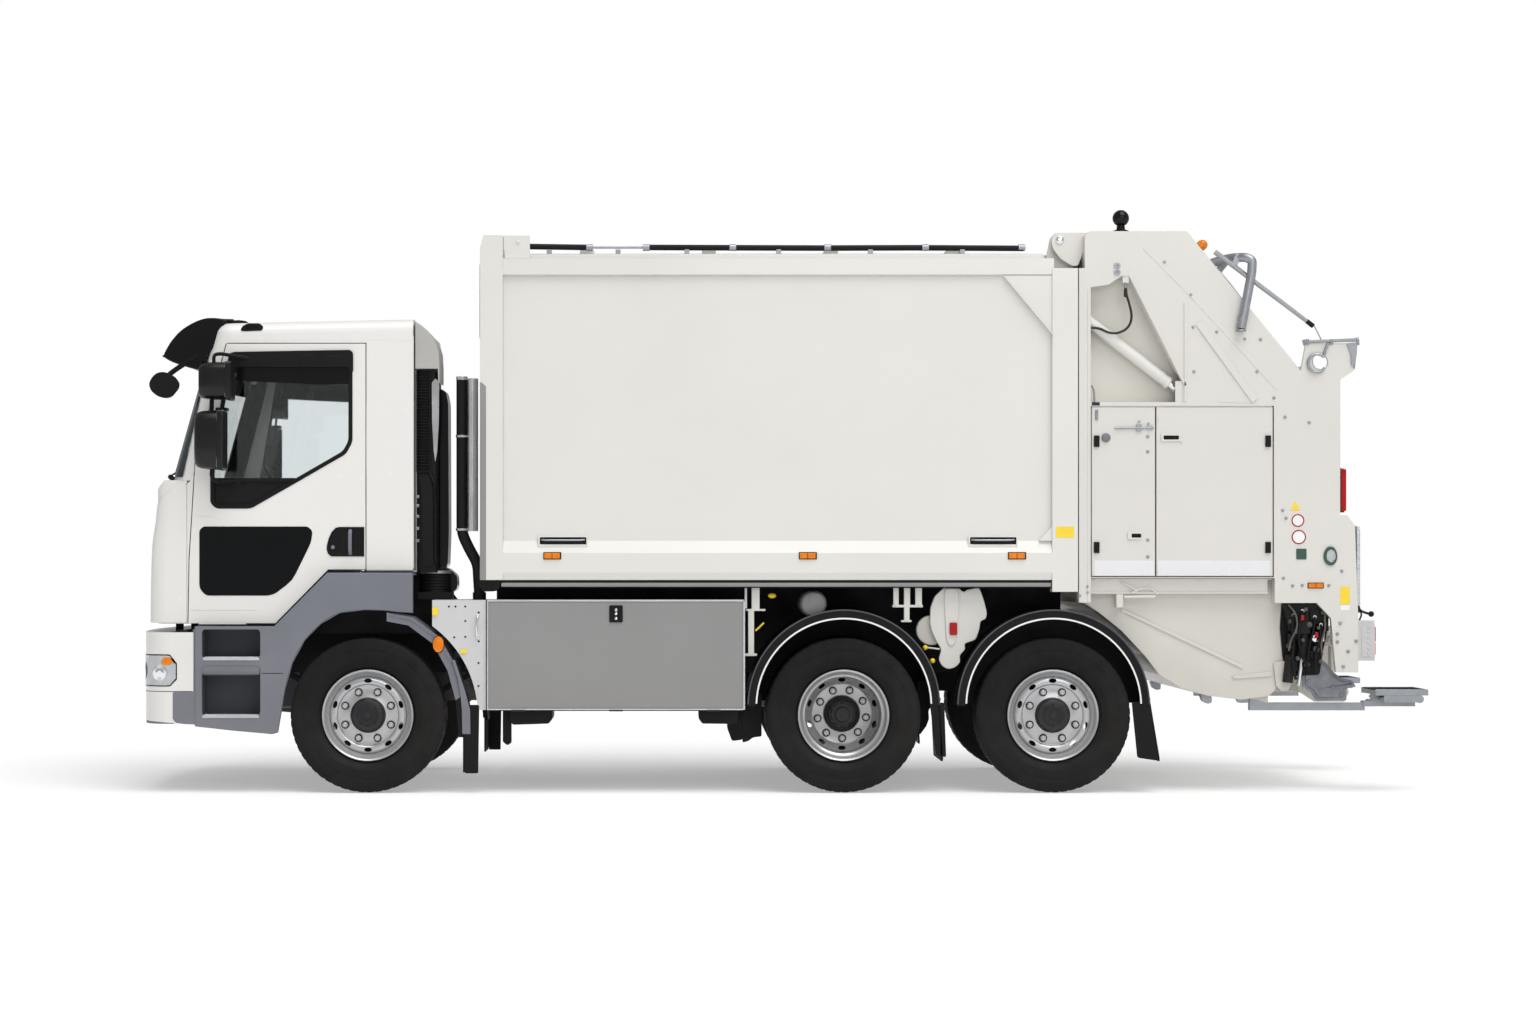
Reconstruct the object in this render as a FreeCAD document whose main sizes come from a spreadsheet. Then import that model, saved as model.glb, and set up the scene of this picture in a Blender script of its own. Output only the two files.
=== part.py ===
import FreeCAD, Part
import math
import os

import Sketcher

# Rear-loading garbage truck, three axles, cab over engine.
# Frame: X towards the rear, Y towards the vehicle's right, Z up, millimetres.
# Origin: on the road, under the centre of the overall length and width.

V = FreeCAD.Vector
doc = FreeCAD.newDocument("garbage_truck")

# ---------------------------------------------------------------- driving dimensions
# columns: alias, value, note
DIMS = [
    ("front_end", -4250, "foremost point of the bumper"),
    ("rear_end", 4250, "rearmost point of the footboards"),
    ("tyre_radius", 507, "315/70 R22.5"),
    ("tyre_width", 315, "section width"),
    ("tyre_out", 1240, "outer sidewall from the centre plane"),
    ("front_axle_pos", -2686, "front axle along X"),
    ("drive_axle_pos", 424, "drive axle along X"),
    ("tag_axle_pos", 1793, "tag axle along X"),
    ("kingpin_out", 920, "kingpin from the centre plane"),
    ("rail_out", 430, "chassis rail outer face"),
    ("rail_thick", 80, "chassis rail width"),
    ("rail_low", 760, "chassis rail underside"),
    ("rail_high", 1040, "chassis rail top"),
    ("cab_half", 1150, "cab half width"),
    ("cab_wall", 50, "cab wall and door thickness"),
    ("cab_nose", -4190, "cab front on the centre plane"),
    ("cab_back", -2395, "cab rear wall"),
    ("cab_low", 1105, "cab underside"),
    ("cab_floor", 1456, "cab underside over the engine"),
    ("cowl_high", 2046, "windscreen foot"),
    ("screen_nose", -4062, "windscreen foot on the centre plane"),
    ("roof_high", 3104, "cab roof at the rear"),
    ("roof_split", 2962, "joint of roof panel and cab sides"),
    ("tilt_pos", -4061, "cab tilt axis along X"),
    ("tilt_high", 700, "cab tilt axis height"),
    ("bumper_low", 430, "bumper underside"),
    ("bumper_high", 1050, "bumper top"),
    ("bumper_half", 1225, "bumper half width"),
    ("body_half", 1250, "waste body half width"),
    ("body_inner", 1150, "load space half width"),
    ("body_front", -1949, "waste body front"),
    ("body_rear", 1950, "waste body rear"),
    ("body_low", 1392, "waste body side lower edge"),
    ("body_high", 3491, "waste body side upper edge"),
    ("roof_top", 3530, "waste body roof"),
    ("gate_front", 1956, "tailgate front plane"),
    ("gate_inner", 1100, "tailgate wall inner face"),
    ("gate_web", 1130, "tailgate recessed skin"),
    ("gate_high", 3667, "tailgate top"),
    ("gate_pin_pos", 1842, "tailgate hinge along X"),
    ("gate_pin_high", 3617, "tailgate hinge height"),
    ("ram_pin_pos", 1845, "lift ram base pin along X"),
    ("ram_pin_high", 3226, "lift ram base pin height"),
    ("ram_eye_pos", 2608, "lift ram rod eye along X"),
    ("ram_eye_high", 2634, "lift ram rod eye height"),
    ("ram_out", 1186, "lift ram from the centre plane"),
    ("guard_radius", 629, "rear mudguard outer radius"),
    ("guard_high", 570, "rear mudguard centre height"),
    ("lifter_pos", 3640, "bin lifter axis along X"),
    ("lifter_high", 994, "bin lifter axis height"),
    ("board_pos", 3889, "footboard fold axis along X"),
    ("board_high", 585, "footboard fold axis height"),
]
sheet = doc.addObject("Spreadsheet::Sheet", "Dims")
for row, (alias, value, note) in enumerate(DIMS, 1):
    sheet.set("A%d" % row, note)
    sheet.set("B%d" % row, str(value))
    sheet.setAlias("B%d" % row, alias)
doc.recompute()


class Q:
    """A number that remembers the sheet expression it comes from."""

    def __init__(self, value, text):
        self.value, self.text = float(value), text

    @staticmethod
    def of(other):
        return other if isinstance(other, Q) else Q(other, "%.10g" % other)

    def mix(self, other, sign, swap=False):
        a, b = (Q.of(other), self) if swap else (self, Q.of(other))
        v = {"+": a.value + b.value, "-": a.value - b.value, "*": a.value * b.value, "/": a.value / (b.value or 1)}[sign]
        return Q(v, "(%s %s %s)" % (a.text, sign, b.text))

    def __add__(self, o): return self.mix(o, "+")
    def __radd__(self, o): return self.mix(o, "+", True)
    def __sub__(self, o): return self.mix(o, "-")
    def __rsub__(self, o): return self.mix(o, "-", True)
    def __mul__(self, o): return self.mix(o, "*")
    def __rmul__(self, o): return self.mix(o, "*", True)
    def __truediv__(self, o): return self.mix(o, "/")
    def __neg__(self): return self.mix(-1, "*")


class Cells:
    """d.alias gives the sheet's cell as a Q."""

    def __init__(self, rows):
        for alias, value, _ in rows:
            setattr(self, alias, Q(value, "Dims." + alias))


d = Cells(DIMS)


def num(q):
    return q.value if isinstance(q, Q) else float(q)


def bind(obj, prop, q):
    if isinstance(q, Q):
        obj.setExpression(prop, q.text)


def place(obj, x=0, y=0, z=0, rot=None):
    obj.Placement = FreeCAD.Placement(V(num(x), num(y), num(z)), rot or FreeCAD.Rotation())
    for axis, q in (("x", x), ("y", y), ("z", z)):
        bind(obj, "Placement.Base." + axis, q)
    return obj


# ---------------------------------------------------------------- building blocks
def box(name, x0, x1, y0, y1, z0, z1):
    o = doc.addObject("Part::Box", name)
    for prop, a, b in (("Length", x0, x1), ("Width", y0, y1), ("Height", z0, z1)):
        setattr(o, prop, num(b) - num(a))
        if isinstance(a, Q) or isinstance(b, Q):
            bind(o, prop, Q.of(b) - a)
    return place(o, x0, y0, z0)


TURN = {"z": FreeCAD.Rotation(), "y": FreeCAD.Rotation(V(1, 0, 0), -90), "x": FreeCAD.Rotation(V(0, 1, 0), 90)}


def cyl(name, r, x, y, z, axis, length):
    """A cylinder that starts at x, y, z and runs along +axis."""
    o = doc.addObject("Part::Cylinder", name)
    o.Radius, o.Height = num(r), num(length)
    bind(o, "Radius", r)
    bind(o, "Height", length)
    return place(o, x, y, z, TURN[axis])


def rod(name, r, a, b):
    """A round bar from point a to point b."""
    a, b = V(*a), V(*b)
    o = doc.addObject("Part::Cylinder", name)
    o.Radius, o.Height = r, (b - a).Length
    o.Placement = FreeCAD.Placement(a, FreeCAD.Rotation(V(0, 0, 1), b - a))
    return o


def ball(name, r, x, y, z):
    o = doc.addObject("Part::Sphere", name)
    o.Radius = r
    return place(o, x, y, z)


def draw(sk, pts):
    """Closes a profile in a sketch. A point is (u, v); ("arc", mid, end) is an arc through mid to end. Every vertex is held by its own two distances."""
    verts, mids = [], []
    for p in pts:
        if p[0] == "arc":
            verts.append(p[2])
            mids.append(p[1])
        else:
            verts.append(p)
            mids.append(None)
    n = len(verts)
    geo = []
    for i in range(n):
        a, b, mid = verts[i], verts[(i + 1) % n], mids[(i + 1) % n]
        pa, pb = V(num(a[0]), num(a[1]), 0), V(num(b[0]), num(b[1]), 0)
        if mid is None:
            g = sk.addGeometry(Part.LineSegment(pa, pb))
            geo.append((g, 1, 2))
        else:
            g = sk.addGeometry(Part.Arc(pa, V(num(mid[0]), num(mid[1]), 0), pb))
            first = (sk.getPoint(g, 1) - pa).Length < 1e-6
            geo.append((g, 1, 2) if first else (g, 2, 1))
            sk.addConstraint(Sketcher.Constraint("Radius", g, sk.Geometry[g].Radius))
    for i in range(n):
        g, _, end = geo[i]
        h, start, _ = geo[(i + 1) % n]
        sk.addConstraint(Sketcher.Constraint("Coincident", g, end, h, start))
    for i in range(n):
        g, start, _ = geo[i]
        for typ, q in (("DistanceX", verts[i][0]), ("DistanceY", verts[i][1])):
            c = sk.addConstraint(Sketcher.Constraint(typ, -1, 1, g, start, num(q)))
            if isinstance(q, Q):
                sk.setExpression("Constraints[%d]" % c, q.text)


PLANE_TURN = {
    "XZ": FreeCAD.Rotation(V(1, 0, 0), 90),  # drawn in X, Z; normal -Y
    "XY": FreeCAD.Rotation(),
    "YZ": FreeCAD.Rotation(V(0, 1, 0), V(0, 0, 1), V(1, 0, 0)),  # drawn in Y, Z; normal +X
}


def prism(name, pts, lo, hi, plane="XZ", lean=None):
    """A profile drawn in a plane and extruded from lo to hi on the third axis. lean=(dx, dz) makes it an oblique extrusion upwards."""
    sk = doc.addObject("Sketcher::SketchObject", name + "_sketch")
    at = {"XZ": (0, hi, 0), "XY": (0, 0, lo), "YZ": (lo, 0, 0)}[plane]
    place(sk, *at, rot=PLANE_TURN[plane])
    draw(sk, pts)
    o = doc.addObject("Part::Extrusion", name)
    o.Base = sk
    o.Solid = True
    if lean:
        o.DirMode = "Custom"
        o.Dir = V(lean, 0, 1)
        o.LengthFwd = (num(hi) - num(lo)) * math.hypot(lean, 1)
    else:
        o.DirMode = "Normal"
        o.LengthFwd = num(hi) - num(lo)
        if isinstance(hi, Q) or isinstance(lo, Q):
            bind(o, "LengthFwd", Q.of(hi) - lo)
    sk.Visibility = False
    return o


def body_of_revolution(name, pts, x, z):
    """PartDesign body: a profile in (Y, radius) revolved about the axle line at x, z."""
    b = doc.addObject("PartDesign::Body", name)
    sk = b.newObject("Sketcher::SketchObject", name + "_sketch")
    plane = [f for f in b.Origin.OriginFeatures if f.Role == "YZ_Plane"][0]
    sk.AttachmentSupport = [(plane, "")]
    sk.MapMode = "FlatFace"
    draw(sk, pts)
    rev = b.newObject("PartDesign::Revolution", name + "_revolution")
    rev.Profile = sk
    rev.ReferenceAxis = (sk, ["H_Axis"])
    rev.Angle = 360
    place(b, x, 0, z)
    return b


def padded(name, pts, lo, hi, edges=None, radius=0):
    """PartDesign body: a profile in X, Z padded along Y from lo to hi, with an optional fillet on the edges that the test picks."""
    b = doc.addObject("PartDesign::Body", name)
    sk = b.newObject("Sketcher::SketchObject", name + "_sketch")
    plane = [f for f in b.Origin.OriginFeatures if f.Role == "XZ_Plane"][0]
    sk.AttachmentSupport = [(plane, "")]
    sk.MapMode = "FlatFace"
    draw(sk, pts)
    pad = b.newObject("PartDesign::Pad", name + "_pad")
    pad.Profile = sk
    pad.Length = num(hi) - num(lo)
    if isinstance(hi, Q) or isinstance(lo, Q):
        bind(pad, "Length", Q.of(hi) - lo)
    place(b, 0, hi, 0)
    doc.recompute()
    if edges and radius:
        picked = ["Edge%d" % i for i, e in enumerate(pad.Shape.Edges, 1) if edges(e)]
        f = b.newObject("PartDesign::Fillet", name + "_fillet")
        f.Base = (pad, picked)
        f.Radius = radius
        pad.Visibility = False
        doc.recompute()
    return b


def cut(name, base, *tools):
    tool = tools[0] if len(tools) == 1 else fuse(name + "_tools", *tools)
    o = doc.addObject("Part::Cut", name)
    o.Base, o.Tool = base, tool
    return o


def fuse(name, *parts):
    o = doc.addObject("Part::MultiFuse", name)
    o.Shapes = list(parts)
    return o


def common(name, *parts):
    o = doc.addObject("Part::MultiCommon", name)
    o.Shapes = list(parts)
    return o


def group(name, *parts):
    o = doc.addObject("Part::Compound", name)
    o.Links = list(parts)
    return o


def mirror(name, source):
    """The right-hand copy of a left-hand piece."""
    o = doc.addObject("Part::Mirroring", name)
    o.Source = source
    o.Normal = V(0, 1, 0)
    o.Base = V(0, 0, 0)
    return o


def rounded(name, base, radius, test):
    """Fillet on every edge of base for which test(edge) is true."""
    doc.recompute()
    o = doc.addObject("Part::Fillet", name)
    o.Base = base
    o.Edges = [(i, radius, radius) for i, e in enumerate(base.Shape.Edges, 1) if test(e)]
    return o


NODES = {}


def node(label, obj):
    obj.Label = label
    NODES[label] = obj
    return obj


L, R = -1, 1

# ================================================================ chassis
rails = []
for side in (L, R):
    y0, y1 = (-d.rail_out, -d.rail_out + d.rail_thick) if side == L else (d.rail_out - d.rail_thick, d.rail_out)
    rail = box("rail", -3985, 1985, y0, y1, d.rail_low, d.rail_high)
    lo, hi = (-d.rail_out + 12, -d.rail_out + d.rail_thick + 1) if side == L else (d.rail_out - d.rail_thick - 1, d.rail_out - 12)
    rails.append(cut("c_rail", rail, box("rail_web_space", -3990, 1990, lo, hi, d.rail_low + 14, d.rail_high - 14)))
# columns: X start, X end, Z low, Z high
cross = [(-3985, -3905, 780, 1020), (-1590, -1510, 780, 1020), (-1000, -920, 780, 1020), (-300, -220, 800, 1020), (960, 1040, 780, 1020), (1905, 1985, 780, 1020)]
members = [box("crossmember", x0, x1, -d.rail_out + 12, d.rail_out - 12, z0, z1) for x0, x1, z0, z1 in cross]
tilt_lugs = []
for side in (L, R):
    a = 372 * side
    tilt_lugs.append(padded("tilt_lug", [(-3985, 1000), (-3985, 770), (-4061, 655), (-4101, 675), (-4101, 740), (-4020, 1000)], a - 16, a + 16))
    tilt_lugs.append(cyl("tilt_pin", 18, d.tilt_pos, min(296 * side, 388 * side), d.tilt_high, "y", 92))
towing = prism("tow_lug", [(-4060, -60), (-3980, -60), (-3980, 60), (-4060, 60), (-4150, 45), ("arc", (-4190, 0), (-4150, -45))], 560, 600, "XY")
tow = cut("tow_eye", fuse("tow_bar", towing, box("tow_drop", -4040, -3985, -60, 60, 560, 800)), cyl("tow_bore", 22, -4150, 0, 550, "z", 60))
node("chassis_frame", fuse("frame", *rails, *members, *tilt_lugs, box("tow_beam", -4020, -3980, -360, 360, 780, 860), tow))

# ---- front axle: beam, kingpin eyes, leaf springs hung under the rails
spring_parts = []
for side in (L, R):
    y0, y1 = sorted((430 * side, 350 * side))
    spring_parts.append(padded("leaf", [(-3330, 745), (-3290, 760), (-2990, 600), (-2686, 520), (-2380, 600), (-2080, 760), (-2040, 745), (-2360, 560), (-2686, 470), (-3010, 560)], y0, y1))
    spring_parts.append(box("shackle", -2085, -2045, y0, y1, 735, 760))
    spring_parts.append(box("hanger", -3325, -3285, y0, y1, 735, 760))
beam = padded("beam", [(-2736, 395), (-2636, 395), (-2636, 475), (-2736, 475)], -850, 850)
eyes = []
for side in (L, R):
    yk = d.kingpin_out * side
    eyes.append(cyl("axle_eye", 50, d.front_axle_pos, yk, 452, "z", 110))
    eyes.append(cyl("kingpin", 24, d.front_axle_pos, yk, 380, "z", 260))
    eyes.append(box("beam_end", -2726, -2646, *sorted((790 * side, 862 * side)), 400, 552))
    eyes.append(box("beam_neck", -2716, -2656, *sorted((850 * side, 900 * side)), 462, 552))
node("front_axle", fuse("front_axle_set", beam, *eyes, *spring_parts))

# ---- drive and tag axles: tube, stub, trailing beam and air springs
def carrying_axle(name, x, tube_half, springs, extras):
    parts = [cyl("tube", 72, x, -tube_half, d.tyre_radius, "y", 2 * tube_half)]
    for side in (L, R):
        y0 = min(1120 * side, 600 * side)
        parts.append(cyl("stub", 45.5, x, y0, d.tyre_radius, "y", 520))
        y0, y1 = sorted((352 * side, 428 * side))
        parts.append(box("trailing_beam", x + springs[0] - 90, x + springs[1] + 90, y0, y1, 560, 600))
        parts.append(box("pad", x - 90, x + 90, y0, y1, 470, 570))
        for dx in springs:
            parts.append(cyl("air_spring", 95, x + dx, 390 * side, 595, "z", 150))
            parts.append(box("seat_plate", x + dx - 60, x + dx + 60, y0, y1, 740, 760))
    return fuse(name, *parts, *extras)


diff = fuse("diff", ball("diff_ball", 205, d.drive_axle_pos, 0, d.tyre_radius + 10), cyl("diff_nose", 95, d.drive_axle_pos - 380, 0, d.tyre_radius + 30, "x", 300))
node("drive_axle", carrying_axle("drive_axle_set", d.drive_axle_pos, 615, (-380, 380), [diff]))
node("tag_axle", carrying_axle("tag_axle_set", d.tag_axle_pos, 970, (-380, 90), []))

# ---- engine, gearbox and shaft as plain masses
engine = fuse("engine_mass", box("engine_block", -3240, -2340, -330, 330, 560, 1090), box("gearbox", -2340, -1640, -210, 210, 560, 960),
              rod("shaft", 50, (-1660, 0, 700), (30, 0, 548)))
node("engine_and_gearbox", engine)

# ================================================================ bumper
def plan(nose, half, back, bulge_at=950.0, bulge=71.0):
    """Plan outline: straight sides, flat back, front face an arc."""
    n, h = num(nose), num(half)
    radius = (bulge_at**2 + bulge**2) / (2 * bulge)
    corner = n + radius - math.sqrt(radius**2 - h**2)
    return [(back, -h), (corner, -h), ("arc", (nose, 0), (corner, h)), (back, h)]


def upright(e):
    return len(e.Vertexes) == 2 and abs(e.Vertexes[0].Point.x - e.Vertexes[1].Point.x) < 380 and abs(e.Vertexes[0].Point.y - e.Vertexes[1].Point.y) < 1e-3 and abs(e.Vertexes[0].Point.z - e.Vertexes[1].Point.z) > 100


def front_upright(limit):
    return lambda e: upright(e) and e.CenterOfMass.x < limit


shell_out = rounded("bumper_out", prism("bumper_plan", plan(d.front_end, d.bumper_half, -3822), d.bumper_low, d.bumper_high, "XY"), 190, front_upright(-3900))
shell_in = rounded("bumper_in", prism("bumper_plan_in", plan(d.front_end + 28, d.bumper_half - 28, -3700), d.bumper_low - 10, d.bumper_high - 22, "XY"), 162, front_upright(-3900))
skirt = prism("bumper_skirt", [(-4300, 300), (-3700, 300), (-3700, 440), (-4130, 470), (-4300, 520)], -1300, 1300)
top_open = box("bumper_top_open", -3990, -3700, -1180, 1180, 1000, 1100)
lamp_holes = [box("lamp_hole", -4300, -3980, *sorted((800 * s, 1230 * s)), 700, 905) for s in (L, R)]
grille_hole = box("bumper_intake", -4300, -4100, -560, 560, 740, 960)
tow_hole = box("tow_hole", -4300, -4100, -75, 75, 540, 620)
lamp_pan = [box("lamp_pan", -4130, -4012, *sorted((790 * s, 1140 * s)), 690, 915) for s in (L, R)]
arm_slots = [box("arm_slot", -4300, -3990, *sorted((285 * s, 355 * s)), 900, 1100) for s in (L, R)]
bumper_arms = [common("bumper_arm_c", box("bumper_arm", -4300, -3985, *sorted((y0 * s, (y0 + 36) * s)), 770, 850), prism("bumper_plan_c", plan(d.front_end + 5, d.bumper_half - 5, -3600), 500, 1000, "XY")) for s in (L, R) for y0 in (392,)]
blank = cut("bumper_shell", shell_out, shell_in, skirt, top_open, grille_hole, tow_hole, *lamp_holes, *arm_slots)
cross_bar = common("bumper_bar_c", box("bumper_bar", -4300, -4180, -700, 700, 655, 715), prism("bumper_plan_d", plan(d.front_end + 5, d.bumper_half - 5, -3600), 500, 1000, "XY"))
grille_posts = [box("grille_post", -4216, -4185, *sorted((180 * s, 220 * s)), 700, 1035) for s in (L, R)]
node("front_bumper", fuse("bumper", blank, cross_bar, *grille_posts, *[fuse("bumper_arm_f", a, box("bumper_arm_low", -4200, -4140, *sorted((392 * s, 428 * s)), 700, 780)) for a, s in zip(bumper_arms, (L, R))]))

# ================================================================ cab
def cab_block(tag, off, low, foot, ramp, roof):
    """The cab's outer form pulled in by off: upright lower part, leaning upper part, stepped underside."""
    lower = rounded(tag + "_lower_r", prism(tag + "_lower", plan(d.cab_nose + off, d.cab_half - off, d.cab_back - off), low, d.cowl_high, "XY"), 160 - off * 0.8, front_upright(-3900))
    lower = cut(tag + "_lower_c", lower, prism(tag + "_cowl", [(-4330, 1740), (-4200 + off * 0.9, 1890), (-4052 + off * 0.9, 2046), (-4052 + off * 0.9, 2100), (-4330, 2100)], -1300, 1300))
    upper = rounded(tag + "_upper_r", prism(tag + "_upper", plan(d.screen_nose + off - 15.5, d.cab_half - off, -1500), 1990, 3200, "XY", lean=0.278), 130 - off * 0.8, front_upright(-3300))
    upper = cut(tag + "_upper_c", upper, prism(tag + "_roofline", [(-4400, roof - 40), (-2395, roof), (-700, roof), (-700, 3700), (-4400, 3700)], -1300, 1300),
                box(tag + "_behind", d.cab_back - off, -600, -1300, 1300, 1900, 3300), box(tag + "_under", -4300, -600, -1300, 1300, 1900, d.cowl_high - (1 if off else 1)))
    whole = fuse(tag + "_whole", lower, upper)
    under = prism(tag + "_underside", [(ramp, low - 60), (ramp, low), (ramp + 345, foot), (-2300, foot), (-2300, low - 60)], -1300, 1300)
    return cut(tag, whole, under)


outer0 = cab_block("outer", 0, d.cab_low, d.cab_floor, -3300, 3104)
doc.recompute()


def top_edge(e):
    c = e.BoundBox
    if c.ZMin < 3040 or c.XLength < 1 and c.YLength > 500 and c.XMax > -2400:
        return False
    return c.ZMax - c.ZMin < 60 and (c.XLength > 30 or c.YLength > 30)


outer = rounded("outer_round", outer0, 80, top_edge)
inner = cab_block("inner", 50, d.cab_low + 50, d.cab_floor + 50, -3322, 3054)
skin_in = cab_block("skin", 20, d.cab_low - 20, d.cab_floor - 20, -3300, 3084)

DOOR = [(-3867, 1108), (-3860, 1525), (-3821, 2158), (-3618, 2933), (-3612, 2940), (-2706, 2940), (-2706, 1461), (-2950, 1461), (-3297, 1108)]
DOOR_GAP = [(-3873, 1000), (-3873, 1108), (-3866, 1525), (-3827, 2159), (-3624, 2935), (-3615, 2946), (-2700, 2946), (-2700, 1440), (-2960, 1430), (-3290, 1000)]
WINDOW = [(-3590, 2872), (-2835, 2885), (-2802, 2850), (-2802, 2300), (-2842, 2225), (-3180, 2030), (-3460, 1870), (-3680, 1870), (-3712, 1900), (-3712, 2130)]
KERB = [(-3791, 1715), (-3768, 1738), (-3085, 1738), (-3057, 1710), (-3066, 1640), (-3188, 1391), (-3300, 1305), (-3345, 1293), (-3750, 1293), (-3791, 1339)]

shell = cut("cab_hollow", outer, inner)
roof_zone = box("roof_zone", -4300, -2300, -1300, 1300, d.roof_split, 3300)
roof_zone2 = box("roof_zone_b", -4300, -2300, -1300, 1300, d.roof_split, 3300)
node("cab_roof", common("cab_roof_panel", shell, roof_zone))
door_gaps = [prism("door_gap", DOOR_GAP, *((-1300, -1094) if s == L else (1094, 1300))) for s in (L, R)]
screen_hole = prism("screen_hole", [(-1040, 2120), (-1000, 2084), (1000, 2084), (1040, 2120), (1015, 2800), (975, 2840), (-975, 2840), (-1015, 2800)], -4300, -3450, "YZ")
nose_zone = box("nose_zone", -4300, -3876, -1300, 1300, 1000, d.cowl_high)
nose_skin = common("nose_skin", cut("skin_sheet", outer0, skin_in), box("nose_zone_b", -4300, -3876, -1300, 1300, 1000, d.cowl_high))
grille_slots = [prism("grille_slot", [(-760, z), (760, z), (760, z + 46), (-760, z + 46)], -4300, -4140, "YZ") for z in (1200, 1290, 1380, 1470)]
node("cab_front_panel", cut("front_panel", nose_skin, *grille_slots, *[prism("door_gap_b", DOOR_GAP, *((-1300, -1094) if s == L else (1094, 1300))) for s in (L, R)]))
nose_out = common("nose_out", cut("skin_sheet_b", outer0, cab_block("skin_b", 20, d.cab_low - 20, d.cab_floor - 20, -3300, 3084)), nose_zone)
cab_arms = [cut("cab_arm_c", padded("cab_arm", [(-4085, 680), (-4061, 670), (-4037, 680), (-4037, 1112), (-4085, 1112)], *sorted((300 * s, 340 * s))), cyl("cab_arm_bore", 18.4, d.tilt_pos, min(290 * s, 350 * s), d.tilt_high, "y", 60)) for s in (L, R)]
node("cab_shell", fuse("cab_frame_f", cut("cab_frame", shell, roof_zone2, nose_out, screen_hole, *door_gaps), *cab_arms))

glass_out = rounded("glass_out_r", prism("glass_out", plan(d.screen_nose + 4 - 15.5, d.cab_half - 4, -1500), 1990, 3200, "XY", lean=0.278), 127, front_upright(-3300))
glass_in = rounded("glass_in_r", prism("glass_in", plan(d.screen_nose + 14 - 15.5, d.cab_half - 14, -1500), 1990, 3200, "XY", lean=0.278), 119, front_upright(-3300))
screen_zone = prism("screen_zone", [(-1040, 2120), (-1000, 2084), (1000, 2084), (1040, 2120), (1015, 2800), (975, 2840), (-975, 2840), (-1015, 2800)], -4300, -3450, "YZ")
node("windscreen", common("windscreen_glass", cut("glass_sheet", glass_out, glass_in), screen_zone))

# ---- doors, glass and mirrors
door_zone = prism("door_zone", DOOR, -1300, -1094)
left = cut("left_door_cut", common("left_door_sheet", cut("cab_hollow_b", outer, inner), door_zone), prism("window_hole", WINDOW, -1300, -1000), prism("kerb_hole", KERB, -1300, -1000))
node("left_door", left)
node("right_door", mirror("right_door_m", left))
glass = group("left_glass", padded("window_glass", WINDOW, -1138, -1130), padded("kerb_glass", KERB, -1138, -1130))
node("left_door_glass", glass)
node("right_door_glass", mirror("right_glass_m", glass))

# columns: X front, X rear, Y out, Y in, Z low, Z high
heads = [(-3782, -3560, -1440, -1225, 2561, 2808), (-3788, -3590, -1470, -1225, 2106, 2496)]
mirror_parts = []
for i, (x0, x1, y0, y1, z0, z1) in enumerate(heads):
    head = prism("mirror_head", [(x0 + 40, y0), (x1 - 20, y0), (x1, y0 + 20), (x1, y1 - 12), (x1 - 12, y1), (x0 + 60, y1), (x0, y1 - 60), (x0, y0 + 50)], z0, z1, "XY")
    mirror_parts.append(rounded("mirror_head_r", head, 8, lambda e: abs(e.BoundBox.ZLength) > 100))
arm = [rod("mirror_post", 15, (-3690, -1300, 2030), (-3690, -1300, 2862)), rod("mirror_arm_top", 14, (-3690, -1300, 2855), (-3372, -1160, 2855)),
       rod("mirror_arm_low", 14, (-3690, -1300, 2037), (-3655, -1160, 2037)), box("mirror_plate_top", -3420, -3330, -1168, -1150, 2835, 2878),
       box("mirror_plate_low", -3700, -3610, -1168, -1150, 2010, 2065)]
mirrors = fuse("left_mirror_set", *mirror_parts, *arm)
node("left_mirrors", mirrors)
node("right_mirrors", mirror("right_mirror_m", mirrors))

# ---- visor with the front mirror on its arm
visor_top = [(-4046, 2866), (-3986, 2962), (-3872, 3080), (-3800, 3110), (-3580, 3112)]
visor_low = [(-3580, 3100), (-3797, 3098), (-3862, 3068), (-3976, 2954), (-4035, 2859)]
visor = prism("visor_sheet", visor_top + visor_low, -1085, 1085)
cheeks = [prism("visor_cheek", [(-4035, 2859), (-3976, 2954), (-3862, 3068), (-3797, 3098), (-3740, 3100), (-3805, 2900), (-3830, 2790), (-3950, 2806)], *sorted((1085 * s, 1073 * s))) for s in (L, R)]
feet = [box("visor_foot", -3640, -3600, y - 40, y + 40, 3060, 3104) for y in (-800, 0, 800)]
feet_cut = [cut("visor_foot_c", f, outer) for f in feet]
front_head = prism("front_mirror_head", [(-4122, 2662), (-4098, 2749), (-4008, 2760), (-3956, 2722), (-3953, 2662), (-3998, 2587), (-4078, 2592)], -1090, -930)
front_head = rounded("front_mirror_r", front_head, 22, lambda e: abs(e.BoundBox.YLength) < 1e-3)
front_arm = rod("front_mirror_arm", 16, (-4012, -1010, 2725), (-3915, -1010, 2812))
front_arm2 = rod("front_mirror_arm2", 16, (-3915, -1010, 2812), (-3862, -1073, 2862))
node("sun_visor", fuse("visor", visor, *cheeks, *feet_cut, front_head, front_arm, front_arm2))

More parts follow.
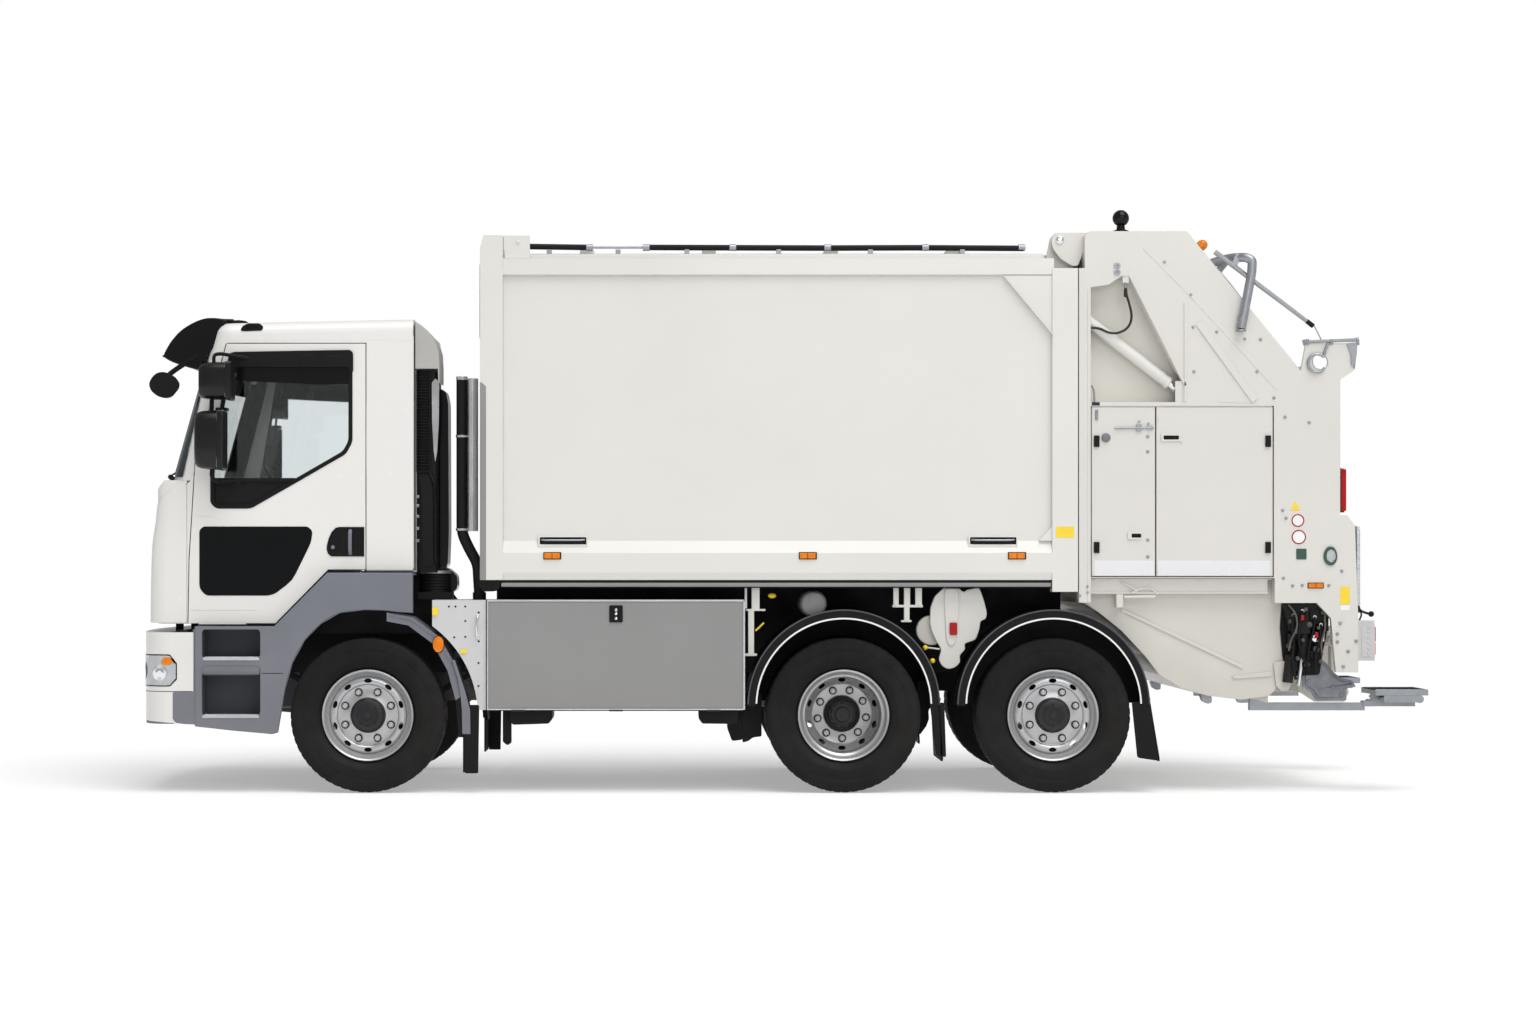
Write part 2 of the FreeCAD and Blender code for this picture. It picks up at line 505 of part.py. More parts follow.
# ---- seats and dashboard
seat_parts = []
for yc in (-620, 620):
    cushion = rounded("cushion_r", box("cushion", -3120, -2620, yc - 250, yc + 250, 1760, 1880), 35, lambda e: True)
    back = rounded("backrest_r", padded("backrest", [(-2700, 1860), (-2600, 1870), (-2480, 2480), (-2560, 2500), (-2600, 2450)], yc - 235, yc + 235), 25, lambda e: abs(e.BoundBox.YLength) < 1e-3)
    head = rounded("headrest_r", box("headrest", -2560, -2475, yc - 130, yc + 130, 2515, 2690), 25, lambda e: True)
    post = box("headrest_post", -2535, -2515, yc - 50, yc + 50, 2440, 2530)
    base = box("seat_base", -3050, -2640, yc - 190, yc + 190, 1506, 1770)
    seat_parts.append(fuse("seat", cushion, back, head, post, base))
node("seats", group("seat_pair", *seat_parts))
dash = padded("dash", [(-4010, 1560), (-3760, 1560), (-3700, 1700), (-3650, 1900), (-3700, 2000), (-3880, 2030), (-4010, 1960)], -1060, 1060)
column = rod("steering_column", 32, (-3740, 620, 1820), (-3480, 620, 2010))
tilt = FreeCAD.Rotation(V(0, 0, 1), V(260, 0, 190))
ring = doc.addObject("Part::Torus", "wheel_ring")
ring.Radius1, ring.Radius2 = 215, 14
ring.Placement = FreeCAD.Placement(V(-3480, 620, 2010), tilt)
spokes = [doc.addObject("Part::Box", "wheel_spoke") for _ in range(2)]
for s, a in zip(spokes, (0, 90)):
    s.Length, s.Width, s.Height = 430, 40, 14
    s.Placement = FreeCAD.Placement(V(-3480, 620, 2010), tilt * FreeCAD.Rotation(V(0, 0, 1), a)).multiply(FreeCAD.Placement(V(-215, -20, -7), FreeCAD.Rotation()))
node("dashboard", fuse("dashboard_set", dash, column, ring, *spokes))

# ================================================================ steps and mudguards
ARCH_TOP = [(-3813, 1090), (-3293, 1090), (-2948, 1440), (-2389, 1440)]
ARCH_LOW = [(-2389, 1176), (-2572, 1192), (-2700, 1196), (-2866, 1176), (-2990, 1105), (-3094, 1000), (-3175, 850), (-3225, 673), (-3271, 395), (-3310, 385), (-3813, 437)]
face = prism("step_face", ARCH_TOP + ARCH_LOW, -1225, -1197)
recess = [box("step_recess_top", -3765, -3385, -1300, -1190, 882, 1068), box("step_recess_low", -3765, -3385, -1300, -1190, 505, 830)]
face = cut("step_face_c", face, *recess)
# columns: X start, X end, Y out, Y in, Z low, Z high
plates = [(-3765, -3385, -1225, -1000, 858, 882), (-3765, -3385, -1225, -1000, 481, 505), (-3785, -3365, -1015, -995, 460, 1090), (-3785, -3765, -1225, -995, 460, 1090),
          (-3385, -3365, -1225, -995, 460, 1090), (-3813, -3275, -1225, -995, 1070, 1090), (-3385, -3340, -1197, -1185, 1000, 1080)]
walls = [box("step_plate", *p) for p in plates]
arch_roof = prism("arch_roof", [(-3293, 1090), (-2948, 1440), (-2389, 1440), (-2389, 1422), (-2940, 1422), (-3286, 1072)], -1225, -900)
steps = fuse("left_steps", face, *walls, arch_roof, box("step_bar", -3700, -3640, -1005, -430, 780, 840))
node("cab_steps", group("step_pair", steps, mirror("right_steps", steps)))

guard_parts = []
FRONT_OUT = [(-2560, 1180), (-2396, 1150), (-2215, 1020), (-2110, 830), (-2056, 620), (-2034, 365)]
FRONT_IN = [(-2050, 365), (-2072, 618), (-2125, 822), (-2226, 1007), (-2403, 1134), (-2560, 1163)]
FRONT_LIP = [(-2090, 365), (-2110, 606), (-2163, 800), (-2258, 975), (-2420, 1095), (-2560, 1122)]
front_band = prism("front_guard", FRONT_OUT + FRONT_IN, -1225, -900)
front_lip = prism("front_guard_lip", FRONT_OUT + FRONT_LIP, -1225, -1207)
front_flap = box("front_flap", -2062, -2050, -1225, -900, 136, 640)
guard_parts.append(fuse("front_left_guard", front_band, front_lip, front_flap, box("front_guard_bar", -2145, -2105, -905, -430, 872, 912)))
# columns: wheel position, inner edge, flap foot shift
for x, y_in, shift in ((d.drive_axle_pos, 640, 20), (d.tag_axle_pos, 900, 66)):
    r = d.guard_radius
    ring_out = cyl("guard_out", r, x, -1240, d.guard_high, "y", 1240 - y_in)
    ring_in = cyl("guard_in", r - 14, x, -1245, d.guard_high, "y", 1260 - y_in)
    lip_out = cyl("lip_out", r, x, -1240, d.guard_high, "y", 18)
    lip_in = cyl("lip_in", r - 55, x, -1245, d.guard_high, "y", 60)
    below = box("guard_below", x - 700, x + 700, -1260, -600, -100, d.guard_high)
    xe = num(x + r)
    flap = prism("guard_flap", [(xe - 16, 640), (xe - 4, 640), (xe - 2 + shift, 210), (xe - 14 + shift, 210)], -1236, -y_in)
    arc = fuse("guard_arc", cut("guard_band", ring_out, ring_in), cut("guard_lip", lip_out, lip_in))
    guard_parts.append(fuse("left_guard", cut("guard_half", arc, below), flap, box("guard_bar", x - 20, x + 20, -y_in - 8, -430, 1150, 1190)))
node("mudguards", group("guard_set", *guard_parts, *[mirror("right_guard", g) for g in guard_parts]))

# ================================================================ wheels and knuckles
def tyre_profile(c, w):
    """Hollow tyre section about the centre plane c; w is the half width."""
    out = [(c - 110, 290), (c - 110, 303), ("arc", (c - w, 385), (c - w + 16, 470)), ("arc", (c - w + 24, 494), (c - w + 40, 502)), ("arc", (c, 507), (c + w - 40, 502)), ("arc", (c + w - 24, 494), (c + w - 16, 470)), ("arc", (c + w, 385), (c + 110, 303)), (c + 110, 290)]
    ins = [(c + 88, 290), (c + 92, 300), (c + w - 22, 385), (c + w - 36, 462), (c + w - 60, 480), (c - w + 60, 480), (c - w + 36, 462), (c - w + 22, 385), (c - 92, 300), (c - 88, 290)]
    return out + ins


def rim_profile(c, s, disc_out, hub_in, hub_out, dish):
    """Rim, disc, hub and drum in one section. c is the centre plane, s is +1 or -1 for outboard, dish is the disc's face from c, measured outboard."""
    def y(o):
        return c + s * o

    return [
        (y(-128), 300), (y(-114), 300), (y(-112), 289), (y(-70), 287), (y(-55), 262), (y(40), 262), (y(60), 284), (y(112), 289), (y(114), 300), (y(128), 300), (y(128), 290),
        (y(116), 279), (y(66), 274), (y(disc_out), 248), (y(dish + 2), 205), (y(dish + 12), 190), (y(dish + 12), 112), (y(hub_out), 104), (y(hub_out), 46), (y(hub_in), 46), (y(hub_in), 88),
        (y(dish - 16), 88), (y(dish - 16), 190), (y(-100), 190), (y(-100), 205), (y(dish - 12), 205), (y(disc_out - 20), 240), (y(40), 252), (y(-60), 252), (y(-74), 277), (y(-116), 279), (y(-128), 290),
    ]


front_c = 1240 - 157.5
for end, x in (("front", d.front_axle_pos), ("tag", d.tag_axle_pos)):
    for side, word in ((L, "left"), (R, "right")):
        c = front_c * side
        node("%s_%s_tyre" % (end, word), body_of_revolution("tyre", tyre_profile(c, 157.5), x, d.tyre_radius))
        hub = body_of_revolution("rim", rim_profile(c, side, 60, -92, 128, 74), x, d.tyre_radius)
        node("%s_%s_rim" % (end, word), hub)
for side, word in ((L, "left"), (R, "right")):
    outer_c, inner_c = 1086 * side, 764 * side
    pair = group("twin_tyres", *[body_of_revolution("tyre", tyre_profile(c, 153), d.drive_axle_pos, d.tyre_radius) for c in (outer_c, inner_c)])
    node("drive_%s_tyres" % word, pair)

    def y(o, s=side):
        return 925 * s + s * o

    # both rims, one disc between them, hub and drum, in one section
    prof = [
        (y(289), 300), (y(289), 290), (y(277), 279), (y(232), 274), (y(215), 252), (y(120), 250), (y(70), 240), (y(22), 205), (y(14), 190), (y(14), 112), (y(120), 104), (y(120), 46), (y(-300), 46), (y(-300), 88), (y(-16), 88),
        (y(-16), 190), (y(-270), 190), (y(-270), 205), (y(-14), 205), (y(40), 238), (y(16), 250), (y(-215), 252), (y(-235), 277), (y(-277), 279), (y(-289), 290), (y(-289), 300), (y(-275), 300), (y(-273), 289), (y(-235), 287), (y(-215), 262), (y(-110), 262),
        (y(-90), 284), (y(-49), 289), (y(-46), 300), (y(-34), 300), (y(-32), 266), (y(32), 266), (y(34), 300), (y(46), 300), (y(49), 289), (y(90), 284), (y(110), 262), (y(205), 262), (y(226), 284), (y(273), 289), (y(275), 300),
    ]
    node("drive_%s_rims" % word, body_of_revolution("rim", prof, d.drive_axle_pos, d.tyre_radius))

for side, word in ((L, "left"), (R, "right")):
    yk = num(d.kingpin_out) * side
    xk = d.front_axle_pos
    ears = []
    for z0, z1 in ((388, 444), (570, 632)):
        ears.append(cyl("ear", 46, xk, yk, z0, "z", z1 - z0))
        y0, y1 = sorted((yk, yk + 60 * side))
        ears.append(box("ear_arm", xk - 46, xk + 46, y0, y1, z0, z1))
    upright_block = box("knuckle_web", xk - 46, xk + 46, *sorted((yk + 64 * side, yk + 50 * side)), 388, 632)
    eye_space = cyl("eye_space", 56, xk, yk, 444, "z", 126)
    stub = cyl("spindle", 45.5, xk, min(yk + 54 * side, 1120 * side), d.tyre_radius, "y", abs(1120 - (abs(yk) + 54)))
    arm = box("steering_arm", xk + 30, xk + 210, *sorted((yk + 30 * side, yk - 10 * side)), 396, 432)
    k = cut("knuckle_body", fuse("knuckle_blank", upright_block, stub, arm, *ears), cyl("pin_bore", 24.5, xk, yk, 370, "z", 280), eye_space)
    node("%s_knuckle" % word, k)

# ================================================================ between cab and body
intake = rounded("intake_r", box("intake_duct", -2380, -2240, -1060, -760, 1440, 2770), 30, lambda e: e.BoundBox.ZLength > 500)
bellows = fuse("intake_foot", cyl("bellows", 105, -2262, -930, 1264, "z", 181), box("intake_base", -2375, -2150, -1040, -820, 1264, 1310), box("intake_bracket", -2330, -2250, -840, -400, 1264, 1290), box("intake_leg", -2330, -2250, -430, -352, 1040, 1290))
node("air_intake", fuse("intake", intake, bellows))
pipe = [rod("stack", 36, (-2082, -1050, 1640), (-2082, -1050, 2728)), rod("stack_bend", 36, (-2082, -1050, 1655), (-2000, -1050, 1480)), ball("stack_knee", 36.5, -2082, -1050, 1650)]
shield = cut("shield", box("shield_box", -2070, -1975, -1125, -975, 1700, 2728), box("shield_space", -2110, -1987, -1113, -987, 1690, 2740))
foot = [box("stack_foot", -2060, -1900, -1075, -430, 1264, 1290), box("stack_leg", -2010, -1970, -1070, -1030, 1270, 1500), box("stack_root", -2060, -1900, -430, -352, 1040, 1290)]
node("exhaust_stack", fuse("exhaust", *pipe, shield, box("shield_strap", -2090, -1980, -1080, -1020, 2300, 2330), *foot))

# ================================================================ lockers and tank
alu = cut("locker_case", box("locker_box", -2262, -1910, -1235, -760, 544, 1261), box("locker_space", -2250, -1922, -1220, -700, 556, 1249))
alu = cut("locker_case_c", alu, cyl("wheel_clear", 722, d.front_axle_pos, -1300, d.tyre_radius, "y", 800))
panel = cut("panel_case", box("panel_box", -1904, -222, -1245, -760, 544, 1261), box("panel_space", -1890, -236, -1228, -700, 560, 1245))
brackets = [box("locker_bracket", x, x + 50, -780, -430, 900, 960) for x in (-2030, -1700, -1000, -400)]
links = [box("locker_link", -1912, -1902, -1200, -800, 600, 1200)]
left_locker = fuse("locker", alu, panel, *links, *brackets, *[box("locker_rib", x, x + 50, -1230, -770, 1238, 1258) for x in (-1700, -1000, -400)],
                   *[box("locker_post", x, x + 50, -800, -760, 900, 1250) for x in (-1700, -1000, -400)], box("locker_post_b", -1980, -1930, -800, -760, 900, 1255))
tank = rounded("tank_r", box("tank_box", -1990, -890, 640, 1215, 560, 1160), 70, lambda e: e.BoundBox.XLength > 500)
straps = [cut("strap_c", box("strap", x, x + 60, 430, 1225, 548, 1172), box("strap_space", x - 5, x + 65, 641, 1214, 561, 1159)) for x in (-1800, -1150)]
battery = box("battery_box", -860, -560, 700, 1215, 600, 1100)
bat_arm = box("battery_arm", -760, -660, 430, 720, 800, 860)
rail_guard = [box("side_rail", -545, -230, 1200, 1235, z, z + 110) for z in (600, 860)]
guard_post = box("side_post", -420, -370, 430, 1205, 760, 800)
guard_up = box("side_upright", -420, -370, 1180, 1205, 600, 970)
node("side_lockers_and_tank", group("side_set", left_locker, fuse("tank_set", tank, *straps), fuse("battery_set", battery, bat_arm), fuse("rail_set", guard_post, guard_up, *rail_guard)))

# ================================================================ waste body
floor = [box("floor_plate", d.body_front + 60, d.body_rear, -1150, 1150, d.body_low, 1440)]
for side in (L, R):
    y0, y1 = sorted((350 * side, 430 * side))
    floor.append(box("bearer", -1890, 1940, y0, y1, d.rail_high, 1345))
for x in (-1880, -1250, -620, 10, 640, 1270, 1860):
    floor.append(box("cross_bearer", x, x + 60, -1230, 1230, 1340, d.body_low))
floor += [box("edge_rail", -1880, 1800, *sorted((1215 * s, 1190 * s)), 1340, d.body_low) for s in (L, R)]
post_room = [box("post_room", x0, x1, *sorted((y0 * s, 1260 * s)), 1300, 1460) for s in (L, R) for x0, x1, y0 in ((-1950, -1800, 1130), (1783, 1960, 1120))]
node("body_floor", cut("floor_c", fuse("floor_set", *floor), *post_room))

# side wall section, drawn in Y, Z
SECTION = [(-1150, 1392), (-1232, 1392), (-1250, 1440), (-1250, 1568), (-1216, 1648), (-1216, 3380), (-1244, 3384), (-1244, 3491), (-1150, 3491)]
wall = prism("wall_sheet", SECTION, -1800, 1795, "YZ")
front_post = prism("front_post", [(-1949, 1392), (-1800, 1392), (-1800, 3641), (-1926, 3641), (-1949, 3560)], -1250, -1130)
post_out = box("post_block", 1783, d.body_rear, -1250, -1120, 1315, 3426)
post_space = box("post_space", 1799, 1960, -1232, -1140, 1400, 3408)
post = cut("rear_post", post_out, post_space)
ram_pin = cyl("ram_pin", 20, d.ram_pin_pos, -1236, d.ram_pin_high, "y", 100)
gusset = prism("corner_gusset", [(1460, 3380), (1795, 3380), (1795, 2980)], -1240, -1150)
gusset_low = prism("low_gusset", [(1700, 1648), (1795, 1648), (1795, 1760)], -1240, -1150)
lug = cut("gate_lug", padded("gate_lug_plate", [(1740, 3400), (1795, 3400), (1940, 3400), (1940, 3540), (1892, 3640), (1860, 3670), (1820, 3670), (1790, 3640)], -1095, -1060), cyl("lug_bore", 10, 1700, -1100, 3300, "y", 1))
lug_foot = box("lug_foot", 1740, 1940, -1160, -1060, 3400, 3426)
gate_pin = cyl("gate_pin", 30, d.gate_pin_pos, -1168, d.gate_pin_high, "y", 108)
side_wall = fuse("left_side_wall", wall, front_post, post, ram_pin, gusset, gusset_low, lug, lug_foot, gate_pin)
node("body_left_side", side_wall)
node("body_right_side", mirror("right_side_wall", side_wall))

roof_plate = box("roof_plate", -1800, d.body_rear, -1150, 1150, d.body_high, d.roof_top)
roof_ribs = [box("roof_rib", x, x + 90, -1150, 1150, d.roof_top - 5, d.roof_top + 22) for x in (-1300, -500, 300, 1100)]
roof_edges = [box("roof_edge", -1800, 1735, *sorted((1225 * s, 1150 * s)), d.body_high, d.roof_top - 10) for s in (L, R)]
roof = cut("roof_c", fuse("roof_blank", roof_plate, *roof_ribs, *roof_edges), *[box("lug_slot", 1730, 1960, *sorted((1240 * s, 1055 * s)), 3380, 3560) for s in (L, R)])
node("body_roof", roof)
front_wall = box("front_plate", d.body_front, d.body_front + 60, -1130, 1130, d.body_low, 3560)
bulge = padded("front_bulge", [(-1949, 2900), (-1990, 3020), (-1990, 3500), (-1949, 3600), (-1900, 3600), (-1900, 2900)], -700, 700)
cap = box("front_cap", -1889, -1800, -1130, 1130, 3491, 3560)
node("body_front_wall", fuse("front_wall_set", front_wall, bulge, cap))

# ================================================================ tailgate
SLOPE = V(744, 0, -912).normalize()
NORMAL = V(SLOPE.z, 0, -SLOPE.x)


def on_slope(along_it, inside):
    """Point on the tailgate's sloping back: distance down the slope from its top, distance inside it."""
    p = V(2660, 0, 3667) + SLOPE * along_it + NORMAL * inside
    return (p.x, p.z)


GATE = [(1956, 1244), (1956, 3426), (1995, 3426), (1995, 3640), (2030, 3667), (2660, 3667), (3404, 2755), (3437, 2937), (3758, 2937), (3752, 2760), (3660, 2700), (3660, 1815), (3703, 1815), (3756, 1750), (3778, 1150),
        (3778, 790), (3632, 790), (3600, 1142), (3508, 1242), (3234, 1242), (3234, 1405), (2034, 1405), (2034, 1244)]
BASE = [(1956, 1244), (1956, 3426), (1995, 3426), (1995, 3640), (2030, 3667), (2660, 3667), (3404, 2755), (3600, 2300), (3660, 2200), (3660, 1250), (3600, 1142), (3480, 1060), (3330, 900), (3258, 669), (3218, 630), (3041, 606), (2812, 632), (2641, 684),
        (2500, 770), (2400, 900), (2250, 1060), (2100, 1180), (2010, 1240)]
RECESS = [(2034, 3300), (2150, 3318), (2269, 3395), (2634, 2670), (2634, 2552), (2034, 2552)]
INNER = [(2060, 2580), (2060, 3270), (2060, 3400), (2290, 3430), (2320, 3360), (2660, 2680), (2660, 2580)]
skin = prism("gate_skin", GATE, -1250, -1130)
base = prism("gate_base", BASE, -1130, -1100)
recess = prism("gate_recess", RECESS, -1300, -1130)
door_bay = box("door_bay", 2034, 3228, -1300, -1160, 1411, 2527)
ram_gate = box("ram_gate", 1940, 2040, -1229, -1130, 2922, 3262)
eye_pocket = cyl("eye_pocket", 112, d.ram_eye_pos, -1231, d.ram_eye_high, "y", 101)
# hollow behind the raised skins, open to the inside of the wall before the base plate closes it; drawn in X, Z
hollow_top = prism("hollow_top", [(2030, 3450), (2030, 3620), (2050, 3640), (2640, 3640), (3370, 2745), (3350, 2560), (2760, 2560), (2760, 2700), (2400, 3420)], -1225, -1131)
hollow_rear = prism("hollow_rear", [(3260, 1270), (3500, 1270), (3590, 1190), (3630, 1190), (3630, 2640), (3400, 2700), (3360, 2540), (3260, 2540)], -1225, -1131)
plate_hole = cyl("bracket_hole", 52, 3529, -1300, 2813, "y", 300)
web_cut = box("bracket_thin", 3410, 3800, -1215, -1129, 2712, 3000)
low_thin = box("low_bracket_thin", 3590, 3800, -1200, -1129, 700, 1140)
vent = [box("vent_top", 2300, 2400, -1140, -1090, 3500, 3560), box("vent_rear", 3400, 3500, -1140, -1090, 1400, 1500)]
lug_plate = padded("ram_lug", [(2585, 2552), (2634, 2552), (2660, 2600), (2660, 2700), (2634, 2690), (2585, 2690)], -1246, -1231)
arm_plate = padded("hinge_arm", [(1999, 3545), (1885, 3545), (1797, 3590), (1797, 3640), (1830, 3667), (2060, 3667), (2060, 3545)], -1150, -1105)
arm_bore = cyl("hinge_bore", 30.5, d.gate_pin_pos, -1200, d.gate_pin_high, "y", 200)
lamp_box = box("rear_lamp_box", 3765, 3886, -1246, -1210, 867, 1129)
pivot_pin = cyl("lifter_pin", 22, d.lifter_pos, -1215, d.lifter_high, "y", 95)
gland = box("hose_gland", 2242, 2282, -1250, -1228, 3330, 3392)
guides = [prism("blade_guide", [on_slope(320, a), on_slope(1420, a), on_slope(1420, a + 16), on_slope(320, a + 16)], -1101, -1060) for a in (268, 432)]
fixed = cut("gate_left_c", fuse("gate_left_a", skin, base), recess, door_bay, ram_gate, eye_pocket, hollow_top, hollow_rear, plate_hole, web_cut, low_thin, *vent)
gate_left = fuse("gate_left", fixed, lug_plate, lamp_box, gland, *guides, cut("hinge_arm_c", arm_plate, arm_bore), pivot_pin)
node("tailgate_left_wall", gate_left)

# the right wall has no service doors: its bay is closed by a fixed skin
bay_skin = box("bay_skin", 2034, 3228, -1245, -1225, 1411, 2527)
node("tailgate_right_wall", mirror("gate_right", fuse("gate_right_blank", gate_left, bay_skin)))

cover = prism("cover_sheet", [(1999, 3667), (2660, 3667), (3404, 2755), (3596, 2300), (3572, 2290), (3382, 2745), (2648, 3642), (1999, 3642)], -1100, 1100)
ribs = [prism("cover_rib", [(2690, 3606), (3370, 2772), (3398, 2800), (2718, 3633)], y0, y0 + 50) for y0 in (-620, 570)]
head_beam = box("head_beam", 1999, 2080, -1100, 1100, 3560, 3645)
node("tailgate_cover", fuse("cover", cover, head_beam, *ribs))
CURVE_OUT = [(1999, 1240), (2100, 1180), (2250, 1060), (2400, 900), (2500, 770), (2641, 684), (2812, 632), (3041, 606), (3218, 630), (3262, 669), (3340, 880), (3492, 1060)]
CURVE_IN = [(3474, 1076), (3320, 892), (3240, 690), (3206, 652), (3041, 630), (2818, 655), (2654, 704), (2516, 787), (2418, 913), (2264, 1080), (2112, 1203), (1999, 1268)]
tray = prism("hopper_tray", CURVE_OUT + CURVE_IN, -1100, 1100)
sill = box("hopper_sill", 3440, 3500, -1100, 1100, 1040, 1100)
arms = [box("board_arm", 3100, d.board_pos - 32, *sorted((1090 * s, 1030 * s)), 534, 584) for s in (L, R)]
arm_roots = [box("board_arm_root", 3100, 3220, *sorted((1090 * s, 1030 * s)), 584, 640) for s in (L, R)]
fold_pins = [cyl("fold_pin", 12, d.board_pos, min(1100 * s, 1020 * s), d.board_high, "y", 80) for s in (L, R)]
forks = [box("fork", d.board_pos - 45, d.board_pos + 12, *sorted((y1 * s, (y1 + 12) * s)), 560, 597) for s in (L, R) for y1 in (1020, 1088)]
node("hopper_floor", fuse("hopper", tray, sill, *arms, *arm_roots, *fold_pins, *forks))

# ---- service doors on the left wall
front_door = rounded("front_service_r", box("front_service_box", 2040, 2454, -1245, -1215, 1417, 2521), 6, lambda e: e.BoundBox.YLength < 1e-3 and abs(e.BoundBox.YMin + 1245) < 1e-3)
rear_door = rounded("rear_service_r", box("rear_service_box", 2462, 3222, -1245, -1215, 1417, 2521), 6, lambda e: e.BoundBox.YLength < 1e-3 and abs(e.BoundBox.YMin + 1245) < 1e-3)
node("front_service_door", front_door)
node("rear_service_door", rear_door)

# ---- tailgate lift rams
P1 = V(num(d.ram_pin_pos), 0, num(d.ram_pin_high))
P2 = V(num(d.ram_eye_pos), 0, num(d.ram_eye_high))
U = (P2 - P1).normalize()
LEN = (P2 - P1).Length


def along(s, y):
    p = P1 + U * s
    return (p.x, y, p.z)


yr = -num(d.ram_out)
tube = cut("ram_tube_c", rod("ram_tube", 38, along(34, yr), along(LEN - 66, yr)), rod("ram_space", 26, along(120, yr), along(LEN, yr)))
tube = fuse("ram_tube_e", tube, cyl("ram_base_eye", 38, d.ram_pin_pos, yr - 38, d.ram_pin_high, "y", 76))
barrel = cut("left_barrel", tube, cyl("ram_eye_bore", 20.5, d.ram_pin_pos, -1300, d.ram_pin_high, "y", 200))
node("left_ram_barrel", barrel)
node("right_ram_barrel", mirror("right_barrel", barrel))
steel = fuse("left_rod_blank", rod("ram_rod", 25, along(160, yr), along(LEN - 20, yr)), cyl("rod_eye", 34, d.ram_eye_pos, yr - 18, d.ram_eye_high, "y", 36))
steel = fuse("left_rod", steel, cyl("rod_eye_pin", 16, d.ram_eye_pos, -1225, d.ram_eye_high, "y", 85))
node("left_ram_rod", steel)
node("right_ram_rod", mirror("right_rod", steel))

# ---- packer: carriage on the slope, blade hung from it
HX, HZ = on_slope(1500, 358)
carriage = padded("carriage_plate", [on_slope(760, 330), on_slope(1430, 330), on_slope(1430, 386), on_slope(760, 386)], -1080, 1080)
knuckles = []
for y0 in (-1055, -560, -30, 500, 995):
    knuckles.append(rod("carriage_knuckle", 46, (HX, y0, HZ), (HX, y0 + 60, HZ)))
    knuckles.append(padded("carriage_ear", [on_slope(1400, 325), on_slope(1495, 330), on_slope(1495, 386), on_slope(1400, 391)], y0, y0 + 60))
shoes = [padded("slide_shoe", [on_slope(a, 290), on_slope(a + 160, 290), on_slope(a + 160, 426), on_slope(a, 426)], *sorted((1086 * s, 1040 * s))) for s in (L, R) for a in (780, 1230)]
pin = rod("blade_pin", 22, (HX, -1055, HZ), (HX, 1055, HZ))
node("packer_carriage", fuse("carriage", carriage, *knuckles, *shoes, pin))
ANG = math.radians(-125)
BU = V(math.cos(ANG), 0, math.sin(ANG))
BN = V(-BU.z, 0, BU.x)


def on_blade(s, off):
    p = V(HX, 0, HZ) + BU * s + BN * off
    return (p.x, p.z)


blade_plate = padded("blade_plate", [on_blade(60, -26), on_blade(700, -26), on_blade(1120, -120), on_blade(1150, -90), on_blade(1110, -40), on_blade(720, 30), on_blade(60, 26)], -1050, 1050)
blade_knuckles = []
for y0 in (-990, -480, 50, 580):
    blade_knuckles.append(rod("blade_knuckle", 44, (HX, y0, HZ), (HX, y0 + 400 if y0 not in (580,) else y0 + 400, HZ)))
    blade_knuckles.append(padded("blade_ear", [on_blade(20, -26), on_blade(80, -26), on_blade(80, 26), on_blade(20, 26)], y0, y0 + 400))
node("packer_blade", cut("blade", fuse("blade_blank", blade_plate, *blade_knuckles), rod("blade_bore", 22.5, (HX, -1100, HZ), (HX, 1100, HZ))))

# ---- bin lifter: cross tube, arms and comb
tube = cyl("lifter_tube", 40, d.lifter_pos, -1160, d.lifter_high, "y", 2320)
ends = [cyl("lifter_end", 40, d.lifter_pos, min(1160 * s, 1130 * s), d.lifter_high, "y", 30) for s in (L, R)]
comb = box("comb_plate", 3716, 3734, -720, 720, 690, 1030)
teeth = [prism("tooth", [(3716, 1020), (3734, 1020), (3748, 1075), (3736, 1080)], y, y + 40) for y in range(-700, 700, 95)]
# arm outline in X, Z
ARM = [(3600, 1020), (3600, 900), (3480, 790), (3500, 640), (3600, 575), (3800, 575), (3830, 640), (3812, 690), (3720, 700), (3690, 760), (3690, 1020), (3660, 1036), (3620, 1036)]
lifter_arms = [padded("lifter_arm", ARM, *sorted((740 * s, 715 * s))) for s in (L, R)]
foot_bar = box("lifter_foot", 3740, 3800, -720, 720, 590, 640)
foot_web = box("lifter_web", 3716, 3742, -720, 720, 590, 700)
lifter = cut("lifter", fuse("lifter_blank", tube, comb, *teeth, *lifter_arms, foot_bar, foot_web), *[cyl("lifter_bore", 22.6, d.lifter_pos, min(1170 * s, 1110 * s), d.lifter_high, "y", 60) for s in (L, R)])
node("bin_lifter", lifter)

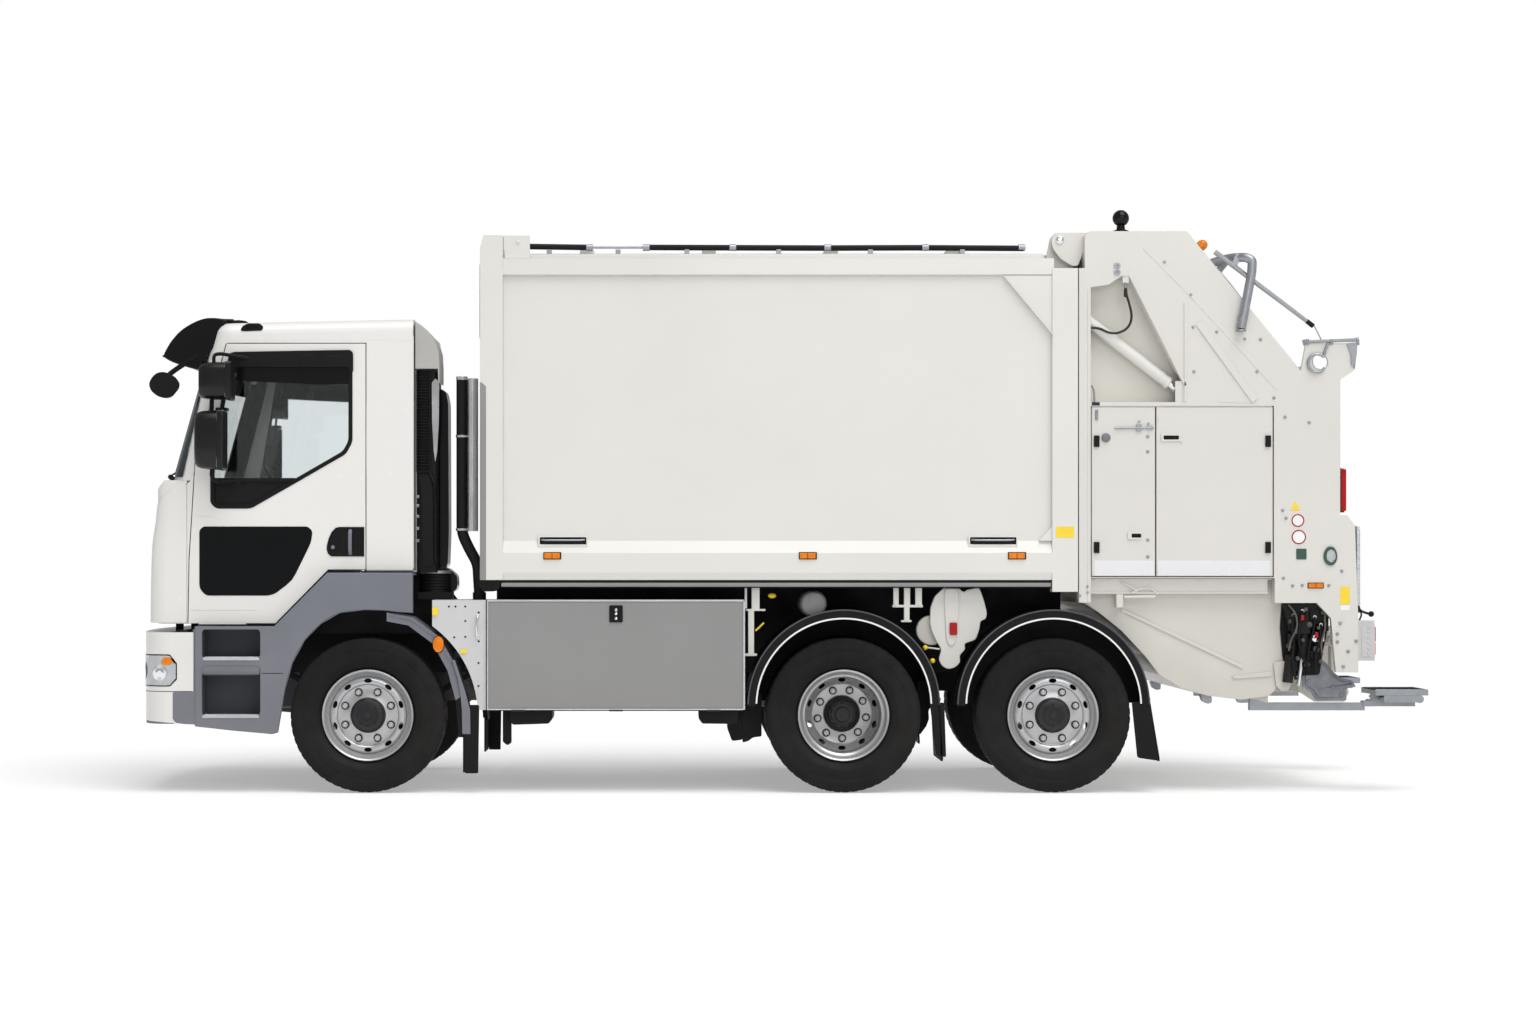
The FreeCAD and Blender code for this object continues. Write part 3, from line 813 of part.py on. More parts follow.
# ---- footboards
for side, word in ((L, "left"), (R, "right")):
    def span(a, b, s=side):
        return sorted((a * s, b * s))

    plate = box("board_plate", d.board_pos + 14, d.rear_end, *span(780, 1190), 640, 668)
    frame_bar = [box("board_bar", d.board_pos + 14, d.rear_end - 60, *span(a, a + 40), 560, 645) for a in (1040,)]
    lower = box("board_under", d.board_pos + 60, d.rear_end - 30, *span(800, 1170), 606, 622)
    ribs = [box("board_rib", x, x + 30, *span(800, 1170), 600, 645) for x in (3980, 4170)]
    hub = cyl("board_hub", 24, d.board_pos, span(1040, 1080)[0], d.board_high, "y", 40)
    neck = box("board_neck", d.board_pos, d.board_pos + 40, *span(1040, 1080), 570, 600)
    board = cut("board", fuse("board_blank", plate, *frame_bar, lower, *ribs, hub, neck), cyl("board_bore", 12.5, d.board_pos, span(1000, 1120)[0], d.board_high, "y", 120))
    node("%s_footboard" % word, board)

# ---- fittings on the tailgate
ball_post = fuse("ball_beacon", cyl("beacon_foot", 46, 2238, -1190, 3667, "z", 12), cyl("beacon_post", 24, 2238, -1190, 3667, "z", 70), ball("beacon_ball", 54, 2238, -1190, 3757))
bx, bz = on_slope(144, 0)
tx, tz = on_slope(144, -122)
fit = [ball_post, rod("amber_beacon", 34, (bx, -890, bz), (tx, -890, tz))]
ax, az = on_slope(330, 0)
kx, kz = on_slope(330, -50)
for side in (L, R):
    y_out, y_in = 1283 * side, 1060 * side
    fit.append(fuse("guide_arm", rod("arm_root", 26, (ax, y_in, az), (kx, y_in, kz)), ball("arm_knee", 26, kx, y_in, kz), rod("arm_cross", 26, (kx, y_in, kz), (3066, y_out, 3488)),
                    ball("arm_elbow", 26, 3066, y_out, 3488), rod("arm_drop", 26, (3066, y_out, 3488), (3012, y_out, 3070)), rod("arm_grip", 29, (3012, y_out, 3070), (3004, y_out, 3014)),
                    rod("whip", 13, (2846, 1256 * side, 3528), (3470, 1256 * side, 3057))))
    y0, y1 = sorted((1262 * side, 1180 * side))
    fit.append(box("top_bar", 3430, 3785, y0, y1, 2937, 2962))
node("tailgate_fittings", group("fitting_set", *fit))

# ---- hydraulic hose: hangs in the recess from its gland and goes into the flange
# columns: X, Z of the route, in the plane y = HOSE_OUT
HOSE_OUT, HOSE_RADIUS = -1240, 8
HOSE = [(2262, 3330), (2262, 3268), (2290, 3184), (2306, 3100), (2277, 3031), (2204, 2998), (2140, 3008), (2090, 3038), (2034, 3038)]


def cord_path(points):
    """Straight runs joined by tangent arcs."""
    pts = [V(x, HOSE_OUT, z) for x, z in points]
    edges, at = [], pts[0]
    for a, b, c in zip(pts, pts[1:], pts[2:]):
        u, w = (b - a), (c - b)
        half = u.getAngle(w) / 2
        trim = 0.45 * min(u.Length, w.Length)
        radius = trim / math.tan(half)
        u.normalize()
        w.normalize()
        p, q = b - u * trim, b + w * trim
        mid = b + (w - u).normalize() * (radius / math.cos(half) - radius)
        print("hose radius %.0f mm" % radius)
        edges += [Part.LineSegment(at, p).toShape(), Part.Arc(p, mid, q).toShape()]
        at = q
    edges.append(Part.LineSegment(at, pts[-1]).toShape())
    return Part.Wire(edges)


path = cord_path(HOSE)
start = V(HOSE[0][0], HOSE_OUT, HOSE[0][1])
first = V(HOSE[1][0] - HOSE[0][0], 0, HOSE[1][1] - HOSE[0][1])
ring_edge = Part.Circle(start, first, HOSE_RADIUS).toShape()
tube = path.makePipeShell([Part.Wire([ring_edge])], True, False)
print("hose length %.1f volume ratio %.4f" % (path.Length, tube.Volume / (math.pi * HOSE_RADIUS**2 * path.Length)))
hose = doc.addObject("Part::Feature", "hose")
hose.Shape = tube
node("lift_hose", hose)

doc.recompute()

# ================================================================ checks and export
bad = [o.Label for o in doc.Objects if "Invalid" in o.State or "Error" in o.State]
if bad:
    raise SystemExit("objects that failed: %s" % bad)
os.makedirs("parts", exist_ok=True)
for old in os.listdir("parts"):
    if old.endswith(".step"):
        os.remove(os.path.join("parts", old))
for label, obj in sorted(NODES.items()):
    shape = obj.Shape
    if shape.isNull() or not shape.isValid() or not shape.Solids or shape.Volume <= 0:
        raise SystemExit("%s has no valid solid" % label)
    shape.exportStep("parts/%s.step" % label)
    print("%-26s solids %2d  volume %8.1f l" % (label, len(shape.Solids), shape.Volume / 1e6))
print("nodes", len(NODES))
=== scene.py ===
import math
import random

import bmesh
import bpy
from mathutils import Matrix, Vector


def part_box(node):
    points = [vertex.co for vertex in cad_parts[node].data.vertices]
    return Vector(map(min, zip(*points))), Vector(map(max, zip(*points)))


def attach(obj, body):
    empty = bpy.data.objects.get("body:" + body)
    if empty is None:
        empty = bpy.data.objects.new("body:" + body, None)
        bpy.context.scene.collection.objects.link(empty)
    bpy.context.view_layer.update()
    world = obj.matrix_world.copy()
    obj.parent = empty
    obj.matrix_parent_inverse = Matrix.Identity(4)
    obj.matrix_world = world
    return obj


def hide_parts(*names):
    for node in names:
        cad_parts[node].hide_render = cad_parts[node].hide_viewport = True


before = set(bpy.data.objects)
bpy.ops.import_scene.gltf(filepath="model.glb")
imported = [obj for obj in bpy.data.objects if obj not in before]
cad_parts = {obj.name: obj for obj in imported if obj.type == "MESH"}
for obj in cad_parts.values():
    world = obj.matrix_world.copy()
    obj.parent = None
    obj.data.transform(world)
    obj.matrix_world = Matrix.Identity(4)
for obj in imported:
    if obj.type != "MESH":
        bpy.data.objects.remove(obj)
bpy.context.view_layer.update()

scene = bpy.context.scene
scene.view_settings.view_transform = "Standard"
random.seed(7)
MM = 0.001

# ---------------------------------------------------------------- camera
cam_data = bpy.data.cameras.new("camera")
cam_data.lens = 70.45
cam_data.sensor_width = 36
cam_data.shift_x = 0.0573
cam_data.shift_y = 0.0313
cam = bpy.data.objects.new("camera", cam_data)
cam.location = (-0.645, -20.85, 1.522)
cam.rotation_euler = (math.radians(90), 0, 0)
scene.collection.objects.link(cam)
scene.camera = cam


# ---------------------------------------------------------------- materials
def material(name, color, rough=0.5, metal=0.0, coat=0.0, spec=0.5, var=0.05, vscale=2.5, rvar=0.08, rscale=6.0, bump=0.1, bscale=300.0, bdist=0.0005,
             stretch=None, dirt=0.0, dirt_low=0.3, dirt_high=1.3, dirt_color=(0.22, 0.19, 0.16), bevel=0.0, transmission=0.0, ior=1.45, emission=0.0, alpha=1.0, speckle=0.0):
    m = bpy.data.materials.new(name)
    m.use_nodes = True
    nt = m.node_tree
    n, l = nt.nodes, nt.links
    for x in list(n):
        n.remove(x)
    out = n.new("ShaderNodeOutputMaterial")
    p = n.new("ShaderNodeBsdfPrincipled")
    l.new(p.outputs[0], out.inputs[0])
    tc = n.new("ShaderNodeTexCoord")
    vec = tc.outputs["Object"]
    base_vec = vec
    if stretch:
        mp = n.new("ShaderNodeMapping")
        mp.inputs["Scale"].default_value = stretch
        l.new(vec, mp.inputs[0])
        vec = mp.outputs[0]

    def noise(scale, detail=4.0, source=None):
        t = n.new("ShaderNodeTexNoise")
        t.inputs["Scale"].default_value = scale
        t.inputs["Detail"].default_value = detail
        l.new(source or vec, t.inputs["Vector"])
        return t.outputs["Fac"]

    def ramp(fac, a, b, lo=0.3, hi=0.7):
        r = n.new("ShaderNodeMapRange")
        r.inputs["From Min"].default_value = lo
        r.inputs["From Max"].default_value = hi
        r.inputs["To Min"].default_value = a
        r.inputs["To Max"].default_value = b
        l.new(fac, r.inputs["Value"])
        return r.outputs["Result"]

    def mixc(fac, a, b):
        x = n.new("ShaderNodeMix")
        x.data_type = "RGBA"
        if isinstance(fac, float):
            x.inputs[0].default_value = fac
        else:
            l.new(fac, x.inputs[0])
        for i, v in ((6, a), (7, b)):
            if isinstance(v, tuple):
                x.inputs[i].default_value = (*v, 1)
            else:
                l.new(v, x.inputs[i])
        return x.outputs[2]

    dark = tuple(max(0.0, c * (1 - var)) for c in color)
    light = tuple(min(1.0, c * (1 + var)) for c in color)
    col = mixc(ramp(noise(vscale), 0.0, 1.0), dark, light)
    if speckle:
        sp = ramp(noise(900.0, 2.0), 0.0, speckle, 0.55, 0.7)
        col = mixc(sp, col, tuple(min(1.0, c * 2 + 0.05) for c in color))
    if dirt:
        sep = n.new("ShaderNodeSeparateXYZ")
        l.new(base_vec, sep.inputs[0])
        grad = ramp(sep.outputs["Z"], 1.0, 0.0, dirt_low, dirt_high)
        patch = ramp(noise(2.5, 3.0, base_vec), 0.45, 1.0, 0.3, 0.75)
        mul = n.new("ShaderNodeMath")
        mul.operation = "MULTIPLY"
        l.new(grad, mul.inputs[0])
        l.new(patch, mul.inputs[1])
        mul2 = n.new("ShaderNodeMath")
        mul2.operation = "MULTIPLY"
        l.new(mul.outputs[0], mul2.inputs[0])
        mul2.inputs[1].default_value = dirt
        col = mixc(mul2.outputs[0], col, dirt_color)
    l.new(col, p.inputs["Base Color"])
    l.new(ramp(noise(rscale), max(0.02, rough - rvar), min(1.0, rough + rvar)), p.inputs["Roughness"])
    p.inputs["Metallic"].default_value = metal
    p.inputs["Coat Weight"].default_value = coat
    p.inputs["Coat Roughness"].default_value = 0.08
    p.inputs["Specular IOR Level"].default_value = spec
    p.inputs["IOR"].default_value = ior
    p.inputs["Transmission Weight"].default_value = transmission
    p.inputs["Alpha"].default_value = alpha
    if emission:
        p.inputs["Emission Color"].default_value = (*color, 1)
        p.inputs["Emission Strength"].default_value = emission
    normal = None
    if bevel:
        b = n.new("ShaderNodeBevel")
        b.samples = 4
        b.inputs["Radius"].default_value = bevel
        normal = b.outputs[0]
    if bump:
        bp = n.new("ShaderNodeBump")
        bp.inputs["Strength"].default_value = bump
        bp.inputs["Distance"].default_value = bdist
        l.new(noise(bscale, 3.0), bp.inputs["Height"])
        if normal:
            l.new(normal, bp.inputs["Normal"])
        normal = bp.outputs[0]
    if normal:
        l.new(normal, p.inputs["Normal"])
    return m


WHITE = material("white_paint", (0.70, 0.685, 0.65), 0.34, coat=0.35, var=0.018, vscale=1.2, rvar=0.06, bump=0.04, bscale=240, dirt=0.22, dirt_low=0.55, dirt_high=1.45, bevel=0.004)
GATE_WHITE = material("gate_white_paint", (0.655, 0.638, 0.598), 0.35, coat=0.3, var=0.018, vscale=1.2, rvar=0.06, bump=0.04, bscale=240, dirt=0.22, dirt_low=0.55, dirt_high=1.45, bevel=0.004)
CAB_WHITE = material("cab_white_paint", (0.77, 0.76, 0.735), 0.26, coat=0.5, var=0.010, vscale=1.4, rvar=0.015, bump=0.03, bscale=260, dirt=0.10, dirt_low=0.9, dirt_high=1.6, bevel=0.004)
# darker, warmer paint for the hopper and the recessed gate faces: painted shade of the recess
HOPPER_SHADED_PAINT = material("hopper_paint_with_painted_shade", (0.64, 0.62, 0.565), 0.4, coat=0.2, var=0.03, vscale=1.5, rvar=0.08, bump=0.06, bscale=220, dirt=0.3, dirt_low=0.5, dirt_high=1.3, bevel=0.004)
# brighter, bluish paint for the sill bands at the service door bottoms: painted highlight
SILL_PAINTED_HIGHLIGHT = material("sill_painted_highlight", (0.73, 0.725, 0.745), 0.3, coat=0.3, var=0.008, vscale=3, bump=0.03, bscale=200, bevel=0.002)
LIGHT_GREY = material("light_grey_paint", (0.50, 0.50, 0.50), 0.4, coat=0.2, var=0.04, vscale=3, bump=0.08, bscale=260, bevel=0.003)
# near-black for the inside faces of the cab: painted shade of the dark interior
CAB_INSIDE_SHADE = material("cab_inside_painted_shade", (0.030, 0.031, 0.034), 0.75, spec=0.2, var=0.15, vscale=9, bump=0.3, bscale=600, bdist=0.0004)
SIDE_PLATE = material("side_plate_grey", (0.585, 0.585, 0.59), 0.38, metal=0.2, var=0.03, vscale=2, rvar=0.05, bump=0.05, bscale=200, dirt=0.15, dirt_low=0.4, dirt_high=1.0, bevel=0.002)
SHIELD = material("smooth_shield", (0.62, 0.63, 0.65), 0.24, metal=0.95, var=0.03, vscale=3, rvar=0.06, bump=0.03, bscale=120)
CASTING = material("slate_casting", (0.20, 0.21, 0.235), 0.5, metal=0.3, var=0.18, vscale=14, rvar=0.12, bump=0.35, bscale=300, bevel=0.004)
# darker grey for the intake hood: painted shade, the hood standing in shadow behind the cab
INTAKE_HOOD_SHADE_GREY = material("intake_hood_painted_shade", (0.44, 0.43, 0.41), 0.42, coat=0.15, var=0.04, vscale=3, bump=0.12, bscale=400, bevel=0.003)
GREY = material("grey_panel_paint", (0.245, 0.245, 0.243), 0.42, coat=0.15, var=0.05, vscale=1.0, rvar=0.1, bump=0.05, bscale=220, dirt=0.2, dirt_low=0.5, dirt_high=0.9, bevel=0.003)
DARK_SLATE = material("dark_slate_plastic", (0.070, 0.073, 0.086), 0.6, spec=0.35, var=0.1, vscale=3, rvar=0.1, bump=0.3, bscale=700, bdist=0.0004, bevel=0.004)
SLATE = material("slate_plastic", (0.165, 0.172, 0.20), 0.55, spec=0.45, var=0.08, vscale=3, rvar=0.1, bump=0.3, bscale=700, bdist=0.0004, dirt=0.2, dirt_low=0.3, dirt_high=1.2, bevel=0.006)
BLACK = material("black_plastic", (0.0055, 0.0055, 0.006), 0.5, spec=0.22, var=0.15, vscale=4, bump=0.25, bscale=800, bdist=0.0003, bevel=0.003)
GLOSS_BLACK = material("gloss_black", (0.0045, 0.0045, 0.005), 0.16, spec=0.28, coat=0.0, var=0.1, bump=0.0, rvar=0.04)
STEEL_BLACK = material("chassis_black", (0.008, 0.008, 0.009), 0.55, spec=0.25, var=0.2, vscale=5, rvar=0.15, bump=0.2, bscale=120, bdist=0.001, dirt=0.2, dirt_low=0.1, dirt_high=1.1, bevel=0.004)
TYRE = material("tyre_rubber", (0.0065, 0.0065, 0.007), 0.7, spec=0.16, var=0.22, vscale=8, rvar=0.12, rscale=12, bump=0.35, bscale=500, bdist=0.0006, dirt=0.12, dirt_low=0.0, dirt_high=0.7, dirt_color=(0.10, 0.09, 0.08))
RIM = material("rim_silver", (0.50, 0.505, 0.515), 0.34, metal=0.6, var=0.025, vscale=5, rvar=0.1, bump=0.12, bscale=300, dirt=0.12, dirt_low=0.1, dirt_high=0.9, bevel=0.002)
CHROME = material("polished_steel", (0.78, 0.79, 0.80), 0.14, metal=1.0, var=0.04, vscale=10, rvar=0.07, bump=0.05, bscale=200)
BRUSHED = material("brushed_aluminium", (0.66, 0.67, 0.69), 0.33, metal=0.9, var=0.09, vscale=4, stretch=(1, 1, 14), rvar=0.1, bump=0.12, bscale=160)
ALU = material("treadplate_aluminium", (0.62, 0.64, 0.67), 0.36, metal=0.85, var=0.10, vscale=5, rvar=0.12, bump=0.15, bscale=180, dirt=0.2, dirt_low=0.4, dirt_high=1.1, bevel=0.002)
GALV = material("galvanised_steel", (0.34, 0.355, 0.38), 0.42, metal=0.8, var=0.07, vscale=16, rvar=0.10, rscale=24, bump=0.15, bscale=260, bevel=0.002)
DARK_STEEL = material("hub_dark", (0.016, 0.016, 0.018), 0.42, metal=0.15, var=0.15, vscale=12, bump=0.2, bscale=250)
AMBER = material("amber_lens", (0.76, 0.20, 0.004), 0.2, spec=0.3, coat=0.15, var=0.12, vscale=40, bump=0.3, bscale=180, bdist=0.0008)
RED = material("red_lens", (0.36, 0.006, 0.005), 0.18, spec=0.3, coat=0.15, var=0.06, vscale=40, bump=0.08, bscale=180, bdist=0.0008)
YELLOW = material("yellow_enamel", (0.86, 0.62, 0.03), 0.35, coat=0.2, var=0.05, vscale=20)
WHITE_LINE = material("white_line", (0.8, 0.8, 0.8), 0.4, var=0.04, vscale=8)
LENS = material("clear_lens", (0.82, 0.86, 0.88), 0.06, coat=0.6, var=0.05, vscale=30, bump=0.2, bscale=90, bdist=0.001, transmission=0.6)
GREEN = material("green_lens", (0.035, 0.085, 0.068), 0.15, coat=0.5, var=0.1, vscale=40)
GLASS = material("window_glass", (0.84, 0.875, 0.88), 0.03, spec=0.6, var=0.02, vscale=1.0, rvar=0.01, bump=0.0, transmission=1.0, ior=1.4)
BAND = material("screen_band_glass", (0.010, 0.020, 0.026), 0.07, spec=0.55, coat=0.4, var=0.1, vscale=2.0, rvar=0.02, bump=0.0)
MIRROR_BLACK = material("mirror_shell_black", (0.006, 0.006, 0.0065), 0.26, spec=0.4, var=0.1, vscale=4, bump=0.05, bscale=600, bdist=0.0002)
TINT = material("tinted_glass", (0.0045, 0.005, 0.0055), 0.05, spec=0.22, coat=0.0, var=0.1, vscale=2.0, rvar=0.02, bump=0.0)
MIRROR = material("mirror_glass", (0.85, 0.87, 0.88), 0.03, metal=1.0, var=0.02, vscale=3.0, rvar=0.01, bump=0.0)
VISOR = material("smoked_visor", (0.028, 0.020, 0.017), 0.08, spec=0.5, coat=0.6, var=0.15, vscale=2.0, rvar=0.04, bump=0.0, transmission=0.5)
FABRIC = material("seat_fabric", (0.045, 0.05, 0.062), 0.85, spec=0.25, var=0.3, vscale=60, rvar=0.06, bump=0.6, bscale=1500, bdist=0.0006, speckle=0.5)
HOSE = material("hose_rubber", (0.012, 0.012, 0.012), 0.42, spec=0.5, var=0.2, vscale=30, bump=0.25, bscale=900, bdist=0.0003)
GREASE = material("greased_steel", (0.12, 0.11, 0.10), 0.35, metal=0.6, var=0.3, vscale=14, bump=0.2, bscale=140)


# ---------------------------------------------------------------- piece builder, millimetres in, metres out
def signed_area(poly):
    return sum(a[0] * b[1] - b[0] * a[1] for a, b in zip(poly, poly[1:] + poly[:1])) / 2


def grow(poly, dist):
    """The polygon moved outwards by dist on every side."""
    s = 1 if signed_area(poly) > 0 else -1
    out, n = [], len(poly)
    for i in range(n):
        a, b, c = Vector(poly[i - 1]), Vector(poly[i]), Vector(poly[(i + 1) % n])
        u, w = (b - a).normalized(), (c - b).normalized()
        nu, nw = Vector((u.y, -u.x)) * s, Vector((w.y, -w.x)) * s
        k = (nu + nw)
        k = k / max(0.35, k.dot(nu)) if k.length > 1e-6 else nu
        out.append(tuple(b + k * dist))
    return out


def arc(cx, cz, r, a0, a1, n):
    return [(cx + r * math.cos(math.radians(a0 + (a1 - a0) * i / n)), cz + r * math.sin(math.radians(a0 + (a1 - a0) * i / n))) for i in range(n + 1)]


def soft(poly, radius, n=3):
    """The polygon with its corners rounded."""
    out, m = [], len(poly)
    for i in range(m):
        a, b, c = Vector(poly[i - 1]), Vector(poly[i]), Vector(poly[(i + 1) % m])
        u, w = (a - b), (c - b)
        k = min(radius, u.length * 0.45, w.length * 0.45)
        p, q = b + u.normalized() * k, b + w.normalized() * k
        for j in range(n + 1):
            t = j / n
            out.append(tuple(p * (1 - t) ** 2 + b * 2 * t * (1 - t) + q * t * t))
    return out


class Piece:
    def __init__(self, name, body, mat, slot):
        self.name, self.body, self.mat, self.slot = name, body, mat, slot
        self.bm = bmesh.new()

    def _place(self, verts, m):
        for v in verts:
            v.co = m @ v.co

    def box(self, x0, x1, y0, y1, z0, z1, turn=None):
        r = bmesh.ops.create_cube(self.bm, size=1.0)
        m = Matrix.Translation(((x0 + x1) / 2, (y0 + y1) / 2, (z0 + z1) / 2))
        if turn:
            m = m @ Matrix.Rotation(math.radians(turn[1]), 4, turn[0])
        m = m @ Matrix.Diagonal((abs(x1 - x0), abs(y1 - y0), abs(z1 - z0), 1))
        self._place(r["verts"], m)
        return self

    def prism(self, poly, lo, hi, plane="XZ", holes=()):
        """poly in the plane, from lo to hi on the third axis."""
        bm = self.bm
        put = {"XZ": lambda a, b, t: (a, t, b), "XY": lambda a, b, t: (a, b, t), "YZ": lambda a, b, t: (t, a, b)}[plane]
        loops = [list(poly)] + [list(h) for h in holes]
        if not holes:
            bot = [bm.verts.new(put(a, b, lo)) for a, b in loops[0]]
            top = [bm.verts.new(put(a, b, hi)) for a, b in loops[0]]
            bm.faces.new(bot)
            bm.faces.new(top[::-1])
            for i in range(len(bot)):
                j = (i + 1) % len(bot)
                bm.faces.new((bot[i], top[i], top[j], bot[j]))
            return self
        tmp = bmesh.new()
        edges = []
        for lp in loops:
            vs = [tmp.verts.new((a, b, 0)) for a, b in lp]
            edges += [tmp.edges.new((vs[i], vs[(i + 1) % len(vs)])) for i in range(len(vs))]
        bmesh.ops.triangle_fill(tmp, use_beauty=True, use_dissolve=False, edges=edges)
        tmp.verts.index_update()
        bot = [bm.verts.new(put(v.co.x, v.co.y, lo)) for v in tmp.verts]
        top = [bm.verts.new(put(v.co.x, v.co.y, hi)) for v in tmp.verts]
        for f in tmp.faces:
            ids = [v.index for v in f.verts]
            bm.faces.new([bot[i] for i in ids])
            bm.faces.new([top[i] for i in ids][::-1])
        k = 0
        for lp in loops:
            n = len(lp)
            for i in range(n):
                j = (i + 1) % n
                bm.faces.new((bot[k + i], top[k + i], top[k + j], bot[k + j]))
            k += n
        tmp.free()
        return self

    def lathe(self, profile, center, axis="y", segs=48, closed=False, a0=0.0, sweep=360.0):
        """profile of (radius, height); height runs along the axis from center."""
        bm = self.bm
        c = Vector(center)
        ring = []
        full = abs(sweep - 360) < 1e-6
        count = segs if full else segs + 1
        for i in range(count):
            t = math.radians(a0 + sweep * i / segs)
            row = []
            for r, h in profile:
                a, b = r * math.cos(t), r * math.sin(t)
                p = {"y": (a, h, b), "z": (a, b, h), "x": (h, a, b)}[axis]
                row.append(p)
            ring.append(row)
        verts = []
        for row in ring:
            verts.append([bm.verts.new(Vector(p) + c) for p in row])
        m = len(profile)
        for i in range(segs):
            j = (i + 1) % count
            for k in range(m if closed else m - 1):
                q = (k + 1) % m
                quad = [verts[i][k], verts[j][k], verts[j][q], verts[i][q]]
                bm.faces.new(quad)
        if not closed:
            if full:
                for k in (0, m - 1):
                    if profile[k][0] > 1e-6:
                        loop = [verts[i][k] for i in range(count)]
                        bm.faces.new(loop if k else loop[::-1])
        return self

    def cyl(self, a, b, r, segs=24, r2=None):
        a, b = Vector(a), Vector(b)
        d = b - a
        m = Matrix.Translation((a + b) / 2) @ d.to_track_quat("Z", "Y").to_matrix().to_4x4()
        g = bmesh.ops.create_cone(self.bm, cap_ends=True, segments=segs, radius1=r, radius2=r if r2 is None else r2, depth=d.length)
        self._place(g["verts"], m)
        return self

    def hexagon(self, at, axis, r, h):
        d = Vector({"x": (1, 0, 0), "y": (0, 1, 0), "z": (0, 0, 1)}[axis]) * h
        return self.cyl(at, Vector(at) + d, r, 6)

    def ball(self, c, r, scale=(1, 1, 1), segs=24):
        g = bmesh.ops.create_uvsphere(self.bm, u_segments=segs, v_segments=segs // 2, radius=r)
        self._place(g["verts"], Matrix.Translation(c) @ Matrix.Diagonal((*scale, 1)))
        return self

    def tube(self, pts, r, bend=None, segs=14):
        """A bar through pts with rounded bends."""
        pts = [Vector(p) for p in pts]
        line = [pts[0]]
        for a, b, c in zip(pts, pts[1:], pts[2:]):
            u, w = (a - b), (c - b)
            k = min(bend if bend is not None else 3 * r, u.length * 0.45, w.length * 0.45)
            p, q = b + u.normalized() * k, b + w.normalized() * k
            for j in range(7):
                t = j / 6
                line.append(p * (1 - t) ** 2 + b * 2 * t * (1 - t) + q * t * t)
        line.append(pts[-1])
        bm = self.bm
        prev = (line[1] - line[0]).normalized()
        up = Vector((0, 0, 1)) if abs(prev.z) < 0.9 else Vector((0, 1, 0))
        side = prev.cross(up).normalized()
        rings = []
        for i, p in enumerate(line):
            d = ((line[min(i + 1, len(line) - 1)] - line[max(i - 1, 0)])).normalized()
            side = (side - d * side.dot(d)).normalized()
            other = d.cross(side)
            rings.append([bm.verts.new(p + side * (r * math.cos(2 * math.pi * s / segs)) + other * (r * math.sin(2 * math.pi * s / segs))) for s in range(segs)])
        for a, b in zip(rings, rings[1:]):
            for s in range(segs):
                t = (s + 1) % segs
                bm.faces.new((a[s], a[t], b[t], b[s]))
        bm.faces.new(rings[0][::-1])
        bm.faces.new(rings[-1])
        return self

    def both(self):
        """Adds the right-hand copy of everything so far."""
        g = bmesh.ops.duplicate(self.bm, geom=self.bm.verts[:] + self.bm.edges[:] + self.bm.faces[:])
        vs = [x for x in g["geom"] if isinstance(x, bmesh.types.BMVert)]
        fs = [x for x in g["geom"] if isinstance(x, bmesh.types.BMFace)]
        for v in vs:
            v.co.y = -v.co.y
        bmesh.ops.reverse_faces(self.bm, faces=fs)
        return self

    def done(self, bevel=2.0, segs=2, angle=35, replaces=(), other_side=None):
        bmesh.ops.recalc_face_normals(self.bm, faces=self.bm.faces[:])
        for v in self.bm.verts:
            v.co *= MM
        me = bpy.data.meshes.new(self.name)
        if other_side:
            flip = self.bm.copy()
        self.bm.to_mesh(me)
        o = finish_mesh(self.name, me, self.mat, self.body, bevel, segs, angle, replaces)
        self.bm.free()
        if other_side:
            name, body, rep = other_side
            for v in flip.verts:
                v.co.y = -v.co.y
            bmesh.ops.reverse_faces(flip, faces=flip.faces[:])
            me2 = bpy.data.meshes.new(name)
            flip.to_mesh(me2)
            flip.free()
            finish_mesh(name, me2, self.mat, body, bevel, segs, angle, rep)
        return o


def finish_mesh(name, me, mat, body, bevel, segs, angle, replaces):
    me.materials.append(mat)
    me.shade_smooth()
    me.set_sharp_from_angle(angle=math.radians(angle))
    o = bpy.data.objects.new(name, me)
    scene.collection.objects.link(o)
    if bevel:
        b = o.modifiers.new("bevel", "BEVEL")
        b.width = bevel * MM
        b.segments = segs
        b.limit_method = "ANGLE"
        b.angle_limit = math.radians(angle)
        b.harden_normals = True
        b.use_clamp_overlap = True
    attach(o, body)
    if replaces:
        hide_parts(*replaces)
    return o


# ---------------------------------------------------------------- the hose comes first
# columns: X, Z of the route in millimetres, in the plane y = -1240
ROUTE = [(2262, 3330), (2262, 3268), (2290, 3184), (2306, 3100), (2277, 3031), (2204, 2998), (2140, 3008), (2090, 3038), (2034, 3038)]
hose_curve = bpy.data.curves.new("lift_hose_line", "CURVE")
hose_curve.dimensions = "3D"
sp = hose_curve.splines.new("NURBS")
sp.points.add(len(ROUTE) - 1)
for pt, (x, z) in zip(sp.points, ROUTE):
    pt.co = (x * MM, -1.240, z * MM, 1)
sp.order_u = 3
sp.use_endpoint_u = True
sp.resolution_u = 12
hose_curve.bevel_depth = 0.008
hose_curve.bevel_resolution = 5
hose_curve.use_fill_caps = True
hose_curve.materials.append(HOSE)
hose = bpy.data.objects.new("lift_hose_line", hose_curve)
scene.collection.objects.link(hose)
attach(hose, "tailgate")
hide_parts("lift_hose")

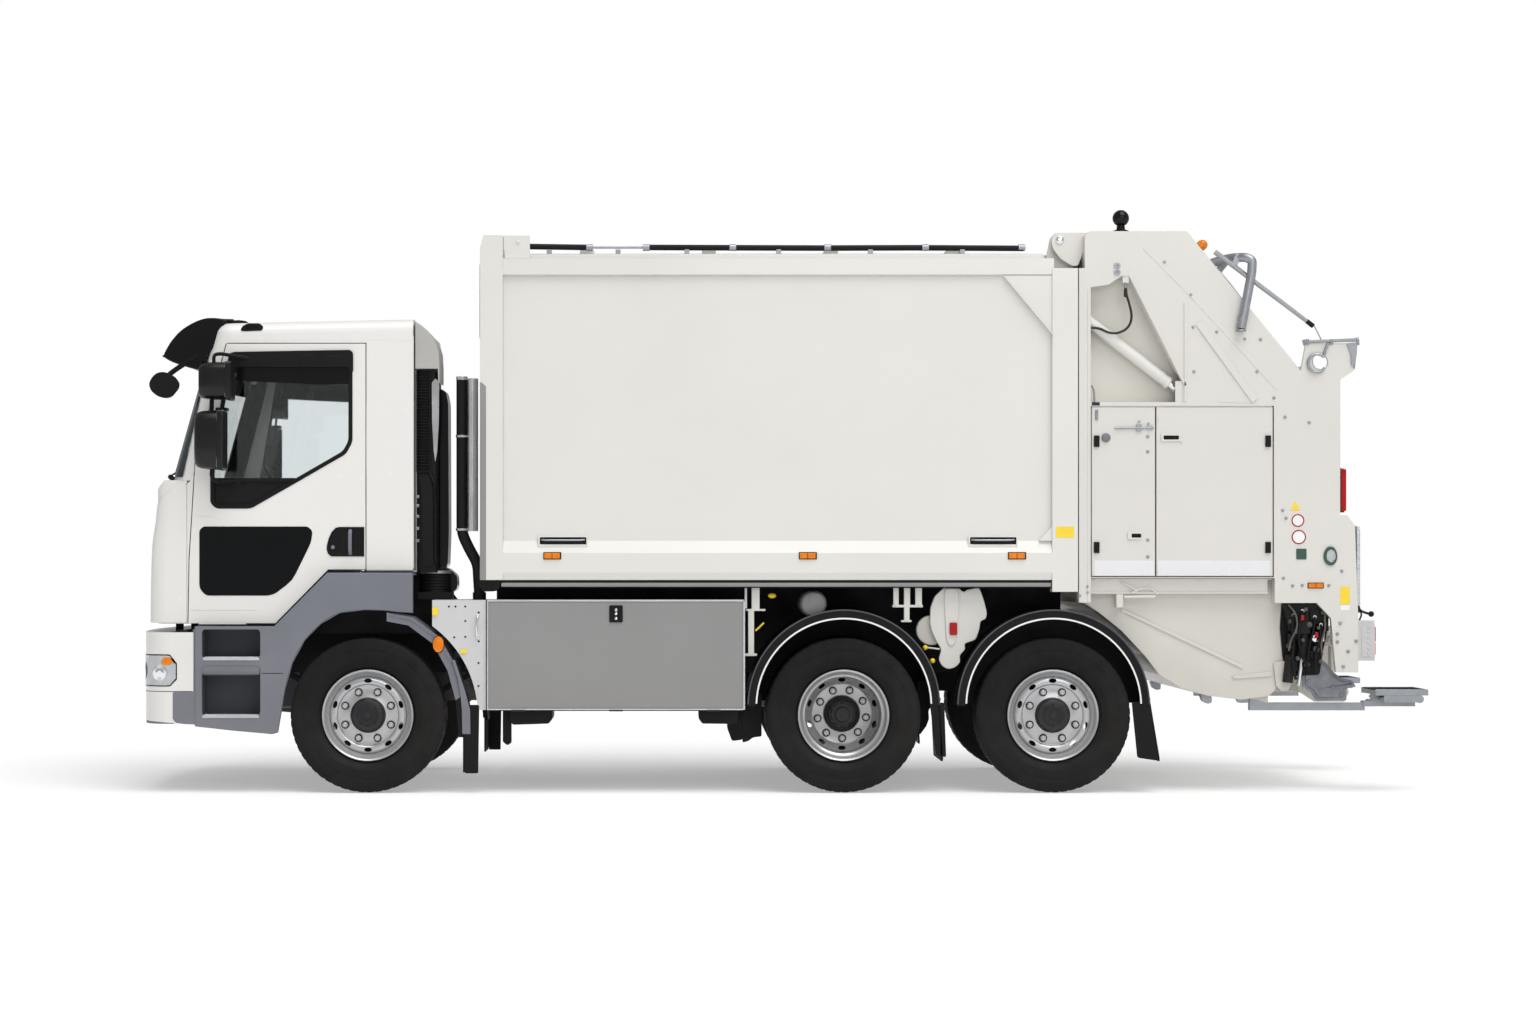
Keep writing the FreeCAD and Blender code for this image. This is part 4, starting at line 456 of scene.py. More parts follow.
# ---------------------------------------------------------------- CAD nodes keep their shape and get their finish
PAINTS = {
    "cab_shell": CAB_WHITE, "cab_roof": CAB_WHITE, "cab_front_panel": CAB_WHITE, "left_door": CAB_WHITE, "right_door": CAB_WHITE, "front_bumper": CAB_WHITE,
    "body_left_side": WHITE, "body_right_side": WHITE, "body_roof": WHITE, "body_front_wall": WHITE, "tailgate_left_wall": GATE_WHITE, "tailgate_right_wall": GATE_WHITE,
    "tailgate_cover": GATE_WHITE, "hopper_floor": HOPPER_SHADED_PAINT, "front_service_door": GATE_WHITE, "rear_service_door": GATE_WHITE, "body_floor": STEEL_BLACK, "packer_carriage": HOPPER_SHADED_PAINT, "packer_blade": HOPPER_SHADED_PAINT,
    "bin_lifter": HOPPER_SHADED_PAINT, "side_lockers_and_tank": GREY, "cab_steps": SLATE, "mudguards": BLACK, "left_mirrors": BLACK, "right_mirrors": BLACK, "dashboard": BLACK, "air_intake": BLACK,
    "tailgate_fittings": GALV, "chassis_frame": STEEL_BLACK, "front_axle": STEEL_BLACK, "drive_axle": STEEL_BLACK, "tag_axle": STEEL_BLACK, "engine_and_gearbox": GREASE,
    "left_knuckle": STEEL_BLACK, "right_knuckle": STEEL_BLACK, "left_ram_barrel": WHITE, "right_ram_barrel": WHITE, "left_footboard": GALV, "right_footboard": GALV,
    "exhaust_stack": CHROME, "left_ram_rod": CHROME, "right_ram_rod": CHROME, "windscreen": GLASS, "left_door_glass": GLASS, "right_door_glass": GLASS, "sun_visor": VISOR,
}
for name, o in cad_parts.items():
    if name in PAINTS:
        o.data.materials.clear()
        o.data.materials.append(PAINTS[name])


def by_place(node, rules):
    """Another finish for the faces of a node whose middle meets the test."""
    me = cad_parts[node].data
    for mat, test in rules:
        me.materials.append(mat)
        k = len(me.materials) - 1
        for f in me.polygons:
            if test(f.center * 1000, f.normal):
                f.material_index = k


by_place("mudguards", [(SLATE, lambda c, n: c.x < -1900 and c.z > 640)])
by_place("side_lockers_and_tank", [(SIDE_PLATE, lambda c, n: c.x < -1900 and c.y < 0), (BRUSHED, lambda c, n: c.y > 600 and c.x < -885)])
by_place("exhaust_stack", [(BLACK, lambda c, n: c.x < -2044 or c.z < 1640)])
# recessed inner faces of the gate walls take the darker hopper paint: painted shade
by_place("tailgate_left_wall", [(HOPPER_SHADED_PAINT, lambda c, n: abs(c.y) < 1150 and abs(n.y) > 0.9)])
by_place("tailgate_right_wall", [(HOPPER_SHADED_PAINT, lambda c, n: abs(c.y) < 1150 and abs(n.y) > 0.9)])
# step pocket faces take the darker slate: painted shade in the recesses
by_place("cab_steps", [(DARK_SLATE, lambda c, n: abs(c.y) < 1223 and -3790 < c.x < -3360)])
by_place("left_door_glass", [(TINT, lambda c, n: c.z < 1800)])
by_place("right_door_glass", [(TINT, lambda c, n: c.z < 1800)])
by_place("hopper_floor", [(GALV, lambda c, n: c.z < 604 and c.x > 3095)])
# the cab shell's inside faces take near-black: painted shade of the interior
by_place("cab_shell", [(BLACK, lambda c, n: c.z < 1104 or (c.z < 1300 and abs(n.z) > 0.9 and n.z < 0)), (CAB_INSIDE_SHADE, lambda c, n: abs(c.y) < 1128 and c.z > 1450 and (abs(n.y) > 0.9 or n.x * (c.x + 3100) < -0.3) and n.y * c.y <= 0.1)])

# ================================================================ wheels
def tyre_mesh(name, half):
    """Tread blocks with four grooves and notched shoulders, banded side walls."""
    side = [(110, 290.5), (110, 303), (119, 309), (131, 321), (142, 338), (149, 352), (150.5, 356), (152.5, 356.5), (155, 372), (half, 392), (half - 0.5, 418), (half - 2, 424), (half - 0.2, 428), (half - 1.5, 444), (half - 5, 456), (half - 7.5, 470), (half - 13, 485), (half - 21, 496)]
    tread = []
    edges = [half - 27, 84, 72, 31, 19]
    for e in edges:
        tread.append(e)
    prof = [(-h, r, 0) for h, r in side]
    cross = sorted(set([-e for e in edges] + edges))
    for i, e in enumerate(cross):
        r = 507 - (abs(e) / 150) ** 2 * 5
        deep = 14
        prof.append((e, r, 1))
        if i < len(cross) - 1 and (abs(cross[i + 1] - e) < 15 or (abs(e) < 20 and abs(cross[i + 1]) < 20 and abs(cross[i + 1] - e) < 15)):
            prof.append((e + 2, r - deep, 2))
            prof.append((cross[i + 1] - 2, r - deep, 2))
    prof += [(h, r, 0) for h, r in reversed(side)]
    inner = [(96, 290.5), (100, 303), (half - 26, 345), (half - 22, 400), (half - 34, 465), (half - 60, 482)]
    prof += [(h, r, 3) for h, r in inner] + [(-h, r, 3) for h, r in reversed(inner)]
    segs = 220
    bm = bmesh.new()
    rows = []
    for i in range(segs):
        t = 2 * math.pi * i / segs
        low = (i % 4) == 0
        row = []
        for h, r, kind in prof:
            rr = r
            if kind == 1 and low:
                rr = r - (3.5 if abs(h) > 90 else 3)
            if kind == 0 and low and r > 468:
                rr = r - 2.2
            row.append(bm.verts.new(Vector((rr * math.cos(t), h, rr * math.sin(t))) * MM))
        rows.append(row)
    m = len(prof)
    for i in range(segs):
        a, b = rows[i], rows[(i + 1) % segs]
        for k in range(m):
            q = (k + 1) % m
            bm.faces.new((a[k], b[k], b[q], a[q]))
    bmesh.ops.recalc_face_normals(bm, faces=bm.faces[:])
    me = bpy.data.meshes.new(name)
    bm.to_mesh(me)
    bm.free()
    me.materials.append(TYRE)
    me.shade_smooth()
    me.set_sharp_from_angle(angle=math.radians(32))
    return me


def lathe_mesh(name, profile, segs, mats):
    """A closed section of (outboard, radius) turned about Y; outboard is -Y."""
    bm = bmesh.new()
    rows = []
    for i in range(segs):
        t = 2 * math.pi * i / segs
        rows.append([bm.verts.new(Vector((r * math.cos(t), -h, r * math.sin(t))) * MM) for h, r in profile])
    m = len(profile)
    for i in range(segs):
        a, b = rows[i], rows[(i + 1) % segs]
        for k in range(m):
            bm.faces.new((a[k], b[k], b[(k + 1) % m], a[(k + 1) % m]))
    bmesh.ops.recalc_face_normals(bm, faces=bm.faces[:])
    me = bpy.data.meshes.new(name)
    bm.to_mesh(me)
    bm.free()
    for x in mats:
        me.materials.append(x)
    return me


def with_holes(me, radius_at, r, count, phase=0.0, stretch=1.0):
    """The mesh with a ring of hand holes cut along Y."""
    o = bpy.data.objects.new("tmp", me)
    scene.collection.objects.link(o)
    bm = bmesh.new()
    for i in range(count):
        t = 2 * math.pi * i / count + phase
        g = bmesh.ops.create_cone(bm, cap_ends=True, segments=24, radius1=r * MM, radius2=r * MM, depth=0.5)
        m = Matrix.Rotation(-t, 4, "Y") @ Matrix.Translation((radius_at * MM, 0, 0)) @ Matrix.Diagonal((1, 1, stretch, 1)) @ Matrix.Rotation(math.pi / 2, 4, "X")
        for v in g["verts"]:
            v.co = m @ v.co
    cm = bpy.data.meshes.new("tmp_cut")
    bm.to_mesh(cm)
    bm.free()
    c = bpy.data.objects.new("tmp_cut", cm)
    scene.collection.objects.link(c)
    mod = o.modifiers.new("cut", "BOOLEAN")
    mod.operation = "DIFFERENCE"
    mod.solver = "EXACT"
    mod.object = c
    bpy.context.view_layer.update()
    dg = bpy.context.evaluated_depsgraph_get()
    res = bpy.data.meshes.new_from_object(o.evaluated_get(dg))
    bpy.data.objects.remove(o)
    bpy.data.objects.remove(c)
    return res


# outboard distance from the wheel's centre plane, radius
RIM_OUT = [(128, 299), (131, 295), (128, 289), (117, 280), (108, 278), (97, 275), (84, 262), (78, 252), (60, 251), (-55, 252), (-72, 275), (-112, 278), (-124, 287), (-128, 294), (-128, 299),
           (-120, 297), (-112, 289), (-72, 285), (-55, 261), (58, 260), (66, 268), (80, 282), (112, 289), (120, 297)]
DISC_OUT = [(76, 251), (86, 249), (96, 244), (103, 234), (106, 220), (104, 209), (98, 201), (92, 197), (91, 192), (91, 124), (95, 118), (95, 106), (79, 106), (79, 192), (80, 200), (86, 207), (92, 216), (92, 226), (86, 236), (78, 243), (64, 246), (64, 251)]
HUB_OUT = [(20, 40), (132, 40), (132, 50), (138, 53), (138, 62), (132, 66), (132, 90), (128, 98), (116, 100), (110, 106), (100, 108), (96, 116), (90, 119), (20, 119)]
rim_out = lathe_mesh("rim_ring_out", RIM_OUT, 96, [RIM])
disc_out = with_holes(lathe_mesh("rim_disc_out", DISC_OUT, 96, [RIM]), 226, 14.5, 10, math.radians(18), 1.75)
# drive wheel: the disc lies deep inside the outer rim
RIM_DEEP = [(h, r) for h, r in RIM_OUT[:8]] + [(60, 251), (-100, 251), (-118, 262), (-124, 287), (-128, 294), (-128, 299), (-120, 297), (-112, 289), (-100, 262), (58, 260), (66, 268), (80, 282), (112, 289), (120, 297)]
DISC_DEEP = [(-84, 250), (-70, 250), (-64, 240), (-86, 224), (-104, 211), (-114, 200), (-118, 192), (-118, 124), (-110, 118), (-110, 106), (-134, 106), (-134, 190), (-130, 204), (-118, 214), (-100, 230)]
HUB_DEEP = [(-150, 52), (-8, 52), (-8, 70), (-14, 78), (-30, 84), (-86, 92), (-98, 112), (-104, 119), (-150, 119)]
rim_deep = lathe_mesh("rim_ring_deep", RIM_DEEP, 96, [RIM])
disc_deep = with_holes(lathe_mesh("rim_disc_deep", DISC_DEEP, 96, [RIM]), 225, 14, 10, math.radians(18), 1.75)
tyre_single = tyre_mesh("tyre_single", 157.0)
tyre_twin = tyre_mesh("tyre_twin", 152.5)


def nuts(face, length, count=8, phase=0.5):
    """A ring of nuts on dark washers, each on its stud."""
    p = bmesh.new()
    for i in range(count):
        t = 2 * math.pi * (i + phase) / count
        for r, h0, h1, s in ((27, face - 2, face + 4, 20), (20.5, face + 2, face + length - 4, 6), (13, face + length - 6, face + length + 6, 16)):
            g = bmesh.ops.create_cone(p, cap_ends=True, segments=s, radius1=r * MM, radius2=(r - 1.5 if s != 20 else r) * MM, depth=(h1 - h0) * MM)
            m = Matrix.Rotation(-t, 4, "Y") @ Matrix.Translation((0.162, -(h0 + h1) / 2 * MM, 0)) @ Matrix.Rotation(math.pi / 2, 4, "X")
            for v in g["verts"]:
                v.co = m @ v.co
    bmesh.ops.recalc_face_normals(p, faces=p.faces[:])
    me = bpy.data.meshes.new("wheel_nuts")
    p.to_mesh(me)
    p.free()
    me.materials.append(RIM)
    me.materials.append(DARK_STEEL)
    for f in me.polygons:
        if max(math.hypot(me.vertices[v].co.x, me.vertices[v].co.z) for v in f.vertices) > 0.1850 or -(face + 5) * MM < f.center.y < -(face - 3) * MM:
            f.material_index = 1
    return me


def hub_mesh(name, profile, face, bolts, mouth, bore):
    me = lathe_mesh(name, profile, 64, [DARK_STEEL])
    bm = bmesh.new()
    bm.from_mesh(me)
    for r0, r1, h0, h1 in ((bore + 1, bore + 1, mouth - 12, mouth - 8), (bore * 0.62, bore * 0.56, mouth - 8.5, mouth - 3)):
        g = bmesh.ops.create_cone(bm, cap_ends=True, segments=36, radius1=r0 * MM, radius2=r1 * MM, depth=(h1 - h0) * MM)
        m = Matrix.Translation((0, -(h0 + h1) / 2 * MM, 0)) @ Matrix.Rotation(math.pi / 2, 4, "X")
        for v in g["verts"]:
            v.co = m @ v.co
    for i in range(bolts):
        t = 2 * math.pi * i / bolts
        g = bmesh.ops.create_cone(bm, cap_ends=True, segments=6, radius1=0.006, radius2=0.006, depth=0.012)
        m = Matrix.Rotation(-t, 4, "Y") @ Matrix.Translation((0.075, -(face) * MM, 0)) @ Matrix.Rotation(math.pi / 2, 4, "X")
        for v in g["verts"]:
            v.co = m @ v.co
    bmesh.ops.recalc_face_normals(bm, faces=bm.faces[:])
    bm.to_mesh(me)
    bm.free()
    return me


nuts_out, nuts_deep = nuts(91, 26), nuts(-118, 26, 9, 0.78)
hub_out, hub_deep = hub_mesh("hub_out", HUB_OUT, 134, 8, 132, 40), hub_mesh("hub_deep", HUB_DEEP, -11, 10, -8, 52)
for me in (rim_out, disc_out, rim_deep, disc_deep, nuts_out, nuts_deep, hub_out, hub_deep):
    me.shade_smooth()
    me.set_sharp_from_angle(angle=math.radians(35))


def put(me, name, body, slot, at, left, replaces=()):
    o = bpy.data.objects.new(name, me)
    o.location = at
    if not left:
        o.rotation_euler = (0, 0, math.pi)
    scene.collection.objects.link(o)
    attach(o, body)
    if replaces:
        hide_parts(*replaces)
    return o


for side, word in ((-1, "left"), (1, "right")):
    lf = side < 0
    for axle in ("front", "tag"):
        lo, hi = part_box("%s_%s_tyre" % (axle, word))
        at = (lo + hi) / 2
        at = (at.x, 1.0825 * side, 0.507)
        body = "%s_%s_wheel" % (axle, word)
        key = "%s_%s" % (axle, word)
        put(tyre_single, key + "_tyre_tread", body, "tyre_rubber", at, lf, (key + "_tyre",))
        put(rim_out, key + "_rim_ring", body, "rim_steel", at, lf, (key + "_rim",))
        put(disc_out, key + "_rim_disc", body, "rim_steel", at, lf)
        put(nuts_out, key + "_nuts", body, "bright_steel", at, lf)
        put(hub_out, key + "_hub", body, "black_steel", at, lf)
    lo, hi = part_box("drive_%s_tyres" % word)
    x = (lo.x + hi.x) / 2
    body = "drive_%s_wheels" % word
    key = "drive_%s" % word
    put(tyre_twin, key + "_outer_tyre_tread", body, "tyre_rubber", (x, 1.086 * side, 0.507), lf, (key + "_tyres",))
    put(tyre_twin, key + "_inner_tyre_tread", body, "tyre_rubber", (x, 0.764 * side, 0.507), lf)
    put(rim_deep, key + "_outer_rim", body, "rim_steel", (x, 1.086 * side, 0.507), lf, (key + "_rims",))
    put(rim_deep, key + "_inner_rim", body, "rim_steel", (x, 0.764 * side, 0.507), not lf)
    put(disc_deep, key + "_disc", body, "rim_steel", (x, 1.086 * side, 0.507), lf)
    put(nuts_deep, key + "_nuts", body, "bright_steel", (x, 1.086 * side, 0.507), lf)
    put(hub_deep, key + "_hub", body, "black_steel", (x, 1.086 * side, 0.507), lf)

# ================================================================ cab
WINDOW = [(-3590, 2872), (-2835, 2885), (-2802, 2850), (-2802, 2300), (-2842, 2225), (-3180, 2030), (-3460, 1870), (-3680, 1870), (-3712, 1900), (-3712, 2130)]
KERB = [(-3791, 1715), (-3768, 1738), (-3085, 1738), (-3057, 1710), (-3066, 1640), (-3188, 1391), (-3300, 1305), (-3345, 1293), (-3750, 1293), (-3791, 1339)]
RIGHT_DOOR = lambda name: (name, "right_door_leaf", ())


def collar(name, body, mat, slot, poly, out, inn, y0, y1, radius, other=None, bevel=2.0):
    p = Piece(name, body, mat, slot)
    p.prism(soft(grow(poly, out), radius, 4), y0, y1, "XZ", [soft(grow(poly, -inn), radius, 4)])
    return p.done(bevel, 2, other_side=other)


collar("left_window_seal", "left_door_leaf", BLACK, "black_plastic", WINDOW, 11, 16, -1155, -1139, 26, RIGHT_DOOR("right_window_seal"))
p = Piece("left_kerb_surround", "left_door_leaf", TINT, "black_plastic")
p.prism(soft(grow(KERB, 4), 62, 8), -1154, -1140)
p.done(2.5, 3, other_side=RIGHT_DOOR("right_kerb_surround"))

p = Piece("left_wind_deflector", "left_door_leaf", BLACK, "black_plastic")
p.prism(soft([(-3596, 2786), (-3594, 2866), (-3572, 2886), (-2806, 2899), (-2786, 2880), (-2786, 2752), (-2812, 2748), (-2816, 2786)], 14, 3), -1166, -1150.5)
p.prism([(-3140, 2802), (-3138, 2866), (-3040, 2868), (-3042, 2804)], -1168.5, -1160)
p.prism([(-2980, 2812), (-2978, 2858), (-2860, 2860), (-2862, 2814)], -1168, -1160)
p.done(4, 3, other_side=RIGHT_DOOR("right_wind_deflector"))

p = Piece("left_window_sill", "left_door_leaf", BLACK, "black_plastic")
p.prism([(-3700, 1884), (-3455, 1884), (-3420, 1900), (-3190, 2038), (-3190, 2052), (-3700, 2052)], -1147, -1139.5)
p.box(-3706, -3165, -1161, -1145, 2036, 2060)
p.prism([(-3690, 1900), (-3460, 1900), (-3265, 2012), (-3690, 2012)], -1150, -1146)
p.done(3, 2, other_side=RIGHT_DOOR("right_window_sill"))

# gloss black sheet inside the top of the door window: painted shade of the cab interior
p = Piece("left_window_upper_painted_shade", "left_door_leaf", GLOSS_BLACK, "black_plastic")
p.prism([(-3560, 2700), (-3540, 2790), (-2806, 2800), (-2804, 2676), (-3000, 2672), (-3380, 2690)], -1141, -1138.6)
p.done(0.5, 1, other_side=RIGHT_DOOR("right_window_upper_painted_shade"))

p = Piece("left_door_handle_cup", "left_door_leaf", BLACK, "black_plastic")
CUP = [(-2959, 1618), (-2948, 1662), (-2928, 1706), (-2902, 1733), (-2878, 1739), (-2714, 1739), (-2714, 1546), (-2930, 1546), (-2950, 1562), (-2960, 1590)]
p.prism(CUP, -1155, -1149.5, "XZ", [grow(CUP, -13)])
p.prism(grow(CUP, -12), -1151.2, -1149.5)
p.prism([(-2905, 1580), (-2872, 1712), (-2858, 1712), (-2890, 1580)], -1154, -1150)
p.prism([(-2760, 1566), (-2756, 1722), (-2738, 1722), (-2740, 1566)], -1155, -1150)
p.done(3, 3, other_side=RIGHT_DOOR("right_door_handle_cup"))
p = Piece("left_door_handle_grip", "left_door_leaf", SLATE, "slate_plastic")
p.tube([(-2806, -1150, 1716), (-2806, -1172, 1696), (-2806, -1174, 1640), (-2806, -1172, 1584), (-2806, -1150, 1562)], 13, 22, 16)
p.lathe([(0, 0), (13, 0), (13, 6), (10, 9), (0, 9)], (-2920, -1154, 1606), "y", 20)
p.done(1.5, 2, other_side=RIGHT_DOOR("right_door_handle_grip"))

# pressed crease along the door, and the feature line above the sill
p = Piece("left_door_crease", "left_door_leaf", CAB_WHITE, "white_paint")
for za, zb, xa, xb in ((1806, 1812, -3835, -3700), (1196, 1200, -3852, -3420)):
    p.prism([(xa, za), (xa + 8, zb), (xb - 8, zb), (xb, za), (xb - 8, za - 3), (xa + 8, za - 3)], -1151.6, -1149.6)
p.done(0.8, 2, other_side=RIGHT_DOOR("right_door_crease"))

# roof marker lamps and a trim strip down the cab's rear edge
p = Piece("cab_roof_markers", "cab", BLACK, "black_plastic")
for xa, xb, z, y in ((-3526, -3376, 3048, -1128),):
    q = soft([(xa, z - 20), (xa + 14, z + 8), (xa + 50, z + 26), (xb - 26, z + 26), (xb, z + 4), (xb - 10, z - 22), (xa + 20, z - 26)], 10, 3)
    p.prism(q, y - 24, y + 30)
p.prism(soft([(-3618, 3078), (-3600, 3096), (-3552, 3103), (-3500, 3096), (-3490, 3080)], 8, 3), -1060, -990)
p.prism(soft([(-3618, 3078), (-3600, 3096), (-3552, 3103), (-3500, 3096), (-3490, 3080)], 8, 3), -520, -450)
p.both()
p.done(5, 3)
p = Piece("cab_roof_marker_lenses", "cab", GLOSS_BLACK, "black_plastic")
p.prism(soft([(-3500, 3036), (-3488, 3064), (-3420, 3066), (-3404, 3040)], 8, 3), -1155, -1148)
p.both()
p.done(2, 2)

p = Piece("cab_rear_edge_trim", "cab", CAB_WHITE, "white_paint")
p.box(-2399, -2391, -1151, -1140, 1470, 2990)
p.both()
p.done(1.5, 2)


# ---- the front of the cab
def front_arc(nose, half, inset=0.0, n=28, bulge_at=950.0, bulge=71.0):
    r = (bulge_at ** 2 + bulge ** 2) / (2 * bulge)
    return [(nose + inset + r - math.sqrt(r * r - y * y), y) for y in [half * (-1 + 2 * i / n) for i in range(n + 1)]]


def arc_band(piece, nose, half, z0, z1, t0, t1, n=28, lean=0.0, z_ref=0.0):
    """A band that follows the bulged front, between two insets, leaning with the screen."""
    a = front_arc(nose, half, t0, n)
    b = front_arc(nose, half, t1, n)
    bm = piece.bm
    rows = []
    for (x, y), (u, v) in zip(a, b):
        rows.append([bm.verts.new((x + lean * (z0 - z_ref), y, z0)), bm.verts.new((x + lean * (z1 - z_ref), y, z1)), bm.verts.new((u + lean * (z1 - z_ref), v, z1)), bm.verts.new((u + lean * (z0 - z_ref), v, z0))])
    for r0, r1 in zip(rows, rows[1:]):
        for k in range(4):
            bm.faces.new((r0[k], r1[k], r1[(k + 1) % 4], r0[(k + 1) % 4]))
    bm.faces.new(rows[0])
    bm.faces.new(rows[-1][::-1])
    return piece


NOSE = [(1110, -4219), (1478, -4213), (1620, -4207), (1696, -4197), (1780, -4183), (1859, -4177), (1895, -4171), (1930, -4158), (1967, -4137), (2000, -4106), (2022, -4081), (2046, -4054)]


def nose_at(z):
    for (z0, x0), (z1, x1) in zip(NOSE, NOSE[1:]):
        if z <= z1:
            return x0 + (x1 - x0) * (z - z0) / (z1 - z0)
    return NOSE[-1][1]


def skin_plan(nose, inset):
    """Plan of the cab's front: bulged middle, round corners, short straight sides; left to right."""
    bulge = lambda y: 6391.3 - math.sqrt(6391.3 ** 2 - y * y)
    ys = sorted(set([-1022 + 73 * i for i in range(29)] + [-760, 760]))
    front = []
    for y in ys:
        d = Vector((1, y / 6391.3)).normalized()
        front.append((nose + bulge(y) + inset * d.x, y - inset * d.y))
    cx, r = nose + bulge(1022) + 128, 128 - inset
    side = []
    a0 = math.degrees(math.asin(1022 / 6391.3))
    for i in range(1, 11):
        a = math.radians(a0 + (90 - a0) * i / 10)
        side.append((cx - r * math.cos(a), 1022 + r * math.sin(a)))
    side.append((-3878, 1150 - inset))
    return [(x, -y) for x, y in side[::-1]] + front + side


p = Piece("cab_front_skin", "cab", CAB_WHITE, "white_paint")
levels = [1110, 1150, 1200, 1246, 1290, 1336, 1380, 1426, 1470, 1516, 1560, 1620, 1660, 1696, 1735, 1780, 1820, 1859, 1895, 1930, 1967, 2000, 2022, 2046]
open_rows = {1200, 1290, 1380, 1470}
outer = [[p.bm.verts.new((x, y, z)) for x, y in skin_plan(nose_at(z), 0)] for z in levels]
inner = [[p.bm.verts.new((x, y, z)) for x, y in skin_plan(nose_at(z), 13)] for z in levels]
plan = skin_plan(-4190, 0)
rows_n, cols_n = len(levels) - 1, len(plan) - 1
solid = [[not (levels[i] in open_rows and abs(plan[k][1] + plan[k + 1][1]) < 1520 and plan[k][0] < -4000) for k in range(cols_n)] for i in range(rows_n)]
for i in range(rows_n):
    for k in range(cols_n):
        if not solid[i][k]:
            continue
        p.bm.faces.new((outer[i][k], outer[i][k + 1], outer[i + 1][k + 1], outer[i + 1][k]))
        p.bm.faces.new((inner[i][k], inner[i + 1][k], inner[i + 1][k + 1], inner[i][k + 1]))
        for di, dk, e in ((-1, 0, ((i, k), (i, k + 1))), (1, 0, ((i + 1, k), (i + 1, k + 1))), (0, -1, ((i, k), (i + 1, k))), (0, 1, ((i, k + 1), (i + 1, k + 1)))):
            a, b = i + di, k + dk
            if not (0 <= a < rows_n and 0 <= b < cols_n) or not solid[a][b]:
                (r0, c0), (r1, c1) = e
                p.bm.faces.new((outer[r0][c0], outer[r1][c1], inner[r1][c1], inner[r0][c0]))
p.done(3, 2, 40, ("cab_front_panel",))

p = Piece("cab_grille_core", "cab", BLACK, "black_plastic")
arc_band(p, -4214, 780, 1185, 1535, 26, 34)
for z in (1200, 1290, 1380, 1470):
    for dz in (11, 23, 35):
        arc_band(p, -4214, 760, z + dz - 2, z + dz + 2, 6, 26, 20)
    for i in range(-12, 13):
        y = i * 60
        x = -4214 + 6391.3 - math.sqrt(6391.3 ** 2 - y * y)
        p.box(x + 10, x + 27, y - 2, y + 2, z, z + 46)
p.done(0, 1)
p = Piece("cab_grille_rims", "cab", GLOSS_BLACK, "black_plastic")
for z in (1200, 1290, 1380, 1470):
    arc_band(p, -4214, 766, z - 5, z + 1, -2.5, 3)
    arc_band(p, -4214, 766, z + 45, z + 51, -2.5, 3)
p.done(1, 2)
p = Piece("cab_front_panel_lines", "cab", BLACK, "black_plastic")
arc_band(p, nose_at(1577), 985, 1576, 1579, -0.8, 3)
arc_band(p, nose_at(1841), 985, 1840, 1843, -0.8, 3)
for y in (-985, 985):
    bulge = 6391.3 - math.sqrt(6391.3 ** 2 - y * y)
    p.tube([(nose_at(z) + bulge + 0.6, y, z) for z in (1160, 1400, 1578, 1696, 1780, 1841)], 1.7, 10, 8)
p.done(0, 1)
p = Piece("cab_scuttle_grille", "cab", BLACK, "black_plastic")
arc_band(p, -4190, 900, 2052, 2058, 140, 160, 30)
for i in range(-22, 23):
    y = i * 40
    x = -4190 + 6391.3 - math.sqrt(6391.3 ** 2 - y * y)
    p.box(x + 108, x + 163, y - 3, y + 3, 2040, 2056, ("Y", -38))
p.done(1, 1)

# wipers: pivots, arms and blades lying low on the screen
LEAN = 0.278


def screen(y, z, off=0.0):
    """A point on the outside of the screen, off millimetres out of it."""
    x = -4077.5 + LEAN * (z - 1990) + 6391.3 - math.sqrt(6391.3 ** 2 - y * y)
    return (x - off, y, z)


p = Piece("windscreen_wipers", "cab", BLACK, "black_plastic")
for yp, reach in ((-860, 760), (-60, 760)):
    a = screen(yp, 2068, 34)
    p.cyl((a[0] + 40, yp, 2040), (a[0] - 6, yp, 2078), 17, 20)
    p.cyl((a[0] - 6, yp, 2078), (a[0] - 13, yp, 2084), 13, 20)
    pts = [screen(yp, 2082, 32), screen(yp + 90, 2092, 32), screen(yp + 300, 2112, 26), screen(yp + reach * 0.62, 2138, 22)]
    p.tube(pts, 6.5, 30, 10)
    blade = [screen(yp + reach * f, 2122 + 34 * f, 12) for f in (0.02, 0.2, 0.4, 0.6, 0.8, 1.0, 1.08)]
    p.tube(blade, 5, 40, 8)
    p.tube([screen(yp + reach * f, 2131 + 34 * f, 18) for f in (0.22, 0.45, 0.62, 0.85)], 4, 40, 8)
    for f in (0.22, 0.62, 0.85):
        q = screen(yp + reach * f, 2126 + 34 * f, 15)
        p.box(q[0] - 6, q[0] + 6, q[1] - 9, q[1] + 9, q[2] - 8, q[2] + 9)
p.done(1.2, 2)
p = Piece("windscreen_seal", "cab", BLACK, "black_plastic")
for z0, z1, h in ((2076, 2090, 1016), (2834, 2848, 990)):
    arc_band(p, -4077.5, h, z0, z1, -3.5, 6, 28, LEAN, 1990)
for s in (-1, 1):
    for i in range(10):
        z0, z1 = 2082 + i * 76, 2082 + (i + 1) * 76
        y0, y1 = (1022 - i * 2.6) * s, (1022 - (i + 1) * 2.6) * s
        a, b = screen(y0, z0, 3), screen(y1, z1, 3)
        p.tube([a, b], 7, 1, 6)
p.done(1, 1)
p = Piece("screen_shade_band", "cab", TINT, "window_glass")
arc_band(p, -4077.5, 960, 2700, 2828, 15, 17, 28, LEAN, 1990)
p.done(0, 1)

